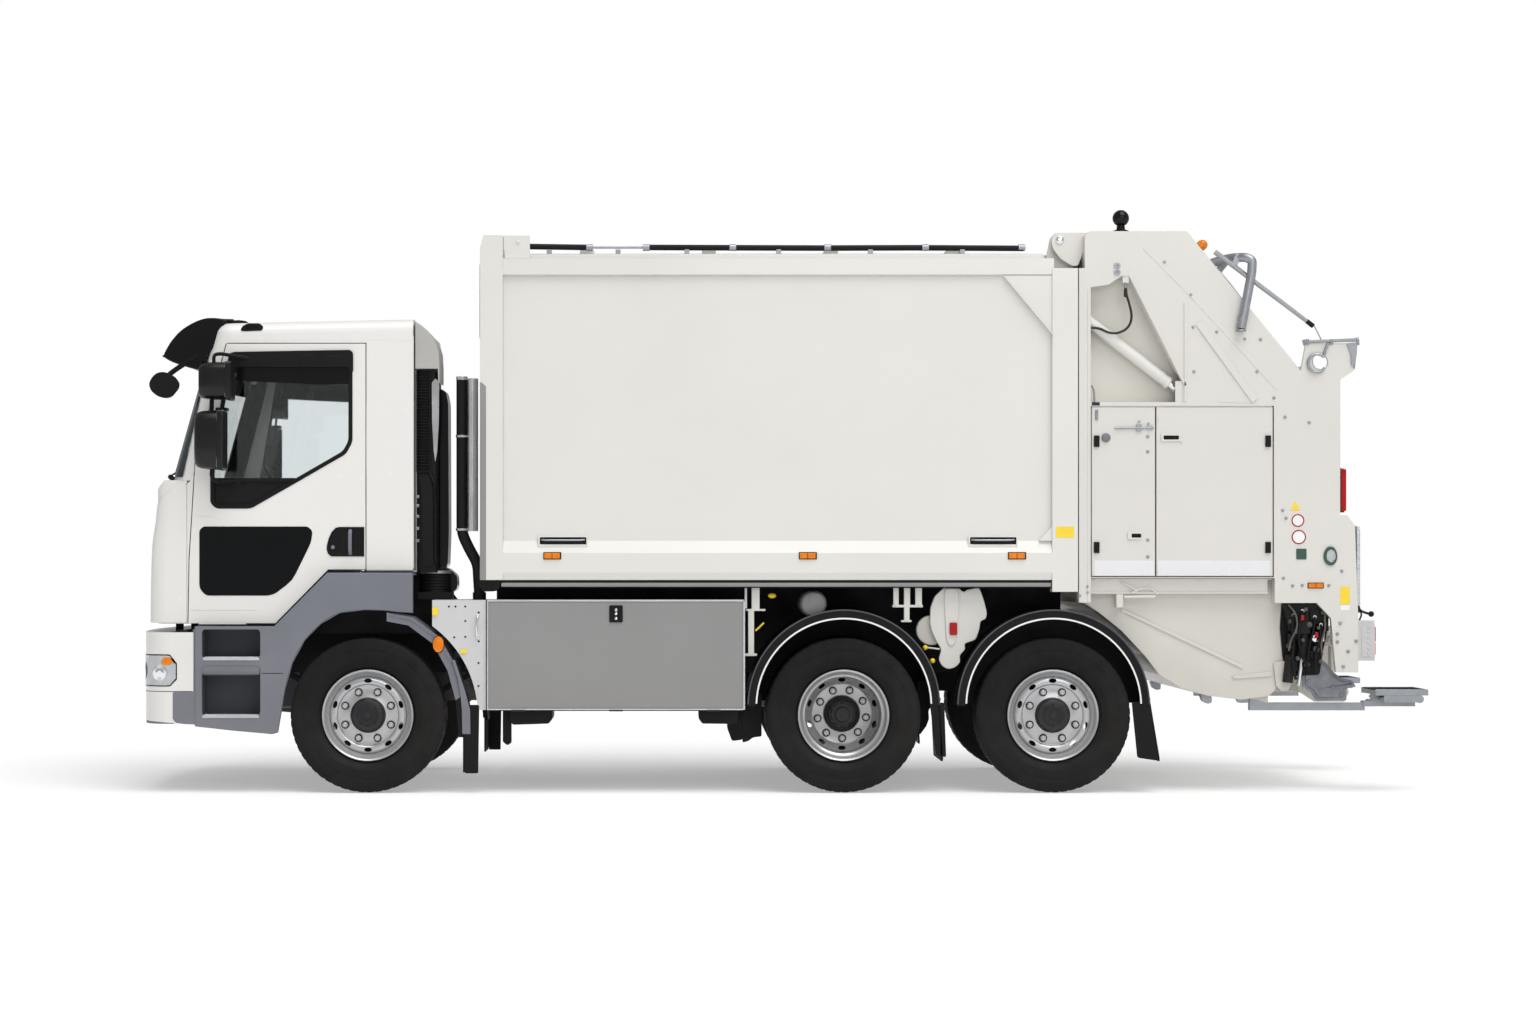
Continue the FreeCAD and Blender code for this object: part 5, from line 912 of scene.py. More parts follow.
p = Piece("screen_corner_bands", "cab", BAND, "window_glass")
for s in (-1, 1):
    rows = []
    for i in range(15):
        f = i / 14
        z = 2066 + 760 * f
        x0 = screen(1040, z)[0] + 110
        t1 = 66 - 34 * f
        ring = []
        for r, order in ((113.5, range(-3, 10)), (109.0, range(9, -4, -1))):
            for k in order:
                t = math.radians(t1 * max(k, 0) / 9)
                ring.append(p.bm.verts.new((x0 - r * math.cos(t) + (k * k * 0.6 if k < 0 else 0) * 0, s * (1040 + r * math.sin(t) + (12 * k if k < 0 else 0)), z)))
        rows.append(ring)
    m = len(rows[0])
    for a, b in zip(rows, rows[1:]):
        for k in range(m):
            p.bm.faces.new((a[k], b[k], b[(k + 1) % m], a[(k + 1) % m]))
    p.bm.faces.new(rows[0])
    p.bm.faces.new(rows[-1][::-1])
p.done(0.8, 2, 50)

# visor end caps, edge lip and stays
CAP = [(-4044, 2864), (-4026, 2902), (-3997, 2953), (-3957, 3003), (-3917, 3040), (-3879, 3065), (-3832, 3090), (-3790, 3106), (-3753, 3114), (-3700, 3115), (-3648, 3108), (-3634, 3076), (-3672, 2990), (-3711, 2911), (-3743, 2892), (-3776, 2822), (-3806, 2772), (-3850, 2780), (-3910, 2798), (-3970, 2818), (-4020, 2842)]
p = Piece("visor_end_caps", "cab", GLOSS_BLACK, "smoked_visor")
p.prism(soft(CAP, 22, 4), -1094, -1070)
p.both()
p.done(10, 4)
TOP = [(-4042, 2864), (-4024, 2902), (-3994, 2952), (-3954, 3001), (-3914, 3037), (-3877, 3062), (-3830, 3088), (-3790, 3104), (-3753, 3113), (-3700, 3114), (-3644, 3109), (-3584, 3108)]
p = Piece("sun_visor_shell", "cab", VISOR, "smoked_visor")
low = []
for i, q in enumerate(TOP):
    d = (Vector(TOP[min(i + 1, len(TOP) - 1)]) - Vector(TOP[max(i - 1, 0)])).normalized()
    low.append((q[0] + d.y * 10, q[1] - d.x * 10))
p.prism(TOP + low[::-1], -1076, 1076)
p.done(2.5, 3, 30, ("sun_visor",))
p = Piece("visor_edge_and_stays", "cab", BLACK, "black_plastic")
for y in (-1040, -520, 0, 520, 1040):
    z = 2905
    s = screen(y, 2905, 0)
    p.tube([(s[0] + 8, y, 2905), (-3905, y, 2916), (-3985, y, 2946)], 9, 20, 12)
    p.box(s[0] - 10, s[0] + 14, y - 24, y + 24, 2885, 2925)
p.tube([(-4043, -1080, 2864), (-4043, 1080, 2864)], 7, 1, 10)
p.done(2, 2)

# the front mirror below the visor
p = Piece("front_mirror_shell", "cab", BLACK, "black_plastic")
HEAD = [(-4138, 2680), (-4116, 2726), (-4080, 2756), (-4030, 2760), (-3966, 2728), (-3938, 2684), (-3944, 2650), (-3990, 2594), (-4030, 2586), (-4080, 2598), (-4124, 2636)]
p.prism(soft(HEAD, 34, 5), -1096, -1050)
p.prism(soft(grow(HEAD, -14), 26, 4), -1050, -1000)
p.tube([(-4030, -1072, 2722), (-3976, -1076, 2766), (-3900, -1082, 2816), (-3822, -1084, 2862)], 17, 40, 14)
p.done(5, 3)
p = Piece("front_mirror_glass", "cab", MIRROR, "bright_steel")
p.prism(soft(grow(HEAD, -18), 14, 4), -999, -996)
p.done(0.6, 1)


# ---- door mirrors: shells with bezels, glasses and bent arms
def mirror_head(piece, x0, x1, y0, y1, z0, z1):
    """Front shell drawn in towards the nose, in rounded sections from back to front."""
    bm = piece.bm
    rings = []
    for f, s in ((0.0, 1.0), (0.08, 1.0), (0.45, 0.985), (0.75, 0.93), (0.92, 0.83), (1.0, 0.66)):
        x = x1 + (x0 - x1) * f
        hy, hz = (y1 - y0) / 2 * s, (z1 - z0) / 2 * (1 - (1 - s) * 0.55)
        cy, cz = (y0 + y1) / 2, (z0 + z1) / 2
        ring = []
        n = 40
        for i in range(n):
            t = 2 * math.pi * i / n
            k = 3.6
            c, sn = math.cos(t), math.sin(t)
            r = (abs(c) ** k + abs(sn) ** k) ** (-1 / k)
            ring.append(bm.verts.new((x, cy + hy * r * c, cz + hz * r * sn)))
        rings.append(ring)
    for a, b in zip(rings, rings[1:]):
        for i in range(len(a)):
            j = (i + 1) % len(a)
            bm.faces.new((a[i], a[j], b[j], b[i]))
    bm.faces.new(rings[0][::-1])
    bm.faces.new(rings[-1])


for side, word in ((-1, "left"), (1, "right")):
    body = word + "_door_leaf"
    sg = lambda a, b: sorted((a * side, b * side))
    p = Piece(word + "_mirror_shells", body, MIRROR_BLACK, "black_plastic")
    mirror_head(p, -3761, -3582, *sg(1228, 1438), 2562, 2807)
    mirror_head(p, -3785, -3634, *sg(1228, 1466), 2108, 2494)
    p.done(1.5, 2, replaces=(word + "_mirrors",))
    p = Piece(word + "_mirror_bezels", body, MIRROR_BLACK, "black_plastic")
    for x, y0, y1, z0, z1 in ((-3549, 1226, 1440, 2560, 2809), (-3598, 1226, 1469, 2106, 2496)):
        a, b = sg(y0, y1)
        q = soft([(a, z0), (b, z0), (b, z1), (a, z1)], 26, 4)
        p.prism(q, x - 36, x, "YZ", [soft([(a + 9, z0 + 9), (b - 9, z0 + 9), (b - 9, z1 - 9), (a + 9, z1 - 9)], 20, 4)])
    p.done(2.5, 3)
    p = Piece(word + "_mirror_glasses", body, MIRROR, "bright_steel")
    for x, y0, y1, z0, z1 in ((-3549, 1226, 1440, 2560, 2809), (-3598, 1226, 1469, 2106, 2496)):
        a, b = sg(y0, y1)
        p.prism(soft([(a + 9.5, z0 + 9.5), (b - 9.5, z0 + 9.5), (b - 9.5, z1 - 9.5), (a + 9.5, z1 - 9.5)], 19, 4), x - 38, x - 32, "YZ")
    p.done(1, 2)
    p = Piece(word + "_mirror_arms", body, BLACK, "black_plastic")
    y_post, y_door = 1300 * side, 1151 * side
    p.tube([(-3676, y_post, 2800), (-3678, y_post, 2856), (-3640, y_post * 0.97, 2868), (-3560, (1200 * side), 2856), (-3470, y_door, 2846), (-3400, y_door, 2842)], 12, 36, 14)
    p.tube([(-3690, y_post, 2566), (-3692, y_post, 2490)], 15, 1, 14)
    p.tube([(-3618, y_post, 2566), (-3626, y_post, 2490)], 9, 1, 12)
    p.tube([(-3690, y_post, 2112), (-3692, y_post, 2060), (-3660, y_post * 0.98, 2034), (-3600, 1215 * side, 2030), (-3560, y_door, 2032)], 13, 34, 14)
    p.box(-3610, -3520, *sg(1149, 1165), 2010, 2056)
    p.box(-3660, -3585, *sg(1255, 1345), 2493, 2512)
    p.done(3, 2)

# ---- bumper: lamps, seams, steps of colour
def bumper_line(inset, y_from=0.0, x_back=-3826, n=14):
    """Plan of the bumper's left half from the front round the corner, moved in by inset."""
    r0 = 6391.3 - inset
    cx = 2141.3
    pts = []
    y_t = 1035 * r0 / (6391.3 - 190)
    for i in range(n + 1):
        y = y_from + (y_t - y_from) * i / n
        pts.append((cx - math.sqrt(r0 * r0 - y * y), -y))
    fx, fy, fr = cx - math.sqrt(6201.3 ** 2 - 1035 ** 2), 1035, 190 - inset
    a0 = math.degrees(math.atan2(y_t - fy, pts[-1][0] - fx))
    for i in range(1, n + 1):
        a = a0 + (90 - a0) * i / n
        pts.append((fx + fr * math.cos(math.radians(a)), -(fy + fr * math.sin(math.radians(a)))))
    if x_back > fx:
        pts.append((x_back, -(1225 - inset)))
    return pts


p = Piece("bumper_seam", "chassis", BLACK, "black_plastic")
p.prism(bumper_line(-0.7) + bumper_line(3)[::-1], 662, 666, "XY")
p.both()
p.done(0, 1)
p = Piece("bumper_lower_trim", "chassis", SLATE, "slate_plastic")
p.prism(soft([(-3956, 486), (-3956, 661), (-3810, 661), (-3810, 448), (-3890, 452), (-3938, 462)], 9, 3), -1229.5, -1222)
p.both()
p.done(2, 2)
p = Piece("bumper_lip", "chassis", SLATE, "slate_plastic")
p.prism(bumper_line(4, 0, -3950) + bumper_line(30, 0, -3950)[::-1], 452, 500, "XY")
p.both()
p.done(4, 2)
p = Piece("bumper_number_plate", "chassis", WHITE_LINE, "white_paint")
q = [(-4251 + 6391.3 - math.sqrt(6391.3 ** 2 - y * y), y) for y in [(-260 + 520 * i / 10) for i in range(11)]]
p.prism([(x - 1, y) for x, y in q] + [(x + 6, y) for x, y in q[::-1]], 520 + 110, 520 + 128, "XY")
p.done(0.5, 1)

p = Piece("bumper_grille_fins", "chassis", BLACK, "black_plastic")
for z in range(752, 960, 26):
    for y0, y1 in ((0, 176), (224, 272), (440, 556)):
        p.box(-4208, -4188, -y1, -y0, z, z + 5)
for y in list(range(20, 176, 26)) + [236, 256, 460, 490, 520, 545]:
    p.box(-4196, -4190, -y - 1.5, -y + 1.5, 742, 958)
p.both()
p.done(0, 1)

def lamp_loft(piece, inset, thick, z0, z1, x_front, x_back, y_from=806, rf=46, rb=62, slope=0.0):
    """A cover that follows the bumper's plan, with both ends rounded in height."""
    line = [q for q in bumper_line(inset, y_from, x_back, 40) if x_front <= q[0] <= x_back]
    back = [(bumper_line(inset + thick, y_from, x_back, 40)[i]) for i, q in enumerate(bumper_line(inset, y_from, x_back, 40)) if x_front <= q[0] <= x_back]
    run = [0.0]
    for a, b in zip(line, line[1:]):
        run.append(run[-1] + math.dist(a, b))
    total = run[-1]
    rows = []
    for (x, y), (u, v), d in zip(line, back, run):
        def cut_in(e, r):
            return r - math.sqrt(max(0.0, r * r - (r - e) ** 2)) if e < r else 0.0
        c = max(cut_in(d, rf), cut_in(total - d, rb))
        lo, hi = z0 + c * 0.75, z1 - c * 0.95 - slope * d
        rows.append([piece.bm.verts.new(q) for q in ((x, y, lo), (x, y, hi), (u, v, hi), (u, v, lo))])
    for a, b in zip(rows, rows[1:]):
        for k in range(4):
            piece.bm.faces.new((a[k], b[k], b[(k + 1) % 4], a[(k + 1) % 4]))
    piece.bm.faces.new(rows[0])
    piece.bm.faces.new(rows[-1][::-1])
    return piece


p = Piece("headlamp_lenses", "chassis", LENS, "window_glass")
lamp_loft(p, -3.5, 4.5, 703, 899, -4235, -3936)
p.both()
p.done(1.0, 2)
p = Piece("headlamp_rims", "chassis", GLOSS_BLACK, "black_plastic")
lamp_loft(p, -1.6, 2.2, 696, 906, -4240, -3929)
p.both()
p.done(0.8, 2)
p = Piece("headlamp_bodies", "chassis", LIGHT_GREY, "bright_steel")
lamp_loft(p, -2.2, 1.6, 706, 896, -4232, -3940)
p.both()
p.done(0.6, 1)
p = Piece("headlamp_reflectors", "chassis", CHROME, "bright_steel")
for frac, r, z in ((0.18, 60, 800), (0.47, 64, 802), (0.80, 52, 786)):
    line = [q for q in bumper_line(-2.6, 806, -3936, 40) if q[0] <= -3936]
    run = [0.0]
    for a, b in zip(line, line[1:]):
        run.append(run[-1] + math.dist(a, b))
    k = min(range(len(run)), key=lambda i: abs(run[i] - frac * run[-1]))
    a, b = Vector(line[max(0, k - 3)]), Vector(line[min(len(line) - 1, k + 3)])
    t = (b - a).normalized()
    nx = Vector((t.y, -t.x))
    if nx.x > 0:
        nx = -nx
    c = Vector(line[k])
    for rr, deep in ((r, 0.2), (r * 0.62, 1.0), (r * 0.3, 1.9)):
        ring = []
        m = 30
        for i in range(m):
            u = 2 * math.pi * i / m
            q = c + t * (rr * math.cos(u))
            ring.append((q.x, q.y, z + rr * math.sin(u)))
        lo = [p.bm.verts.new((a3[0], a3[1], a3[2])) for a3 in ring]
        hi = [p.bm.verts.new((a3[0] + nx.x * deep, a3[1] + nx.y * deep, z + (a3[2] - z) * 0.86)) for a3 in ring]
        for i in range(m):
            j = (i + 1) % m
            p.bm.faces.new((lo[i], lo[j], hi[j], hi[i]))
        p.bm.faces.new(lo[::-1])
        p.bm.faces.new(hi)
p.both()
p.done(0, 1, 30)
p = Piece("headlamp_indicators", "chassis", AMBER, "smoked_visor")
lamp_loft(p, -4.4, 1.2, 836, 888, -4036, -3946, 806, 34, 44)
p.both()
p.done(0.5, 1)
p = Piece("bumper_end_flange", "chassis", SLATE, "slate_plastic")
p.box(-3826, -3808, -1224, -1180, 452, 1070)
p.both()
p.done(3, 2)

# ---- steps: treads, noses, seams
p = Piece("step_tread_edges", "chassis", ALU, "tread_alu")
for x0, x1, z in ((-3758, -3392, 884), (-3762, -3392, 507)):
    p.box(x0, x1, -1238, -1222, z - 16, z)
    p.box(x0, x1, -1228, -1080, z - 2, z + 2)
    k = 0
    for x in range(int(x0) + 12, int(x1) - 6, 20):
        for j, y in enumerate((-1220, -1202, -1184, -1166, -1148)):
            xx = x + (10 if j % 2 else 0)
            p.cyl((xx, y, z + 1), (xx, y, z + 7), 5.5, 8, 3.4)
p.both()
p.done(0.8, 1)
p = Piece("step_noses", "chassis", SLATE, "slate_plastic")
p.prism(soft([(-1150, 858), (-1229, 858), (-1230, 800), (-1222, 776), (-1190, 768), (-1150, 772)], 10, 3), -3802, -3388, "YZ")
p.prism(soft([(-1150, 481), (-1229, 481), (-1229, 452), (-1214, 440), (-1150, 440)], 8, 3), -3802, -3388, "YZ")
p.both()
p.done(6, 3)
p = Piece("step_seams", "chassis", BLACK, "black_plastic")
p.box(-3374, -3236, -1234.8, -1233, 781, 785)
p.both()
p.done(0, 1)
OUTLINE = [(-3812, 1088), (-3296, 1088), (-2950, 1438), (-2391, 1438), (-2391, 1178), (-2482, 1182), (-2572, 1193), (-2640, 1197), (-2700, 1197), (-2790, 1190), (-2866, 1177), (-2932, 1148), (-2990, 1106), (-3046, 1056), (-3094, 1001), (-3140, 930),
           (-3175, 851), (-3206, 760), (-3225, 673), (-3248, 540), (-3268, 400), (-3312, 386), (-3560, 408), (-3812, 436)]
p = Piece("step_moulding", "chassis", SLATE, "slate_plastic")
p.prism(OUTLINE, -1234, -1221, "XZ", [soft([(-3766, 881), (-3386, 881), (-3386, 1069), (-3766, 1069)], 30, 5), soft([(-3766, 503), (-3386, 503), (-3386, 831), (-3766, 831)], 34, 5)])
p.both()
p.done(8, 4, 28)
p = Piece("cab_lower_seal", "cab", BLACK, "black_plastic")
p.prism([(-3806, 1094), (-3290, 1094), (-2944, 1444), (-2395, 1444), (-2395, 1451), (-2948, 1451), (-3294, 1102), (-3806, 1102)], -1148, -1120)
p.both()
p.done(0, 1)
p = Piece("front_arch_liner", "chassis", BLACK, "black_plastic")
p.prism([(-3288, 1034), (-3288, 1064), (-2938, 1416), (-2391, 1416), (-2260, 1250), (-2120, 1040), (-2110, 1034)], -898, -890)
p.both()
p.done(0, 1)

# front mudguard marker, rear mudguard lines, flap holders
p = Piece("guard_side_markers", "chassis", AMBER, "smoked_visor")
q = [(-2222 + 35 * math.cos(t * math.pi / 16), 972 + 52 * math.sin(t * math.pi / 16)) for t in range(32)]
p.prism(q, -1239, -1228)
p.prism([(-2222 + 22 * math.cos(t * math.pi / 16), 972 + 36 * math.sin(t * math.pi / 16)) for t in range(32)], -1242, -1238)
p.both()
p.done(4, 3)
p = Piece("guard_side_marker_bases", "chassis", BLACK, "black_plastic")
p.prism([(-2222 + 40 * math.cos(t * math.pi / 16), 972 + 57 * math.sin(t * math.pi / 16)) for t in range(32)], -1230, -1223)
p.both()
p.done(2, 2)
p = Piece("front_guard_folds", "chassis", SLATE, "slate_plastic")
FO = [(-2545, 1170), (-2398, 1139), (-2222, 1010), (-2119, 826), (-2066, 620), (-2044, 372)]
FI = [(-2545, 1160), (-2403, 1129), (-2230, 1003), (-2129, 822), (-2076, 618), (-2054, 372)]
p.prism(FO + FI[::-1], -1229, -1223)
p.both()
p.done(2, 2)
p = Piece("front_guard_tails", "chassis", SLATE, "slate_plastic")
p.prism([(-2135, 870), (-2094, 739), (-2078, 640), (-2069, 543), (-2066, 386), (-2012, 386), (-2014, 543), (-2049, 673), (-2114, 870)], -1240, -1226)
p.both()
p.done(3, 2)
p = Piece("axle_brackets", "chassis", BLACK, "black_plastic")
p.prism(soft([(-230, 640), (-103, 640), (-103, 352), (-160, 345), (-190, 322), (-230, 310)], 10, 3), -905, -860)
p.prism(soft([(930, 720), (1030, 720), (1024, 560), (1004, 520), (1008, 470), (990, 420), (950, 366), (930, 360)], 10, 3), -905, -880)
p.both()
p.done(4, 2)
p = Piece("rear_guard_lines", "chassis", WHITE_LINE, "white_paint")
p2 = Piece("rear_guard_outer_beads", "chassis", DARK_SLATE, "slate_plastic")
for x in (424, 1793):
    p.prism(arc(x, 570, 576, 1.5, 178.5, 48) + arc(x, 570, 565, 1.5, 178.5, 48)[::-1], -1244, -1236)
    p2.prism(arc(x, 570, 630, 1.0, 179.0, 48) + arc(x, 570, 620, 1.0, 179.0, 48)[::-1], -1245, -1238)
p.both()
p.done(2, 2)
p2.both()
p2.done(3, 3)
p = Piece("guard_inner_liners", "chassis", BLACK, "black_plastic")
for x, y0 in ((1793, -914), (424, -604)):
    p.prism(arc(x, 570, 614, 0.5, 179.5, 40), y0, y0 + 5)
p.both()
p.done(1, 1)
p = Piece("mudflap_sides", "chassis", BLACK, "black_plastic")
p.prism(soft([(2303, 596), (2415, 596), (2482, 211), (2340, 232)], 14, 3), -1236, -1222)
p.prism(soft([(984, 592), (1080, 592), (1092, 235), (1030, 248)], 12, 3), -1236, -1222)
p.prism(soft([(-2060, 577), (-1955, 577), (-1962, 130), (-2048, 130)], 10, 3), -1236, -1222)
p.both()
p.done(3, 2)
p = Piece("mudflap_ribs", "chassis", BLACK, "black_plastic")
for xe, sh in ((1053, 20), (2422, 66)):
    for k in range(9):
        y = -1220 + k * 34
        p.prism([(xe - 3.5, 630), (xe - 0.5, 630), (xe + 1.5 + sh, 220), (xe - 1.5 + sh, 220)], y, y + 12)
    for y in (-1215, -1120, -1025):
        p.cyl((xe - 4, y, 612), (xe + 5, y, 612), 9, 12)
for k in range(8):
    p.box(-2051, -2047, -1215 + k * 38, -1200 + k * 38, 150, 620)
p.both()
p.done(1, 1)

# ---- lockers on the left
Y1 = -1245
p = Piece("locker_rivets", "chassis", DARK_STEEL, "black_steel")
for x, z in ((-2152, 1219), (-2046, 1219), (-2046, 1124), (-2046, 1021), (-2118, 1018), (-2040, 819), (-2032, 717), (-2014, 607), (-1958, 1180), (-1958, 992), (-2110, 1219), (-1960, 700), (-1960, 850)):
    p.lathe([(0, 0), (7, 0), (6.5, 2), (4, 3.6), (0, 4.2)], (x, -1235, z), "y", 14)
for v in p.bm.verts:
    v.co.y = -1235 - abs(v.co.y + 1235)
p.done(0, 1)
p = Piece("locker_handle", "chassis", CHROME, "bright_steel")
p.tube([(-1966, -1236, 1156), (-1966, -1262, 1152), (-1972, -1264, 1090), (-1966, -1262, 1024), (-1966, -1236, 1020)], 6.5, 14, 12)
p.box(-1978, -1952, -1240, -1234, 1146, 1168)
p.box(-1978, -1952, -1240, -1234, 1008, 1030)
p.done(1.5, 2)
p = Piece("locker_yellow_clips", "chassis", YELLOW, "white_paint")
p.prism(soft([(-2262, 1160), (-2262, 1212), (-2226, 1212), (-2218, 1190), (-2230, 1160)], 6, 2), -1246, -1234)
p.prism(soft([(-2076, 912), (-2076, 940), (-2034, 940), (-2034, 912)], 6, 2), -1244, -1234)
p.done(2, 2)
p = Piece("locker_panel_frame", "chassis", BRUSHED, "bright_steel")
p.box(-1904, -222, -1250, -1240, 1252, 1263)
p.box(-232, -221, -1250, -1240, 546, 1262)
p.box(-1904, -1896, -1248.5, -1242, 548, 1254)
p.box(-1904, -232, -1248.5, -1242, 544, 551)
p.done(1.2, 2)
p = Piece("locker_panel_seams", "chassis", BLACK, "black_plastic")
p.box(-1909, -1903, -1247, -1236, 544, 1262)
p.box(-1904, -222, -1247, -1240, 538, 545)
p.done(0, 1)
p = Piece("locker_panel_flat", "chassis", GREY, "grey_paint")
q = [(-1890, 558), (-238, 558), (-238, 1246), (-1890, 1246)]
p.prism(q, -1247.4, -1244.5)
p.done(1.0, 2)
p = Piece("locker_lock_plate", "chassis", GLOSS_BLACK, "black_plastic")
p.prism(soft([(-1106, 1116), (-1018, 1116), (-1018, 1227), (-1106, 1227)], 9, 3), -1256, -1246)
p.done(2.5, 2)
p = Piece("locker_lock_studs", "chassis", CHROME, "bright_steel")
for z in (1197, 1172, 1141):
    p.lathe([(0, 0), (9, 0), (9, 3), (6, 5), (0, 5)], (-1062, -1256, z), "y", 18)
for v in p.bm.verts:
    v.co.y = -1256 - abs(v.co.y + 1256)
p.box(-1066, -1058, -1264, -1256, 1186, 1208)
p.done(0.6, 1)
p = Piece("locker_hinges", "chassis", DARK_STEEL, "black_steel")
for x in (-1700, -1062, -424):
    p.cyl((x - 45, -1249, 541), (x + 45, -1249, 541), 6, 14)
p.done(0.6, 1)
p = Piece("under_locker_mounts", "chassis", BLACK, "black_plastic")
p.prism(soft([(-1762, 545), (-1480, 545), (-1480, 486), (-1502, 452), (-1738, 444), (-1762, 470)], 12, 3), -1190, -860)
p.prism(soft([(-524, 545), (-262, 545), (-262, 470), (-300, 450), (-500, 452), (-524, 486)], 12, 3), -1190, -860)
p.prism(soft([(-326, 540), (-196, 540), (-196, 400), (-228, 330), (-300, 320), (-330, 400)], 14, 3), -900, -640)
p.prism(soft([(-1808, 545), (-1752, 545), (-1752, 322), (-1778, 306), (-1808, 330)], 8, 2), -1130, -1070)
p.done(5, 2)
p = Piece("battery_box_lid", "chassis", BLACK, "black_plastic")
p.box(-866, -554, 1180, 1206, 1094, 1108)
for k in range(5):
    p.box(-840 + k * 56, -812 + k * 56, 1200, 1206, 640, 1060)
p.done(3, 2)
p = Piece("tank_fittings", "chassis", CHROME, "bright_steel")
p.lathe([(0, 0), (46, 0), (46, 24), (40, 34), (0, 34)], (-1200, 1010, 1158), "z", 28)
for x in (-1880, -1440, -1000):
    p.box(x - 14, x + 14, 1212, 1219, 600, 1120)
p.done(2, 2)

# ---- behind the cab: intake hood in a darker grey that is painted shade, louvres, bright strip, second duct
p = Piece("intake_hood", "chassis", INTAKE_HOOD_SHADE_GREY, "grey_paint")
p.prism([(-2387, 3090), (-2360, 3078), (-2333, 3057), (-2298, 3020), (-2267, 2977), (-2244, 2935), (-2230, 2885), (-2226, 2800), (-2226, 2690), (-2236, 2690), (-2238, 2780), (-2387, 2780)], -1085, -735)
p.done(8, 3)
p = Piece("intake_louvres", "chassis", BLACK, "black_plastic")
for k in range(34):
    z = 2115 + k * 19.2
    p.prism([(-1060, z), (-1074, z - 5), (-1074, z - 1), (-1060, z + 6)], -2374, -2296, "YZ")
p.box(-2380, -2374, -1078, -1058, 2104, 2772)
p.box(-2296, -2288, -1078, -1058, 2104, 2772)
p.box(-2380, -2288, -1078, -1058, 2768, 2776)
p.box(-2380, -2288, -1078, -1058, 2098, 2106)
p.prism(soft([(-2372, 2090), (-2296, 2090), (-2270, 2000), (-2270, 1480), (-2340, 1480), (-2350, 2000)], 18, 3), -1068, -1058)
p.done(1.5, 2)
p = Piece("intake_rib", "chassis", GLOSS_BLACK, "black_plastic")
p.tube([(-2292, -1068, 2100), (-2262, -1070, 2030), (-2256, -1070, 1900), (-2252, -1068, 1500)], 9, 30, 10)
p.prism(soft([(-2236, 2660), (-2196, 2640), (-2180, 2560), (-2176, 1700), (-2184, 1480), (-2236, 1460)], 20, 3), -940, -700)
p.prism(soft([(-2250, 1480), (-2180, 1470), (-2120, 1420), (-2118, 1330), (-2180, 1290), (-2250, 1290)], 24, 3), -960, -760)
p.done(5, 3)
p = Piece("intake_bright_strip", "chassis", SHIELD, "bright_steel")
p.prism(soft([(-2279, 2690), (-2254, 2718), (-2230, 2690), (-2232, 2420), (-2244, 2230), (-2256, 2166), (-2266, 2240), (-2277, 2440)], 9, 3), -1069, -1059)
p.done(3, 3)
p = Piece("intake_clips", "chassis", GALV, "bright_steel")
for z in (1930, 1870, 1800, 1720, 1640):
    p.box(-2384, -2362, -1066, -1058, z, z + 20)
    p.cyl((-2372, -1070, z + 10), (-2372, -1062, z + 10), 6, 12)
p.lathe([(100, 0), (112, 4), (112, 20), (100, 24)], (-2262, -930, 1430), "z", 40)
p.done(1, 1)
p = Piece("intake_bellows", "chassis", BLACK, "black_plastic")
prof = []
for k in range(9):
    z = 6 + k * 19
    prof += [(104, z), (113, z + 6), (104, z + 12)]
p.lathe([(96, 2)] + prof + [(96, 176)], (-2262, -930, 1264), "z", 44, True)
p.done(0, 1, 60)
p = Piece("exhaust_pipe", "chassis", BLACK, "black_steel")
p.tube([(-2082, -1050, 2728), (-2082, -1050, 1700), (-2030, -1050, 1590), (-1978, -1050, 1500), (-1966, -1050, 1300)], 36, 90, 32)
p.tube([(-1966, -1050, 1310), (-1966, -1050, 1120), (-1966, -900, 1080), (-1966, -700, 1080)], 44, 80, 28)
p.done(1, 1, replaces=("exhaust_stack",))
p = Piece("exhaust_outlet", "chassis", CHROME, "bright_steel")
p.lathe([(29, 0), (37.5, 0), (37.5, 22), (33, 23), (29, 10)], (-2082, -1050, 2708), "z", 40, True)
for z in (1716, 2330):
    p.lathe([(36.5, 0), (40, 0), (40, 14), (36.5, 14)], (-2082, -1050, z), "z", 36, True)
p.done(0.8, 1)
p = Piece("exhaust_shield", "chassis", SHIELD, "bright_steel")
n = 16
o = [(-2010 + 37 * math.cos(math.pi + math.pi * i / n), -1066 + 52 * math.sin(math.pi + math.pi * i / n)) for i in range(n + 1)]
q = [(-2010 + 34.5 * math.cos(math.pi + math.pi * i / n), -1066 + 49.5 * math.sin(math.pi + math.pi * i / n)) for i in range(n + 1)]
p.prism(o + q[::-1], 1712, 2716, "XY")
for z in (1800, 2200, 2620):
    p.box(-2046, -1975, -1066, -1058, z, z + 30)
p.box(-2060, -2010, -1060, -1036, 2200, 2228)
p.done(1, 2, 50)

# ================================================================ body
# grey strips on the front posts: painted shade, the post's face in shadow
p = Piece("body_corner_painted_shade_strips", "chassis", GREY, "grey_paint")
p.prism([(-1950, 1394), (-1910, 1394), (-1910, 2655), (-1934, 2676), (-1950, 2684)], -1253, -1249)
p.both()
p.done(1.2, 2)
p = Piece("body_under_rails", "chassis", GREY, "grey_paint")
p.prism([(-1190, 1374), (-1231, 1374), (-1234, 1371), (-1234, 1352), (-1231, 1348), (-1190, 1348)], -1812, 1778, "YZ")
p.both()
p.done(2, 2)
# black band above the grey rail: painted shade in the gap under the body
p = Piece("body_under_painted_shade", "chassis", BLACK, "black_plastic")
p.box(-1812, 1778, -1231.2, -1190, 1375, 1391)
p.both()
p.done(0, 1)
p = Piece("body_corner_mounts", "chassis", BLACK, "black_plastic")
p.prism(soft([(-1960, 1392), (-1818, 1392), (-1822, 1340), (-1850, 1318), (-1930, 1316), (-1962, 1360)], 12, 3), -1235, -1130)
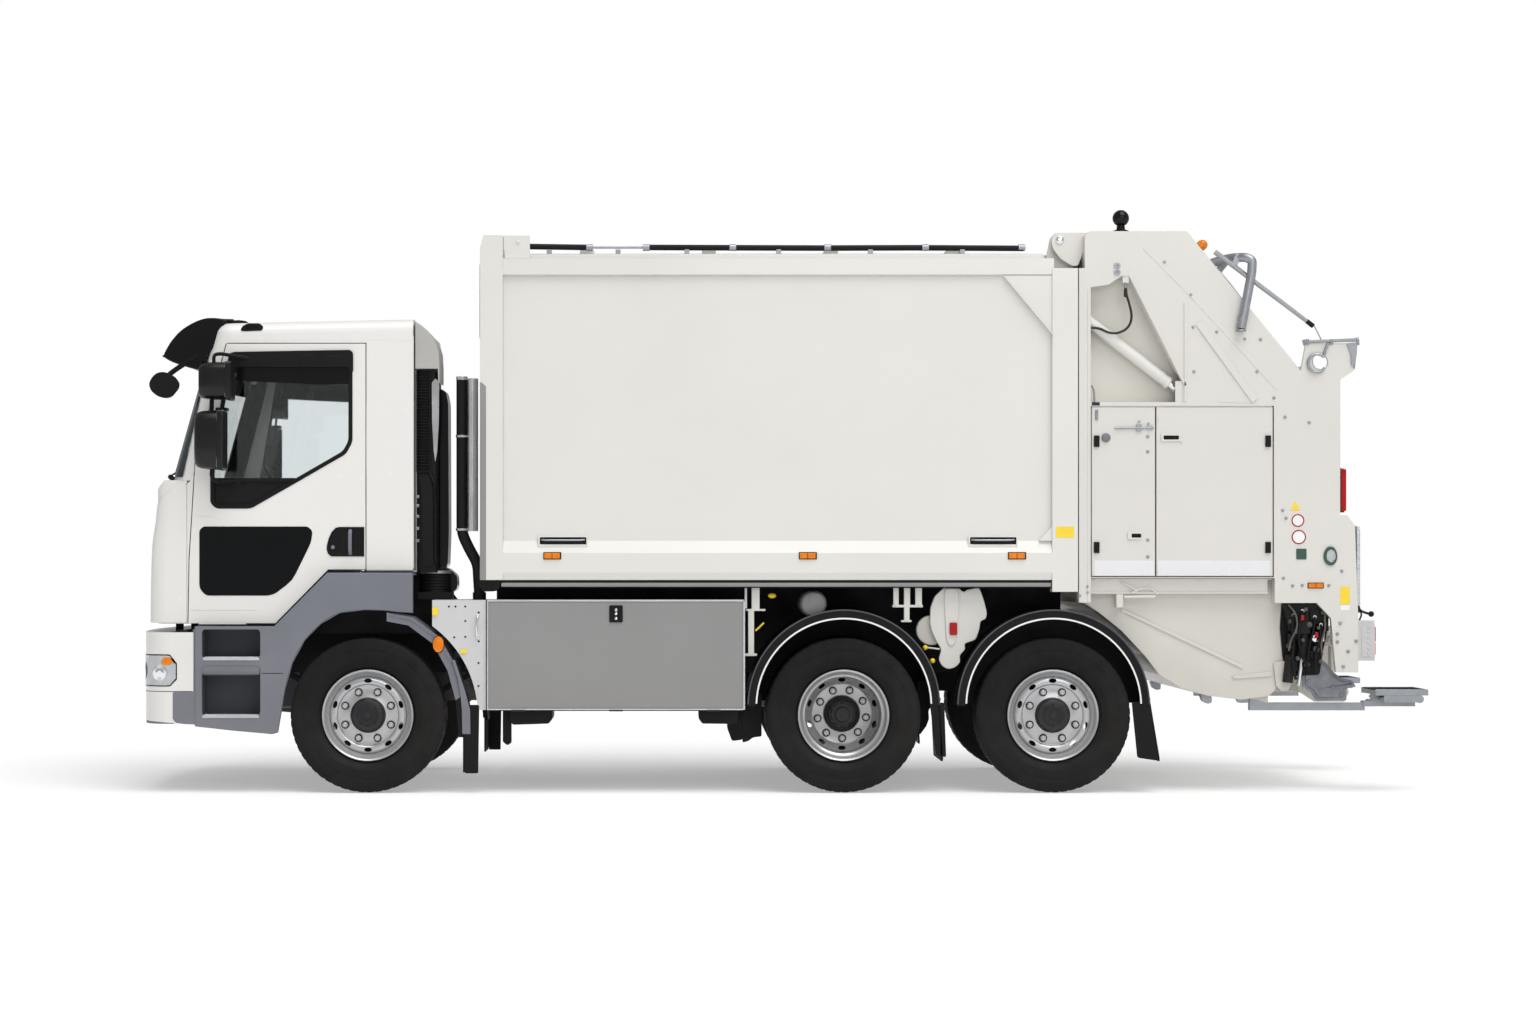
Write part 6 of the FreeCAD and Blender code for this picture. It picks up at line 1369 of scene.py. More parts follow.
p.cyl((-1890, -1242, 1352), (-1890, -1232, 1352), 18, 20)
p.both()
p.done(4, 2)
p = Piece("body_grab_frames", "chassis", WHITE, "white_paint")
p2 = Piece("body_grab_pockets", "chassis", BLACK, "black_plastic")
p3 = Piece("body_grab_bars", "chassis", GALV, "bright_steel")
for xa, xb in ((-1562, -1254), (1246, 1552)):
    q = [(xa, 1617), (xb, 1617), (xb, 1673), (xa, 1673)]
    p.prism(soft(grow(q, 9), 8, 3), -1236, -1214, "XZ", [soft(grow(q, -2), 6, 3)])
    p2.prism(grow(q, -1), -1226, -1216)
    p3.tube([(xa + 12, -1227, 1655), (xa + 40, -1238, 1652), (xb - 40, -1238, 1652), (xb - 12, -1227, 1655)], 6, 12, 12)
for q in (p, p2, p3):
    q.both()
    q.done(2, 2)
p = Piece("body_side_marker_bases", "chassis", BLACK, "black_plastic")
p2 = Piece("body_side_markers", "chassis", AMBER, "smoked_visor")
for xa, xb in ((-1536, -1419), (130, 248), (1493, 1612)):
    p.box(xa, xb, -1256, -1249, 1526, 1574)
    for k in range(2):
        xm = xa + 6 + k * (xb - xa - 12) / 2
        p2.box(xm, xm + (xb - xa - 12) / 2 - 3, -1264, -1255, 1532, 1568)
for q in (p, p2):
    q.both()
    q.done(3, 2)

# weld beads where the side sheet meets its frame
p = Piece("body_side_beads", "chassis", WHITE, "white_paint")
p.box(-1780, 1440, -1219.5, -1215.5, 3362, 3372)
p.box(-1800, -1792, -1220, -1215, 1660, 3380)
p.prism([(1466, 3372), (1474, 3372), (1795, 2992), (1788, 2988)], -1254, -1248)
p.both()
p.done(1.8, 2)

# pipe along the roof edge with its couplings and saddles
p = Piece("roof_edge_pipe", "chassis", BLACK, "black_plastic")
p.tube([(-1640, -1196, 3572), (-1240, -1196, 3566)], 19, 10, 16)
p.tube([(-860, -1196, 3566), (-330, -1196, 3564), (280, -1196, 3562), (900, -1196, 3564), (1600, -1196, 3560)], 19, 60, 16)
p.both()
p.done(0, 1)
p = Piece("roof_edge_joints", "chassis", GALV, "bright_steel")
p.tube([(-1250, -1196, 3566), (-850, -1196, 3566)], 8, 10, 12)
for x in (-1236, -866, -300, 320, 960, 1590):
    p.cyl((x - 22, -1196, 3565), (x + 22, -1196, 3565), 22, 20)
for x in (-1500, -1050, -600, 0, 600, 1200):
    p.box(x - 16, x + 16, -1214, -1178, 3489, 3552)
p.both()
p.done(1.5, 2)
p = Piece("body_front_top_plates", "chassis", WHITE, "white_paint")
p.box(-1790, -1624, -1246, -1236, 3488, 3640)
p.cyl((-1702, -1254, 3598), (-1702, -1244, 3598), 13, 6)
p.both()
p.done(3, 2)
p = Piece("rear_post_plates", "chassis", YELLOW, "white_paint")
p.prism(soft([(1806, 1668), (1924, 1668), (1924, 1740), (1806, 1740)], 5, 2), -1251.6, -1249.5)
p.both()
p.done(0.5, 1)

# brackets, tank end and guard under the body
p = Piece("under_body_brackets", "chassis", WHITE, "white_paint")
for x0, x1, z0, z1 in ((752, 787, 1225, 1345), (822, 862, 1225, 1345), (896, 939, 1225, 1345), (746, 945, 1212, 1229), (822, 858, 1125, 1213), (802, 871, 1115, 1129),
                       (-176, -124, 1199, 1345), (-215, -85, 1189, 1202), (-199, -160, 907, 1191), (-222, -140, 893, 910), (-222, -206, 1205, 1344)):
    p.box(x0, x1, -1172, -1132, z0, z1)
for x in (-200, -100, 770, 920):
    p.hexagon((x, -1172, 1195 if x < 0 else 1220), "y", 9, -8)
p.both()
p.done(3, 2)
p = Piece("under_body_shield", "chassis", WHITE, "white_paint")
SH = [(1086, 1342), (1130, 1342), (1189, 1338), (1215, 1310), (1240, 1330), (1320, 1342), (1352, 1250), (1370, 1173), (1362, 1132), (1328, 1125), (1318, 1060), (1295, 998), (1220, 973), (1229, 936), (1190, 898), (1195, 850),
      (1160, 816), (1114, 805), (1074, 826), (1051, 870), (1070, 936), (1039, 986), (1008, 1050), (995, 1110), (998, 1210), (1026, 1285)]
p.prism(soft(SH, 16, 2), -1130, -1080)
p.prism(soft([(1092, 1336), (1178, 1336), (1186, 1240), (1172, 1010), (1150, 960), (1118, 960), (1100, 1010), (1088, 1240)], 14, 2), -1142, -1126)
p.done(6, 3)
p = Piece("under_body_shield_back", "chassis", HOPPER_SHADED_PAINT, "white_paint")
p.lathe([(0, -6), (92, -6), (98, 0), (98, 60), (0, 60)], (1006, -1080, 1060), "y", 40)
p.tube([(975, -1120, 948), (1060, -1120, 938)], 6, 5, 10)
p.both()
p.done(2, 2)
p = Piece("under_body_lamps", "chassis", RED, "smoked_visor")
p.prism(soft([(1122, 1030), (1172, 1030), (1172, 1112), (1122, 1112)], 9, 3), -1158, -1141)
p.done(4, 3)
p = Piece("under_body_knobs", "chassis", YELLOW, "white_paint")
p.ball((964, -1128, 948), 17)
p.ball((1012, -1128, 861), 17)
p.ball((-40, -1100, 1288), 20, (1.4, 1, 0.9))
p.tube([(-150, -1176, 1060), (-118, -1182, 1090), (-96, -1182, 1112)], 6, 8, 10)
p.done(0, 1)
p = Piece("air_reservoir", "chassis", GREY, "grey_paint")
p.lathe([(0, -10), (46, -7), (74, 4), (87, 26), (89, 60), (89, 560), (74, 586), (0, 600)], (232, -1140, 1235), "y", 44)
p.done(1, 1)

# ================================================================ tailgate
def beads(piece, items, y0, y1, w):
    for (x0, z0), (x1, z1) in items:
        d = Vector((x1 - x0, z1 - z0)).normalized() * (w / 2)
        nx, nz = -d.y, d.x
        piece.prism([(x0 + nx, z0 + nz), (x1 + nx, z1 + nz), (x1 - nx, z1 - nz), (x0 - nx, z0 - nz)], y0, y1)


p = Piece("gate_fold_beads", "tailgate", GATE_WHITE, "white_paint")
beads(p, [((2280, 3398), (2652, 2660)), ((2650, 3200), (2650, 2556))], -1257, -1249, 16)
beads(p, [((2736, 3068), (3104, 2561))], -1259, -1249, 44)
beads(p, [((2380, 3560), (2690, 3245)), ((2690, 3245), (3250, 2640))], -1252, -1249, 22)
beads(p, [((2251, 1196), (3049, 818))], -1141, -1129, 20)
beads(p, [((2860, 2556), (3080, 2548))], -1252, -1249, 8)
p.both()
p.done(3, 3)
p = Piece("gate_cam_plates", "tailgate", GATE_WHITE, "white_paint")
CAM = [(1787, 3600), (1790, 3630), (1811, 3656), (1842, 3668), (1871, 3667), (2016, 3667), (2016, 3585), (1990, 3520), (1962, 3450), (1936, 3446), (1908, 3456), (1848, 3494), (1800, 3556)]
p.prism(soft(CAM, 14, 3), -1166, -1152)
p.both()
p.done(4, 3)
p = Piece("gate_pin_caps", "tailgate", CHROME, "bright_steel")
p.lathe([(0, 0), (20, 0), (26, 4), (26, 10), (0, 10)], (1842, -1178, 3617), "y", 28)
p.box(1834, 1850, -1181, -1176, 3611, 3623)
p.both()
p.done(1.5, 2)
p = Piece("gate_bolts", "tailgate", GALV, "bright_steel")
BOLTS = [(2514, 3465), (2686, 3252), (2855, 3010), (3038, 2963), (3140, 2960), (2701, 3041), (2706, 2751), (2990, 2743), (3117, 2751), (3228, 2579), (3300, 2455), (3458, 2419), (1870 + 90, 1290), (3285, 1846), (3307, 1795), (3290, 1404), (3350, 1354), (3412, 1356), (3586, 1356), (3670, 1450)]
for x, z in BOLTS:
    p.cyl((x, -1249, z), (x, -1253, z), 10.5, 16)
    p.hexagon((x, -1252, z), "y", 7.5, -6)
for x, z in ((2012, 1310), (2012, 1350)):
    p.hexagon((x, -1249, z), "y", 9, -8)
p.both()
p.done(0.7, 1)
p = Piece("gate_lower_bolts", "tailgate", GALV, "bright_steel")
for x, z in ((3641, 1040), (3641, 988), (3712, 926), (3680, 827), (3764, 993), (3660, 1110)):
    p.cyl((x, -1249, z), (x, -1253, z), 12, 16)
    p.hexagon((x, -1252, z), "y", 9, -8)
p.both()
p.done(0.7, 1)

# hose ports on the gate
p = Piece("hose_gland_fittings", "tailgate", GALV, "bright_steel")
p.cyl((2262, -1240, 3334), (2262, -1240, 3316), 11.5, 6)
p.cyl((2262, -1240, 3318), (2262, -1240, 3296), 10, 20)
for x, z in ((2206, 3440), (2206, 3398)):
    p.lathe([(6, 0), (20, 0), (20, 8), (15, 12), (6, 12)], (x, -1261, z), "y", 24, True)
p.done(1.2, 2)
p = Piece("hose_port_plate", "tailgate", GATE_WHITE, "white_paint")
p.prism(soft([(2184, 3374), (2286, 3374), (2286, 3464), (2184, 3464)], 16, 4), -1256, -1248, "XZ", [[(2206 + 9 * math.cos(math.pi * i / 8), z + 9 * math.sin(math.pi * i / 8)) for i in range(16)] for z in (3398, 3440)])
p.done(2, 2)
p = Piece("hose_end_sleeve", "tailgate", HOSE, "hose_rubber")
p.lathe([(8.4, 0), (12, 2), (12, 38), (9.5, 60), (8.4, 60)], (2262, -1240, 3238), "z", 24, True)
p.done(0.6, 1)

# service doors: sill bands in a brighter, bluish paint that is a painted highlight on the tilted wedge, hinges, latches
for name, body, x0, x1 in (("front", "front_service_door_leaf", 2056, 2448), ("rear", "rear_service_door_leaf", 2470, 3204)):
    p = Piece(name + "_service_sill", body, SILL_PAINTED_HIGHLIGHT, "white_paint")
    p.prism([(-1244, 1518), (-1246, 1518), (-1250.5, 1424), (-1249, 1419), (-1244, 1419)], x0, x1, "YZ")
    p.done(1, 2)
    p = Piece(name + "_service_hinges", body, BLACK, "black_plastic")
    hx = (2054, 2090) if name == "front" else (3172, 3208)
    for z in ((2260, 2334), (1568, 1640)):
        p.box(hx[0], hx[1], -1258, -1244, z[0], z[1])
        for dz in (18, 37, 56):
            p.cyl(((hx[0] + hx[1]) / 2, -1256, z[0] + dz), ((hx[0] + hx[1]) / 2, -1260, z[0] + dz), 4.5, 12)
    p.done(3, 2)
p = Piece("front_service_latch", "front_service_door_leaf", GALV, "bright_steel")
p.tube([(2188, -1252, 2383), (2300, -1253, 2384), (2446, -1252, 2386)], 5.5, 20, 12)
p.cyl((2188, -1252, 2383), (2230, -1252, 2383), 4, 12, 8)
p.prism(soft([(2330, 2362), (2366, 2362), (2366, 2408), (2330, 2408)], 6, 2), -1257, -1244)
p.box(2400, 2436, -1256, -1244, 2372, 2400)
p.hexagon((2348, -1257, 2424), "y", 8, -4)
p.hexagon((2410, -1245, 2412), "y", 8, -5)
for x, z in ((2406, 2327), (2406, 2229), (2406, 1653), (2406, 1543)):
    p.cyl((x, -1244, z), (x, -1250, z), 12, 20, 9)
p.done(1, 2)
p = Piece("front_service_knob", "front_service_door_leaf", SLATE, "slate_plastic")
p.lathe([(0, -16), (22, -15), (29, -9), (29, -3), (24, 0), (0, 0)], (2133, -1245, 2320), "y", 32)
p.done(1, 2)
p = Piece("front_service_handle", "front_service_door_leaf", GATE_WHITE, "white_paint")
q = [(2272, 1656), (2370, 1656), (2370, 1708), (2272, 1708)]
p.prism(soft(q, 16, 3), -1253, -1244, "XZ", [soft([(2300, 1668), (2362, 1668), (2362, 1694), (2300, 1694)], 5, 2)])
p.done(2.5, 2)
p = Piece("front_service_handle_slot", "front_service_door_leaf", BLACK, "black_plastic")
p.box(2296, 2366, -1247, -1244, 1664, 1698)
p.box(2308, 2352, -1252, -1246, 1674, 1688)
p.done(1.5, 2)
p = Piece("rear_service_handle", "rear_service_door_leaf", GATE_WHITE, "white_paint")
q = [(2490, 2296), (2626, 2296), (2626, 2348), (2490, 2348)]
p.prism(soft(q, 10, 3), -1253, -1244, "XZ", [soft([(2508, 2308), (2608, 2308), (2608, 2334), (2508, 2334)], 5, 2)])
p.hexagon((2630, -1245, 2288), "y", 7, -5)
p.hexagon((2452 + 24, -1245, 2440), "y", 7, -5)
p.done(2, 2)
p = Piece("rear_service_handle_slot", "rear_service_door_leaf", BLACK, "black_plastic")
p.box(2504, 2612, -1247, -1244, 2304, 2338)
p.box(2514, 2602, -1252, -1246, 2314, 2326)
p.done(1.5, 2)

p = Piece("service_door_jambs", "tailgate", GATE_WHITE, "white_paint")
p.box(2052, 3212, -1246, -1232, 2522, 2533)
p.box(3208, 3217, -1242, -1232, 1416, 2531)
p.box(2044, 2052, -1242, -1232, 1416, 2531)
p.both()
p.done(1, 1)

# prop hook in the ram recess
p = Piece("gate_prop_hook", "tailgate", GALV, "bright_steel")
p.tube([(2044, -1205, 2664), (2062, -1205, 2626), (2064, -1205, 2560), (2064, -1205, 2480)], 6, 16, 12)
p.cyl((2072, -1250, 2500), (2072, -1250, 2436), 9, 14)
p.done(1, 1)
p = Piece("gate_prop_clamp", "tailgate", DARK_STEEL, "black_steel")
p.box(2040, 2092, -1254, -1196, 2530, 2552)
p.cyl((2066, -1258, 2541), (2066, -1250, 2541), 9, 16)
p.done(2, 2)

# plates, all blank
p = Piece("gate_yellow_plates", "tailgate", YELLOW, "white_paint")
p.prism(soft([(3334, 1846), (3400, 1846), (3367, 1908)], 5, 2), -1252, -1249)
p.prism(soft([(3660, 1234), (3722, 1234), (3722, 1346), (3660, 1346)], 5, 2), -1252, -1249)
p.both()
p.done(0.5, 1)
p = Piece("gate_ring_plates", "tailgate", RED, "smoked_visor")
for x, z, r in ((3384, 1780, 42), (3390, 1672, 47)):
    n = 36
    o = [(x + r * math.cos(2 * math.pi * i / n), z + r * math.sin(2 * math.pi * i / n)) for i in range(n)]
    q = [(x + (r - 8) * math.cos(2 * math.pi * i / n), z + (r - 8) * math.sin(2 * math.pi * i / n)) for i in range(n)]
    p.prism(o, -1252, -1249, "XZ", [q])
p.both()
p.done(0.4, 1)
p = Piece("gate_white_plates", "tailgate", WHITE_LINE, "white_paint")
for x, z, r in ((3384, 1780, 35), (3390, 1672, 40)):
    p.prism([(x + r * math.cos(2 * math.pi * i / 36), z + r * math.sin(2 * math.pi * i / 36)) for i in range(36)], -1251.4, -1249)
p.prism(soft([(3664, 1196), (3722, 1196), (3722, 1228), (3664, 1228)], 4, 2), -1251, -1249)
p.both()
p.done(0.4, 1)
p = Piece("gate_grey_plates", "tailgate", GREEN, "slate_plastic")
p.prism(soft([(3373, 1526), (3440, 1526), (3440, 1596), (3373, 1596)], 6, 2), -1254, -1249)
p.both()
p.done(1, 2)

# work lamp, side marker, rear lamps
EGG = [(3595 + 45 * math.cos(t * math.pi / 18), 1546 + (66 if math.sin(t * math.pi / 18) > 0 else 60) * math.sin(t * math.pi / 18)) for t in range(36)]
p = Piece("gate_work_lamp_rims", "tailgate", GREEN, "slate_plastic")
p.prism(EGG, -1262, -1249, "XZ", [[(3600 + (x - 3595) * 0.66, 1548 + (z - 1546) * 0.64) for x, z in EGG]])
p.both()
p.done(5, 3)
p = Piece("gate_work_lamp_lenses", "tailgate", LENS, "window_glass")
p.prism([(3600 + (x - 3595) * 0.68, 1548 + (z - 1546) * 0.66) for x, z in EGG], -1258, -1249)
p.both()
p.done(3, 2)
p = Piece("gate_side_marker_bases", "tailgate", BLACK, "black_plastic")
p.box(3447, 3553, -1254, -1249, 1337, 1375)
p.both()
p.done(2, 2)
p = Piece("gate_side_markers", "tailgate", AMBER, "smoked_visor")
for k in range(2):
    p.box(3452 + k * 49, 3498 + k * 49, -1262, -1253, 1342, 1370)
p.both()
p.done(3, 2)
p = Piece("gate_rear_lamps", "tailgate", RED, "smoked_visor")
p.box(3664, 3702, -1244, -1168, 1842, 2116)
p.both()
p.done(5, 3)
p = Piece("gate_rear_lamp_bases", "tailgate", BLACK, "black_plastic")
p.box(3658, 3668, -1248, -1160, 1834, 2122)
p.box(3668, 3706, -1166, -1158, 1834, 2122)
p.both()
p.done(2, 2)
p = Piece("gate_edge_seals", "tailgate", BRUSHED, "bright_steel")
p.box(3772, 3790, -1236, -1150, 1200, 1744)
p.box(3788, 3796, -1228, -1200, 1220, 1724)
p.both()
p.done(3, 2)
p = Piece("rear_lamp_boxes", "tailgate", LIGHT_GREY, "grey_paint")
q = soft([(3768, 866), (3884, 866), (3888, 900), (3888, 1092), (3868, 1126), (3800, 1130), (3768, 1110)], 12, 3)
p.prism(q, -1249, -1207)
p.prism(soft([(3800, 890), (3862, 890), (3862, 1086), (3800, 1086)], 12, 3), -1252, -1248)
for z in (905, 940, 975, 1010, 1045, 1075):
    p.box(3838, 3854, -1255, -1250, z, z + 12)
p.both()
p.done(3, 2)
p = Piece("rear_lamp_box_lenses", "tailgate", RED, "smoked_visor")
p.box(3887, 3894, -1245, -1211, 990, 1086)
p.both()
p.done(2, 2)
p = Piece("rear_lamp_box_amber", "tailgate", AMBER, "smoked_visor")
p.box(3887, 3894, -1245, -1211, 905, 984)
p.both()
p.done(2, 2)
p = Piece("gate_lever_left", "tailgate", BLACK, "black_plastic")
p.tube([(3776, -1225, 1206), (3812, -1230, 1184), (3850, -1232, 1172)], 8, 14, 12)
p.ball((3866, -1232, 1170), 19)
p.tube([(3790, -1226, 1214), (3804, -1230, 1164), (3786, -1228, 1120)], 6, 12, 10)
p.box(3774, 3790, -1240, -1212, 1178, 1226)
p.done(2, 2)

# valve block, short lifting cylinders and steel pipes beside the hopper
p = Piece("lifter_valve_blocks", "tailgate", STEEL_BLACK, "black_steel")
p.prism(soft([(3300, 1236), (3590, 1236), (3585, 1150), (3480, 1080), (3380, 1000), (3330, 1090)], 12, 2), -1212, -1140)
p.box(3400, 3470, -1225, -1160, 1040, 1120)
p.box(3330, 3370, -1222, -1180, 960, 1040)
p.cyl((3452, -1190, 1180), (3420, -1190, 880), 30, 24)
p.cyl((3560, -1188, 1210), (3560, -1188, 1040), 26, 24)
p.cyl((3352, -1180, 900), (3330, -1180, 720), 34, 24)
p.both()
p.done(3, 2)
p = Piece("lifter_cylinder_rods", "tailgate", CHROME, "bright_steel")
p.cyl((3420, -1190, 880), (3398, -1190, 700), 14, 20)
p.cyl((3560, -1188, 1040), (3560, -1188, 990), 13, 20)
for x, z in ((3360, 1160), (3420, 1190), (3500, 1150), (3540, 1100)):
    p.hexagon((x, -1212, z), "y", 13, -14)
p.lathe([(0, -16), (22, -12), (28, 0), (0, 0)], (3505, -1206, 1010), "y", 20)
p.both()
p.done(1, 1)
p = Piece("lifter_backing", "tailgate", BLACK, "black_steel")
p.prism(soft([(3300, 1246), (3596, 1246), (3600, 1060), (3566, 900), (3548, 770), (3350, 760), (3306, 880), (3288, 1080)], 18, 3), -1148, -1134)
for x0, x1, z0, z1, y0 in ((3316, 3372, 1150, 1214, -1206), (3470, 3532, 1130, 1200, -1224), (3330, 3366, 1056, 1104, -1200), (3486, 3548, 1000, 1060, -1214), (3560, 3592, 1060, 1150, -1220), (3400, 3448, 900, 960, -1216), (3470, 3520, 880, 930, -1206), (3360, 3392, 800, 862, -1206)):
    p.box(x0, x1, y0, -1140, z0, z1)
p.both()
p.done(4, 2)
p = Piece("lifter_fittings", "tailgate", GREASE, "black_steel")
for x, z, r, ln in ((3344, 1120, 16, -1216), (3384, 1060, 20, -1222), (3440, 1200, 13, -1230), (3466, 1100, 18, -1226), (3524, 1080, 12, -1232), (3556, 1180, 15, -1226), (3340, 960, 17, -1212), (3420, 1000, 12, -1236), (3512, 940, 20, -1218), (3390, 880, 14, -1216), (3452, 840, 18, -1214), (3540, 860, 12, -1212)):
    p.cyl((x, -1140, z), (x, ln, z), r, 18)
    p.hexagon((x, ln + 4, z), "y", r * 0.7, -12)
p.tube([(3330, -1218, 1230), (3376, -1236, 1170), (3384, -1240, 1080), (3340, -1236, 1000), (3330, -1226, 930)], 7, 40, 10)
p.tube([(3584, -1216, 1230), (3560, -1236, 1150), (3566, -1240, 1080), (3536, -1238, 980), (3548, -1226, 900)], 7, 40, 10)
p.both()
p.done(1, 2)
p = Piece("lifter_tags", "tailgate", RED, "smoked_visor")
for x, z in ((3406, 1128), (3498, 1016)):
    p.box(x, x + 22, -1240, -1232, z, z + 34)
p.both()
p.done(3, 2)
p = Piece("lifter_pipes", "tailgate", BLACK, "black_plastic")
p.tube([(3360, -1226, 1166), (3350, -1232, 1090), (3362, -1234, 980), (3350, -1232, 860), (3376, -1226, 742)], 9, 40, 12)
p.tube([(3420, -1226, 1192), (3396, -1236, 1110), (3392, -1236, 1000), (3412, -1232, 900), (3470, -1222, 800)], 9, 40, 12)
p.tube([(3500, -1226, 1152), (3490, -1234, 1060), (3458, -1234, 960), (3450, -1230, 820)], 8, 40, 12)
p.tube([(3540, -1226, 1102), (3530, -1236, 1000), (3500, -1236, 900), (3506, -1228, 780)], 8, 40, 12)
p.both()
p.done(0, 1)
p = Piece("board_castings", "tailgate", CASTING, "slate_plastic")
CAST = [(3436, 748), (3442, 800), (3456, 840), (3507, 876), (3560, 872), (3596, 846), (3640, 790), (3689, 750), (3768, 732), (3782, 708), (3776, 696), (3728, 678), (3728, 600), (3531, 600), (3492, 660), (3440, 690)]
p.prism(soft(CAST, 9, 2), -1128, -1102)
p.prism(soft(grow(CAST, -22), 8, 2), -1136, -1124)
for x, z in ((3540, 800), (3640, 690), (3480, 730), (3690, 640)):
    p.hexagon((x, -1134, z), "y", 13, -8)
p.both()
p.done(4, 2)
p = Piece("hopper_flaps", "tailgate", HOPPER_SHADED_PAINT, "white_paint")
p.prism(soft([(3246, 850), (3300, 862), (3356, 850), (3374, 800), (3366, 720), (3346, 668), (3300, 662), (3262, 700)], 12, 2), -1150, -1138)
p.prism(soft([(2970, 762), (3240, 792), (3236, 760), (2990, 742)], 6, 2), -1140, -1128)
p.both()
p.done(3, 2)
p = Piece("hopper_feet", "tailgate", GALV, "bright_steel")
p.prism(soft([(2776, 640), (2852, 626), (2852, 584), (2824, 576), (2790, 596)], 8, 2), -1090, -1010)
p.prism(soft([(3016, 612), (3098, 612), (3092, 584), (3030, 582)], 8, 2), -1090, -1010)
p.both()
p.done(3, 2)
p = Piece("recess_rod", "tailgate", GATE_WHITE, "white_paint")
p.tube([(2254, -1214, 1281), (2460, -1214, 1284)], 9, 5, 12)
p.box(2206, 2250, -1216, -1128, 1212, 1300)
p.tube([(2232, -1212, 1376), (2290, -1216, 1352), (2350, -1216, 1316), (2290, -1216, 1300), (2350, -1216, 1334), (2430, -1216, 1340), (2474, -1214, 1296)], 5, 30, 10)
p.box(2034, 3196, -1202, -1140, 1312, 1396)
p.box(2034, 3196, -1214, -1140, 1302, 1312)
p.prism([(2034, 1402), (2034, 1394), (3230, 1394), (3230, 1402)], -1206, -1128)
p.both()
p.done(2, 2)
p = Piece("gate_flange_strips", "tailgate", GATE_WHITE, "white_paint")
p.box(1957, 1972, -1252.5, -1249, 1250, 3420)
p.box(2012, 2026, -1252, -1249, 1250, 3290)
p.both()
p.done(1, 2)

# ram details: end nuts, pin plates
for side, word in ((-1, "left"), (1, "right")):
    p = Piece(word + "_ram_collar", word + "_ram_tube", WHITE, "white_paint")
    ux, uz = 0.790, -0.613
    a = Vector((1845, 1186 * side, 3226))
    d = Vector((ux, 0, uz))
    L = 966
    for s0, s1, r in ((60, 76, 41), (820, 832, 41), (866, 896, 42)):
        p.cyl(a + d * s0, a + d * s1, r, 36)
    p.done(2, 2)
    p = Piece(word + "_ram_pin_plate", word + "_ram_stem", CHROME, "bright_steel")
    p.lathe([(0, 0), (15, 0), (15, 0.6), (13, 0.9), (0, 0.9)], (2608, 1225 * side, 2634), "y", 24)
    if side < 0:
        for v in p.bm.verts:
            v.co.y = -1225 - abs(v.co.y + 1225)
    p.done(1, 2)

# arm tips, clamps and stays on the guide arms; lens cap and foot on the beacons
p = Piece("guide_arms", "tailgate", GALV, "bright_steel")
p.tube([(2766, -1062, 3404), (2800, -1066, 3448), (2862, -1120, 3478), (2961, -1200, 3498), (3040, -1270, 3494), (3080, -1283, 3474), (3078, -1283, 3400), (3049, -1283, 3246), (3008, -1283, 3030)], 30, 60, 22)
p.lathe([(0, 0), (34, 0), (34, 10), (30, 14), (0, 14)], (3006, -1283, 3010), "z", 28)
p.prism(soft([(2700, 3440), (2730, 3490), (2790, 3500), (2812, 3440), (2788, 3400)], 14, 3), -1100, -1036)
p.cyl((2842, -1256, 3531), (3470, -1256, 3057), 17, 24, 13)
p.both()
p.done(1.5, 2, 35, ("tailgate_fittings",))
p = Piece("gate_top_bars", "tailgate", GALV, "bright_steel")
for x0, z0, x1, z1 in ((3428, 2938, 3766, 2950),):
    p.prism(soft([(x0, z0), (x0 - 4, z0 + 24), (x0 + 26, z0 + 18), (x1 - 26, z1 + 18), (x1 + 12, z1 + 26), (x1 + 8, z1)], 5, 2), -1262, -1182)
p.prism(soft([(3700, 2936), (3770, 2944), (3766, 2860), (3748, 2790), (3728, 2790), (3730, 2860)], 10, 3), -1262, -1251)
p.both()
p.done(3, 2)
p = Piece("gate_hook_rings", "tailgate", GALV, "bright_steel")
p.tube([(3506 + 58 * math.cos(math.radians(a)), -1262, 2806 + 58 * math.sin(math.radians(a))) for a in range(40, 331, 12)], 9, 6, 12)
p.tube([(3506 + 58 * math.cos(math.radians(40)), -1262, 2806 + 58 * math.sin(math.radians(40))), (3560, -1262, 2890), (3580, -1256, 2936)], 9, 20, 12)
p.both()
p.done(0, 1)
p = Piece("ball_beacon_body", "tailgate", GLOSS_BLACK, "black_plastic")
p.lathe([(0, 12), (24, 12), (24, 44), (0, 44)], (2238, -1190, 3667), "z", 30)
p.ball((2238, -1190, 3757), 54, (1, 1, 1), 40)
p.done(0, 1)
p = Piece("amber_beacon_dome", "tailgate", AMBER, "smoked_visor")
bx, bz = 2660 + 0.632137 * 144, 3667 - 0.774869 * 144
p.cyl((bx + 0.774869 * 60, -890, bz + 0.632137 * 60), (bx + 0.774869 * 98, -890, bz + 0.632137 * 98), 35, 36)
p.ball((bx + 0.774869 * 94, -890, bz + 0.632137 * 94), 34.5, (1, 1, 1), 32)
p.done(0, 1, 50)
p = Piece("guide_arm_clamps", "tailgate", GALV, "bright_steel")
p.cyl((3018, -1283, 3112), (3014, -1283, 3082), 30, 24)
p.cyl((3048, -1283, 3104), (2982, -1283, 3100), 7, 14)
p.box(2960, 3000, -1263, -1249, 3430, 3520, ("Y", 25))
p.tube([(3480, -1256, 3066), (3510, -1250, 3010), (3547, -1236, 2945)], 4, 30, 8)
p.tube([(3055, -1180, 3170), (3100, -1200, 3130), (3145, -1210, 3060)], 6, 20, 10)
p.tube([(2900, -1090, 3420), (2960, -1150, 3330), (3030, -1180, 3230)], 7, 20, 10)
p.box(2890, 2936, -1100, -1080, 3392, 3500, ("Y", 39))
p.both()
p.done(1.5, 2)
p = Piece("whip_tips", "tailgate", BLACK, "black_plastic")
p.cyl((3440, -1256, 3080), (3484, -1256, 3046), 16, 18)
p.both()
